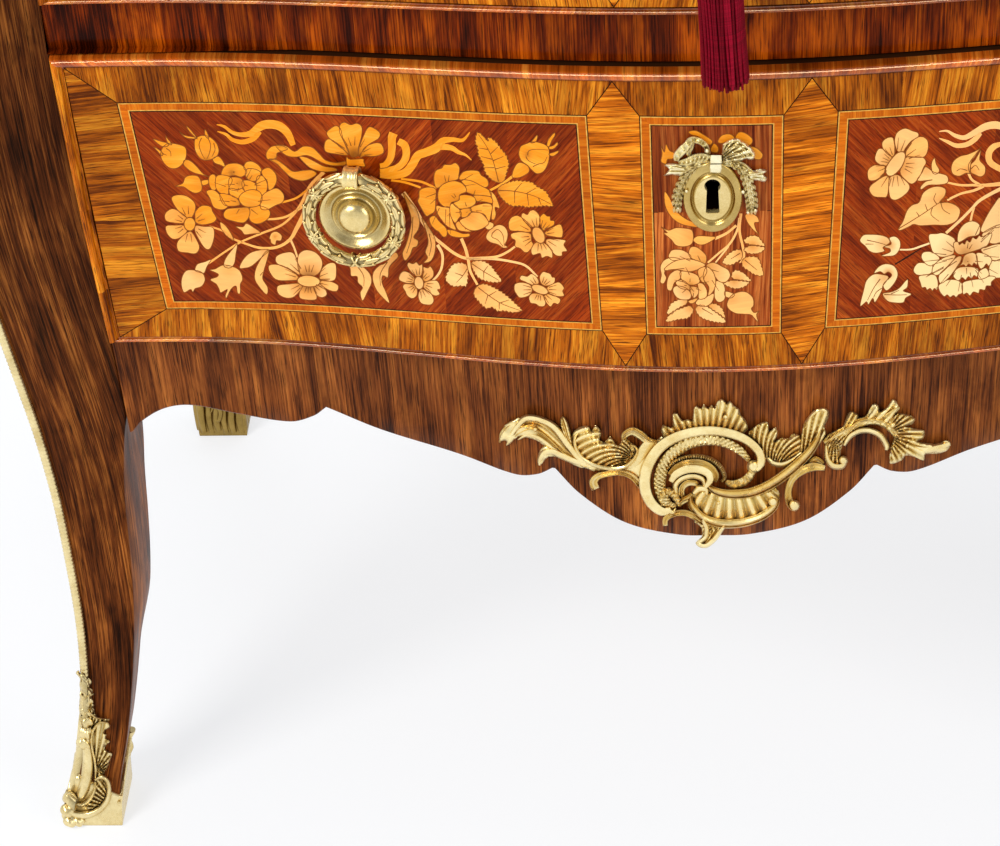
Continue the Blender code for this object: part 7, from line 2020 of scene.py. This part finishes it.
def sweep(build, path, radius, mat, sides=12, ply=0, twist=0.0, groove=0.0, tone=(0.5, 0, 0.5), turn=0.0, closed=False):
    """A tube along a path; ply makes it of so many strands, laid with that twist in turns per metre."""
    p = np.asarray(path, float)
    d = np.gradient(p, axis=0) if not closed else np.roll(p, -1, axis=0) - np.roll(p, 1, axis=0)
    d /= np.linalg.norm(d, axis=1)[:, None]
    up = np.array((0.0, 1.0, 0.0)) if abs(d[0][1]) < 0.9 else np.array((1.0, 0.0, 0.0))
    run = np.r_[0, np.cumsum(np.linalg.norm(np.diff(p, axis=0), axis=1))]
    r = along(radius, len(p))
    rings, uvs = [], []
    for k in range(len(p)):
        up = unit(up - d[k] * (up @ d[k]))
        side = np.cross(d[k], up)
        row, uv = [], []
        for i in range(sides):
            a = 2 * math.pi * i / sides
            lay = a * ply + 2 * math.pi * twist * run[k] * ply + turn
            f = 1 - groove * (0.5 - 0.5 * math.cos(lay)) if ply else 1.0
            row.append(p[k] + (up * math.cos(a) + side * math.sin(a)) * r[k] * f)
            uv.append((run[k], a * r[k]))
        rings.append(row)
        uvs.append(uv)
    if closed:
        rings.append(rings[0])
        uvs.append(uvs[0])
    build.grid(rings, mat, uvs, tone, closed=True, caps=not closed)


def key():
    build = Build("door_key")
    bow = [(0.0, BOW_Y + 0.0120 * math.cos(a), KEY_UPP_Z + 0.0098 * math.sin(a)) for a in np.linspace(0, 2 * math.pi, 56, endpoint=False)]
    sweep(build, bow, [0.0021], IRON, 14, closed=True)
    start, end = BOW_Y + 0.0114, -0.1815
    profile = [(0.0, 0.0018), (0.0004, 0.0030), (0.0016, 0.0034), (0.0028, 0.0028), (0.0034, 0.0031), (0.0046, 0.0040), (0.0058, 0.0040), (0.0066, 0.0031), (0.0074, 0.0029), (0.0086, 0.0026)]
    rows = profile + [(end - start - 0.0006, 0.0026), (end - start, 0.0020)]
    ring = [(math.cos(a), math.sin(a)) for a in np.linspace(0, 2 * math.pi, 24, endpoint=False)]
    build.grid([[(r * c, start + t, KEY_UPP_Z + r * d) for c, d in ring] for t, r in rows], IRON, closed=True, caps=True)
    low, y0, y1 = KEY_UPP_Z - 0.0095, -0.1890, -0.1825
    for ya, yb, z in ((y0, y0 + 0.0026, low), (y0 + 0.0026, y0 + 0.0040, low + 0.0026), (y0 + 0.0040, y1, low)):
        build.grid([[(x, ya, z), (x, yb, z), (x, yb, KEY_UPP_Z - 0.0010), (x, ya, KEY_UPP_Z - 0.0010)] for x in (-0.0013, 0.0013)], IRON, closed=True, caps=True)
    return build.finish("key_body", ["key"], "lock_iron", angle=40, tidy=True)


key()


def tassel():
    """Bound head, netted and corded, over a skirt of twisted strands with uneven ends."""
    r0 = random.Random(5)
    build = Build("silk_tassel")
    head = [(0.6710, 0.0012), (0.6706, 0.0030), (0.6694, 0.0048), (0.6672, 0.0064), (0.6645, 0.0072), (0.6615, 0.0074), (0.6588, 0.0068), (0.6570, 0.0056), (0.6562, 0.0052)]
    count = 72
    rows, uvs = [], []
    for z, r in head:
        rows.append([((0.6710 - z) * 0.2 + (r * (1 + 0.045 * math.cos(14 * a + z * 1500) + 0.045 * math.cos(14 * a - z * 1500))) * math.cos(a), BOW_Y + r * (1 + 0.045 * math.cos(14 * a + z * 1500) + 0.045 * math.cos(14 * a - z * 1500)) * math.sin(a), z)
                     for a in np.linspace(0, 2 * math.pi, count, endpoint=False)])
        uvs.append([(z, a * 0.006) for a in np.linspace(0, 2 * math.pi, count, endpoint=False)])
    build.grid(rows, SILK, uvs, (0.5, 0, 0.4), closed=True, caps=True)
    coil = [(0.0029 + 0.0058 * math.cos(a), BOW_Y + 0.0058 * math.sin(a), 0.6568 - a / (2 * math.pi) * 0.0014) for a in np.linspace(0, 2 * math.pi * 4.5, 150)]
    sweep(build, coil, [0.0009], SILK, 8, 2, 500, 0.25, (0.62, 0, 0.7))
    # painted shade: strands in the inner rings are given darker tones than the outer ones
    rings = ((0.0046, 0.0106, 44, 0.55), (0.0038, 0.0090, 34, 0.42), (0.0030, 0.0078, 24, 0.30), (0.0020, 0.0054, 15, 0.25), (0.0010, 0.0028, 7, 0.2))
    for near, far, n, painted_depth_shade_tone in rings:
        for k in range(n):
            a = 2 * math.pi * (k + r0.uniform(-0.18, 0.18)) / n
            bend, wob, phase = r0.uniform(-0.05, 0.05), r0.uniform(0.02, 0.05), r0.uniform(0, 6.28)
            end = TASSEL_END_Z + 0.0022 + r0.uniform(0.0, 0.0030) + r0.choice((0, 0, 0, 0.002))
            path = []
            for t in np.r_[np.linspace(0, 0.985, 36), 0.993, 1.0]:
                z = lerp(0.6556, end, t)
                swell = math.sin(math.pi * min(t * 3.0, 0.5)) ** 0.8
                r = lerp(near, far, swell) * (1 - 0.05 * math.sin(math.pi * t) + 0.04 * t)
                b = a + bend * t + wob * math.sin(7 * t + phase) * 0.5
                path.append((r * math.cos(b) + 0.0031 + 0.0034 * t, BOW_Y + r * math.sin(b), z))
            path = np.array(path)
            size = [0.0006] + [0.00086] * (len(path) - 3) + [0.00074, 0.0003]
            sweep(build, path, size, SILK, 7, 2, 260, 0.30, (painted_depth_shade_tone + r0.uniform(-0.16, 0.22), 0, r0.random()), r0.uniform(0, 6))
    return build.finish("tassel_body", ["tassel"], "silk", angle=80, tidy=True)


fringe = tassel()


def tassel_cord():
    """Twisted cord: up from the tassel's head, round the lower bar of the key's bow, and down again."""
    fall = [(lerp(0.00165, 0.0043, float(smooth(t))), lerp(HEAD_Z + 0.0018, LOOP_Z - 0.0040, t)) for t in np.linspace(0, 1, 26)]
    arc = [(0.0043 * math.cos(a), LOOP_Z - 0.0008 + 0.0043 * math.sin(a)) for a in np.linspace(-0.62, math.pi + 0.62, 44)]
    line = [(x, BOW_Y, z) for x, z in fall[:-2]] + [(x, BOW_Y, z) for x, z in arc] + [(-x, BOW_Y, z) for x, z in fall[:-2][::-1]]
    path = curve(line, 3)
    build = Build("silk_cord")
    sweep(build, path, [0.0012], SILK, 14, 2, 260, 0.22, (0.55, 0, 0.3))
    obj = build.finish("tassel_body", ["tassel_cord"], "silk", angle=80, tidy=True)
    long = float(np.sum(np.linalg.norm(np.diff(path, axis=0), axis=1)))
    return long


CORD_LENGTH = tassel_cord()


# ------------------------------------------------------------------- marble top, sides
def marble_top():
    """Shaped slab with a rounded nose over a hollow moulding."""
    half = [(x, -0.245 + 0.024 * 0.5 * (1 - math.cos(math.pi * min(abs(x) / 0.31, 1)))) for x in np.linspace(0, 0.372, 70)]
    x0, y0 = half[-1]
    half += [(x0 + 0.044 * math.sin(a), y0 + 0.044 * (1 - math.cos(a))) for a in np.linspace(0, math.pi / 2, 16)[1:]]
    x1, y1 = half[-1]
    half += [(lerp(x1, 0.412, t) + 0.004 * math.sin(math.pi * t), lerp(y1, 0.245, t)) for t in np.linspace(0, 1, 50)[1:]]
    half += [(x, 0.245) for x in np.linspace(0.412, 0, 40)[1:-1]]
    line = np.array(half + [(0.0, 0.245)] + [(-x, y) for x, y in half[::-1] if x > 1e-9])
    line[:, 0] *= TOP_HALF_W / np.abs(line[:, 0]).max()
    line[:, 1] += TOP_MID_Y
    d = np.roll(line, -1, axis=0) - np.roll(line, 1, axis=0)
    nrm = np.c_[d[:, 1], -d[:, 0]] / np.linalg.norm(d, axis=1)[:, None]
    nrm *= np.sign(np.sum(nrm * (line - (0, TOP_MID_Y)), axis=1))[:, None]
    profile = [(0.0110, 0.8000), (0.0074, 0.8003), (0.0060, 0.8014), (0.0058, 0.8034), (0.0062, 0.8052), (0.0052, 0.8066), (0.0022, 0.8078), (0.0006, 0.8100), (0.0, 0.8140),
               (0.0003, 0.8180), (0.0014, 0.8216), (0.0036, 0.8244), (0.0064, 0.8257), (0.0100, 0.8260)]
    build = Build("marble_slab")
    build.grid([[(p[0], p[1], z) for p in line - nrm * ins] for ins, z in profile], MARBLE, closed=True, caps=True)
    return build.finish("carcase", ["marble_top"], "marble", angle=40, tidy=True)


marble_top()


def side_panel(side, word):
    """Swelling board veneered in a mitred border, a stringing and four quartered leaves."""
    build = Build(f"{word}_side_veneer")

    def at(a, b, lift=0.0):
        z = lerp(side_low(a), 0.7995, b)
        z0, z1 = leg_front(z) + leg_deep(z) + 0.0006, BACK_Y - spline1(REAR_DEEP, z) - 0.0006
        y = lerp(z0, z1, a)
        return (side * (side_x(y, z) + lift), y, z)

    na, nb = 40, 46
    rings = []
    for i in range(na + 1):
        a = i / na
        near = [at(a, j / nb, -0.0004) for j in range(nb + 1)]
        rings.append(near + [(x - side * 0.0156, y, z) for x, y, z in near[::-1]])
    build.grid(rings, ROSEWOOD, [[(z, y) for _, y, z in row] for row in rings], (0.45, 0, 0.2), closed=True, caps=True, flip=side > 0)

    def patch(corners, mat, grain, tone, lift, n=(20, 20)):
        """A leaf between four (a, b) corners, with its thin edge."""
        c = np.array(corners, float)
        rows, uvs = [], []
        for i in range(n[0] + 1):
            row, uv = [], []
            for j in range(n[1] + 1):
                s, t = i / n[0], j / n[1]
                a, b = (1 - s) * (1 - t) * c[0] + s * (1 - t) * c[1] + s * t * c[2] + (1 - s) * t * c[3]
                x, y, z = at(a, b, lift)
                row.append((x, y, z))
                g = math.radians(grain)
                uv.append((y * math.cos(g) + z * math.sin(g) + tone * 9, -y * math.sin(g) + z * math.cos(g) + tone * 5))
            rows.append(row)
            uvs.append(uv)
        inner = [[(x - side * 0.0006, y, z) for x, y, z in row] for row in rows]
        build.grid([r1 + r2[::-1] for r1, r2 in zip(rows, inner)], mat, [u + u[::-1] for u in uvs], (tone, 0, rng.random()), closed=True, caps=True, flip=side > 0)

    def box(k):
        return [(0.0 + k / 0.36, k / 0.46), (1 - k / 0.36, k / 0.46), (1 - k / 0.36, 1 - k / 0.46), (k / 0.36, 1 - k / 0.46)]

    steps = [(0.0, 0.034, CROSS, 0.0), (0.034, 0.0352, EBONY, 0.00004), (0.0352, 0.0402, BANDING, 0.00006), (0.0402, 0.0414, HOLLY, 0.00008)]
    for k0, k1, mat, lift in steps:
        o, i = box(k0), box(k1)
        for k in range(4):
            quad = [o[k], o[(k + 1) % 4], i[(k + 1) % 4], i[k]]
            if mat is CROSS:
                for m in range(6):
                    part = [lerp(np.array(quad[0]), np.array(quad[1]), m / 6), lerp(np.array(quad[0]), np.array(quad[1]), (m + 1) / 6),
                            lerp(np.array(quad[3]), np.array(quad[2]), (m + 1) / 6), lerp(np.array(quad[3]), np.array(quad[2]), m / 6)]
                    patch(part, mat, (90 if k % 2 == 0 else 0) + rng.uniform(-6, 6), 0.46 + rng.uniform(-0.12, 0.12), lift, (8, 6))
            else:
                patch(quad, mat, 90 if k % 2 == 0 else 0, 0.5 + rng.uniform(-0.06, 0.06), lift, (30, 1))
    f = box(0.0414)
    mid = ((f[0][0] + f[1][0]) / 2, (f[0][1] + f[2][1]) / 2)
    bottom, right, top, left = (mid[0], f[0][1]), (f[1][0], mid[1]), (mid[0], f[2][1]), (f[0][0], mid[1])
    for corners, grain in (([f[0], bottom, mid, left], -52), ([bottom, f[1], right, mid], 52), ([mid, right, f[2], top], -52), ([left, mid, top, f[3]], 52)):
        patch(corners, FIELD, grain, 0.47 + rng.uniform(-0.05, 0.07), 0.00004, (22, 26))
    return build.finish("carcase", [f"{word}_side_panel"], "rosewood", angle=30)


for side, word in ((-1, "left"), (1, "right")):
    side_panel(side, word)

# carried-over boards
for name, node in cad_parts.items():
    mat = None
    if "runner" in name or name.endswith(("_drawer_left_side", "_drawer_right_side")):
        mat = OAK
    elif name.endswith(("_drawer_back", "_drawer_bottom")):
        mat = OAK_X
    elif name in ("bottom_board", "dust_board", "sub_top_board"):
        mat = PINE
    elif name == "back_panel":
        mat = PINE_Z
    elif "lock_case" in name or name == "key":
        mat = IRON
    elif name == "marble_top":
        mat = MARBLE
    elif "side_panel" in name:
        mat = wood("side_" + name, colour("#2A0E07"), colour("#6A2D13"), colour("#A25A24"), axes=(2, 1, 0))
    elif name in ("tassel", "tassel_cord"):
        mat = SILK
    else:
        mat = GILT
    node.data.materials.clear()
    node.data.materials.append(mat)

# ---------------------------------------------------------------------- the stage
floor_mesh = bpy.data.meshes.new("floor")
sweep_up = [(7.0, 0.0), (8.0, 0.03), (9.0, 0.16), (9.8, 0.42), (10.5, 0.85), (11.0, 1.45), (11.3, 2.2), (11.4, 3.2), (11.4, 4.6)]
turns = [2 * math.pi * k / 72 for k in range(72)]
floor_mesh.from_pydata([(r * math.cos(a), r * math.sin(a), z) for r, z in sweep_up for a in turns], [],
                       [tuple(range(72))] + [(i * 72 + k, i * 72 + 72 + k, i * 72 + 72 + (k + 1) % 72, i * 72 + (k + 1) % 72) for i in range(len(sweep_up) - 1) for k in range(72)])
floor_mesh.shade_smooth()
floor = bpy.data.objects.new("floor", floor_mesh)
scene.collection.objects.link(floor)
n = Nodes("pale_floor")
n.set(Base_Color=(0.32, 0.32, 0.32, 1), Roughness=0.6, Emission_Color=(0.975, 1.0, 1.036, 1), Emission_Strength=0.67)
floor_mesh.materials.append(n.mat)

world = bpy.data.worlds.new("studio")
scene.world = world
world.use_nodes = True
world.node_tree.nodes["Background"].inputs[0].default_value = (0.985, 0.995, 1.0, 1)
world.node_tree.nodes["Background"].inputs[1].default_value = 0.405


def lamp(name, at, to, size, power, tint=(1, 1, 1)):
    data = bpy.data.lights.new(name, "AREA")
    data.shape, data.size, data.size_y = "RECTANGLE", size[0], size[1]
    data.energy, data.color = power, tint
    obj = bpy.data.objects.new(name, data)
    scene.collection.objects.link(obj)
    obj.location = at
    obj.rotation_mode = "QUATERNION"
    obj.rotation_quaternion = (Vector(to) - Vector(at)).to_track_quat("-Z", "Y")
    return obj


lamp("key", (-2.0, -2.0, 2.6), (0, 0, 0.45), (1.4, 1.4), 74, (1.0, 0.985, 0.965))
lamp("fill", (2.4, -1.6, 2.0), (0, 0, 0.45), (1.8, 1.8), 26)
lamp("overhead", (0, 0.6, 3.2), (0, 0, 0.4), (2.2, 2.2), 30)

glint = lamp("glint", (0, -1.42, 1.95), (0, -0.20, 0.57), (2.6, 0.8), 110, (1.0, 0.76, 0.48))
glint.visible_diffuse = False
lit = bpy.data.collections.new("glossy_edges")
for obj in beads:
    lit.objects.link(obj)
glint.light_linking.receiver_collection = lit

scene.view_settings.view_transform = "Standard"
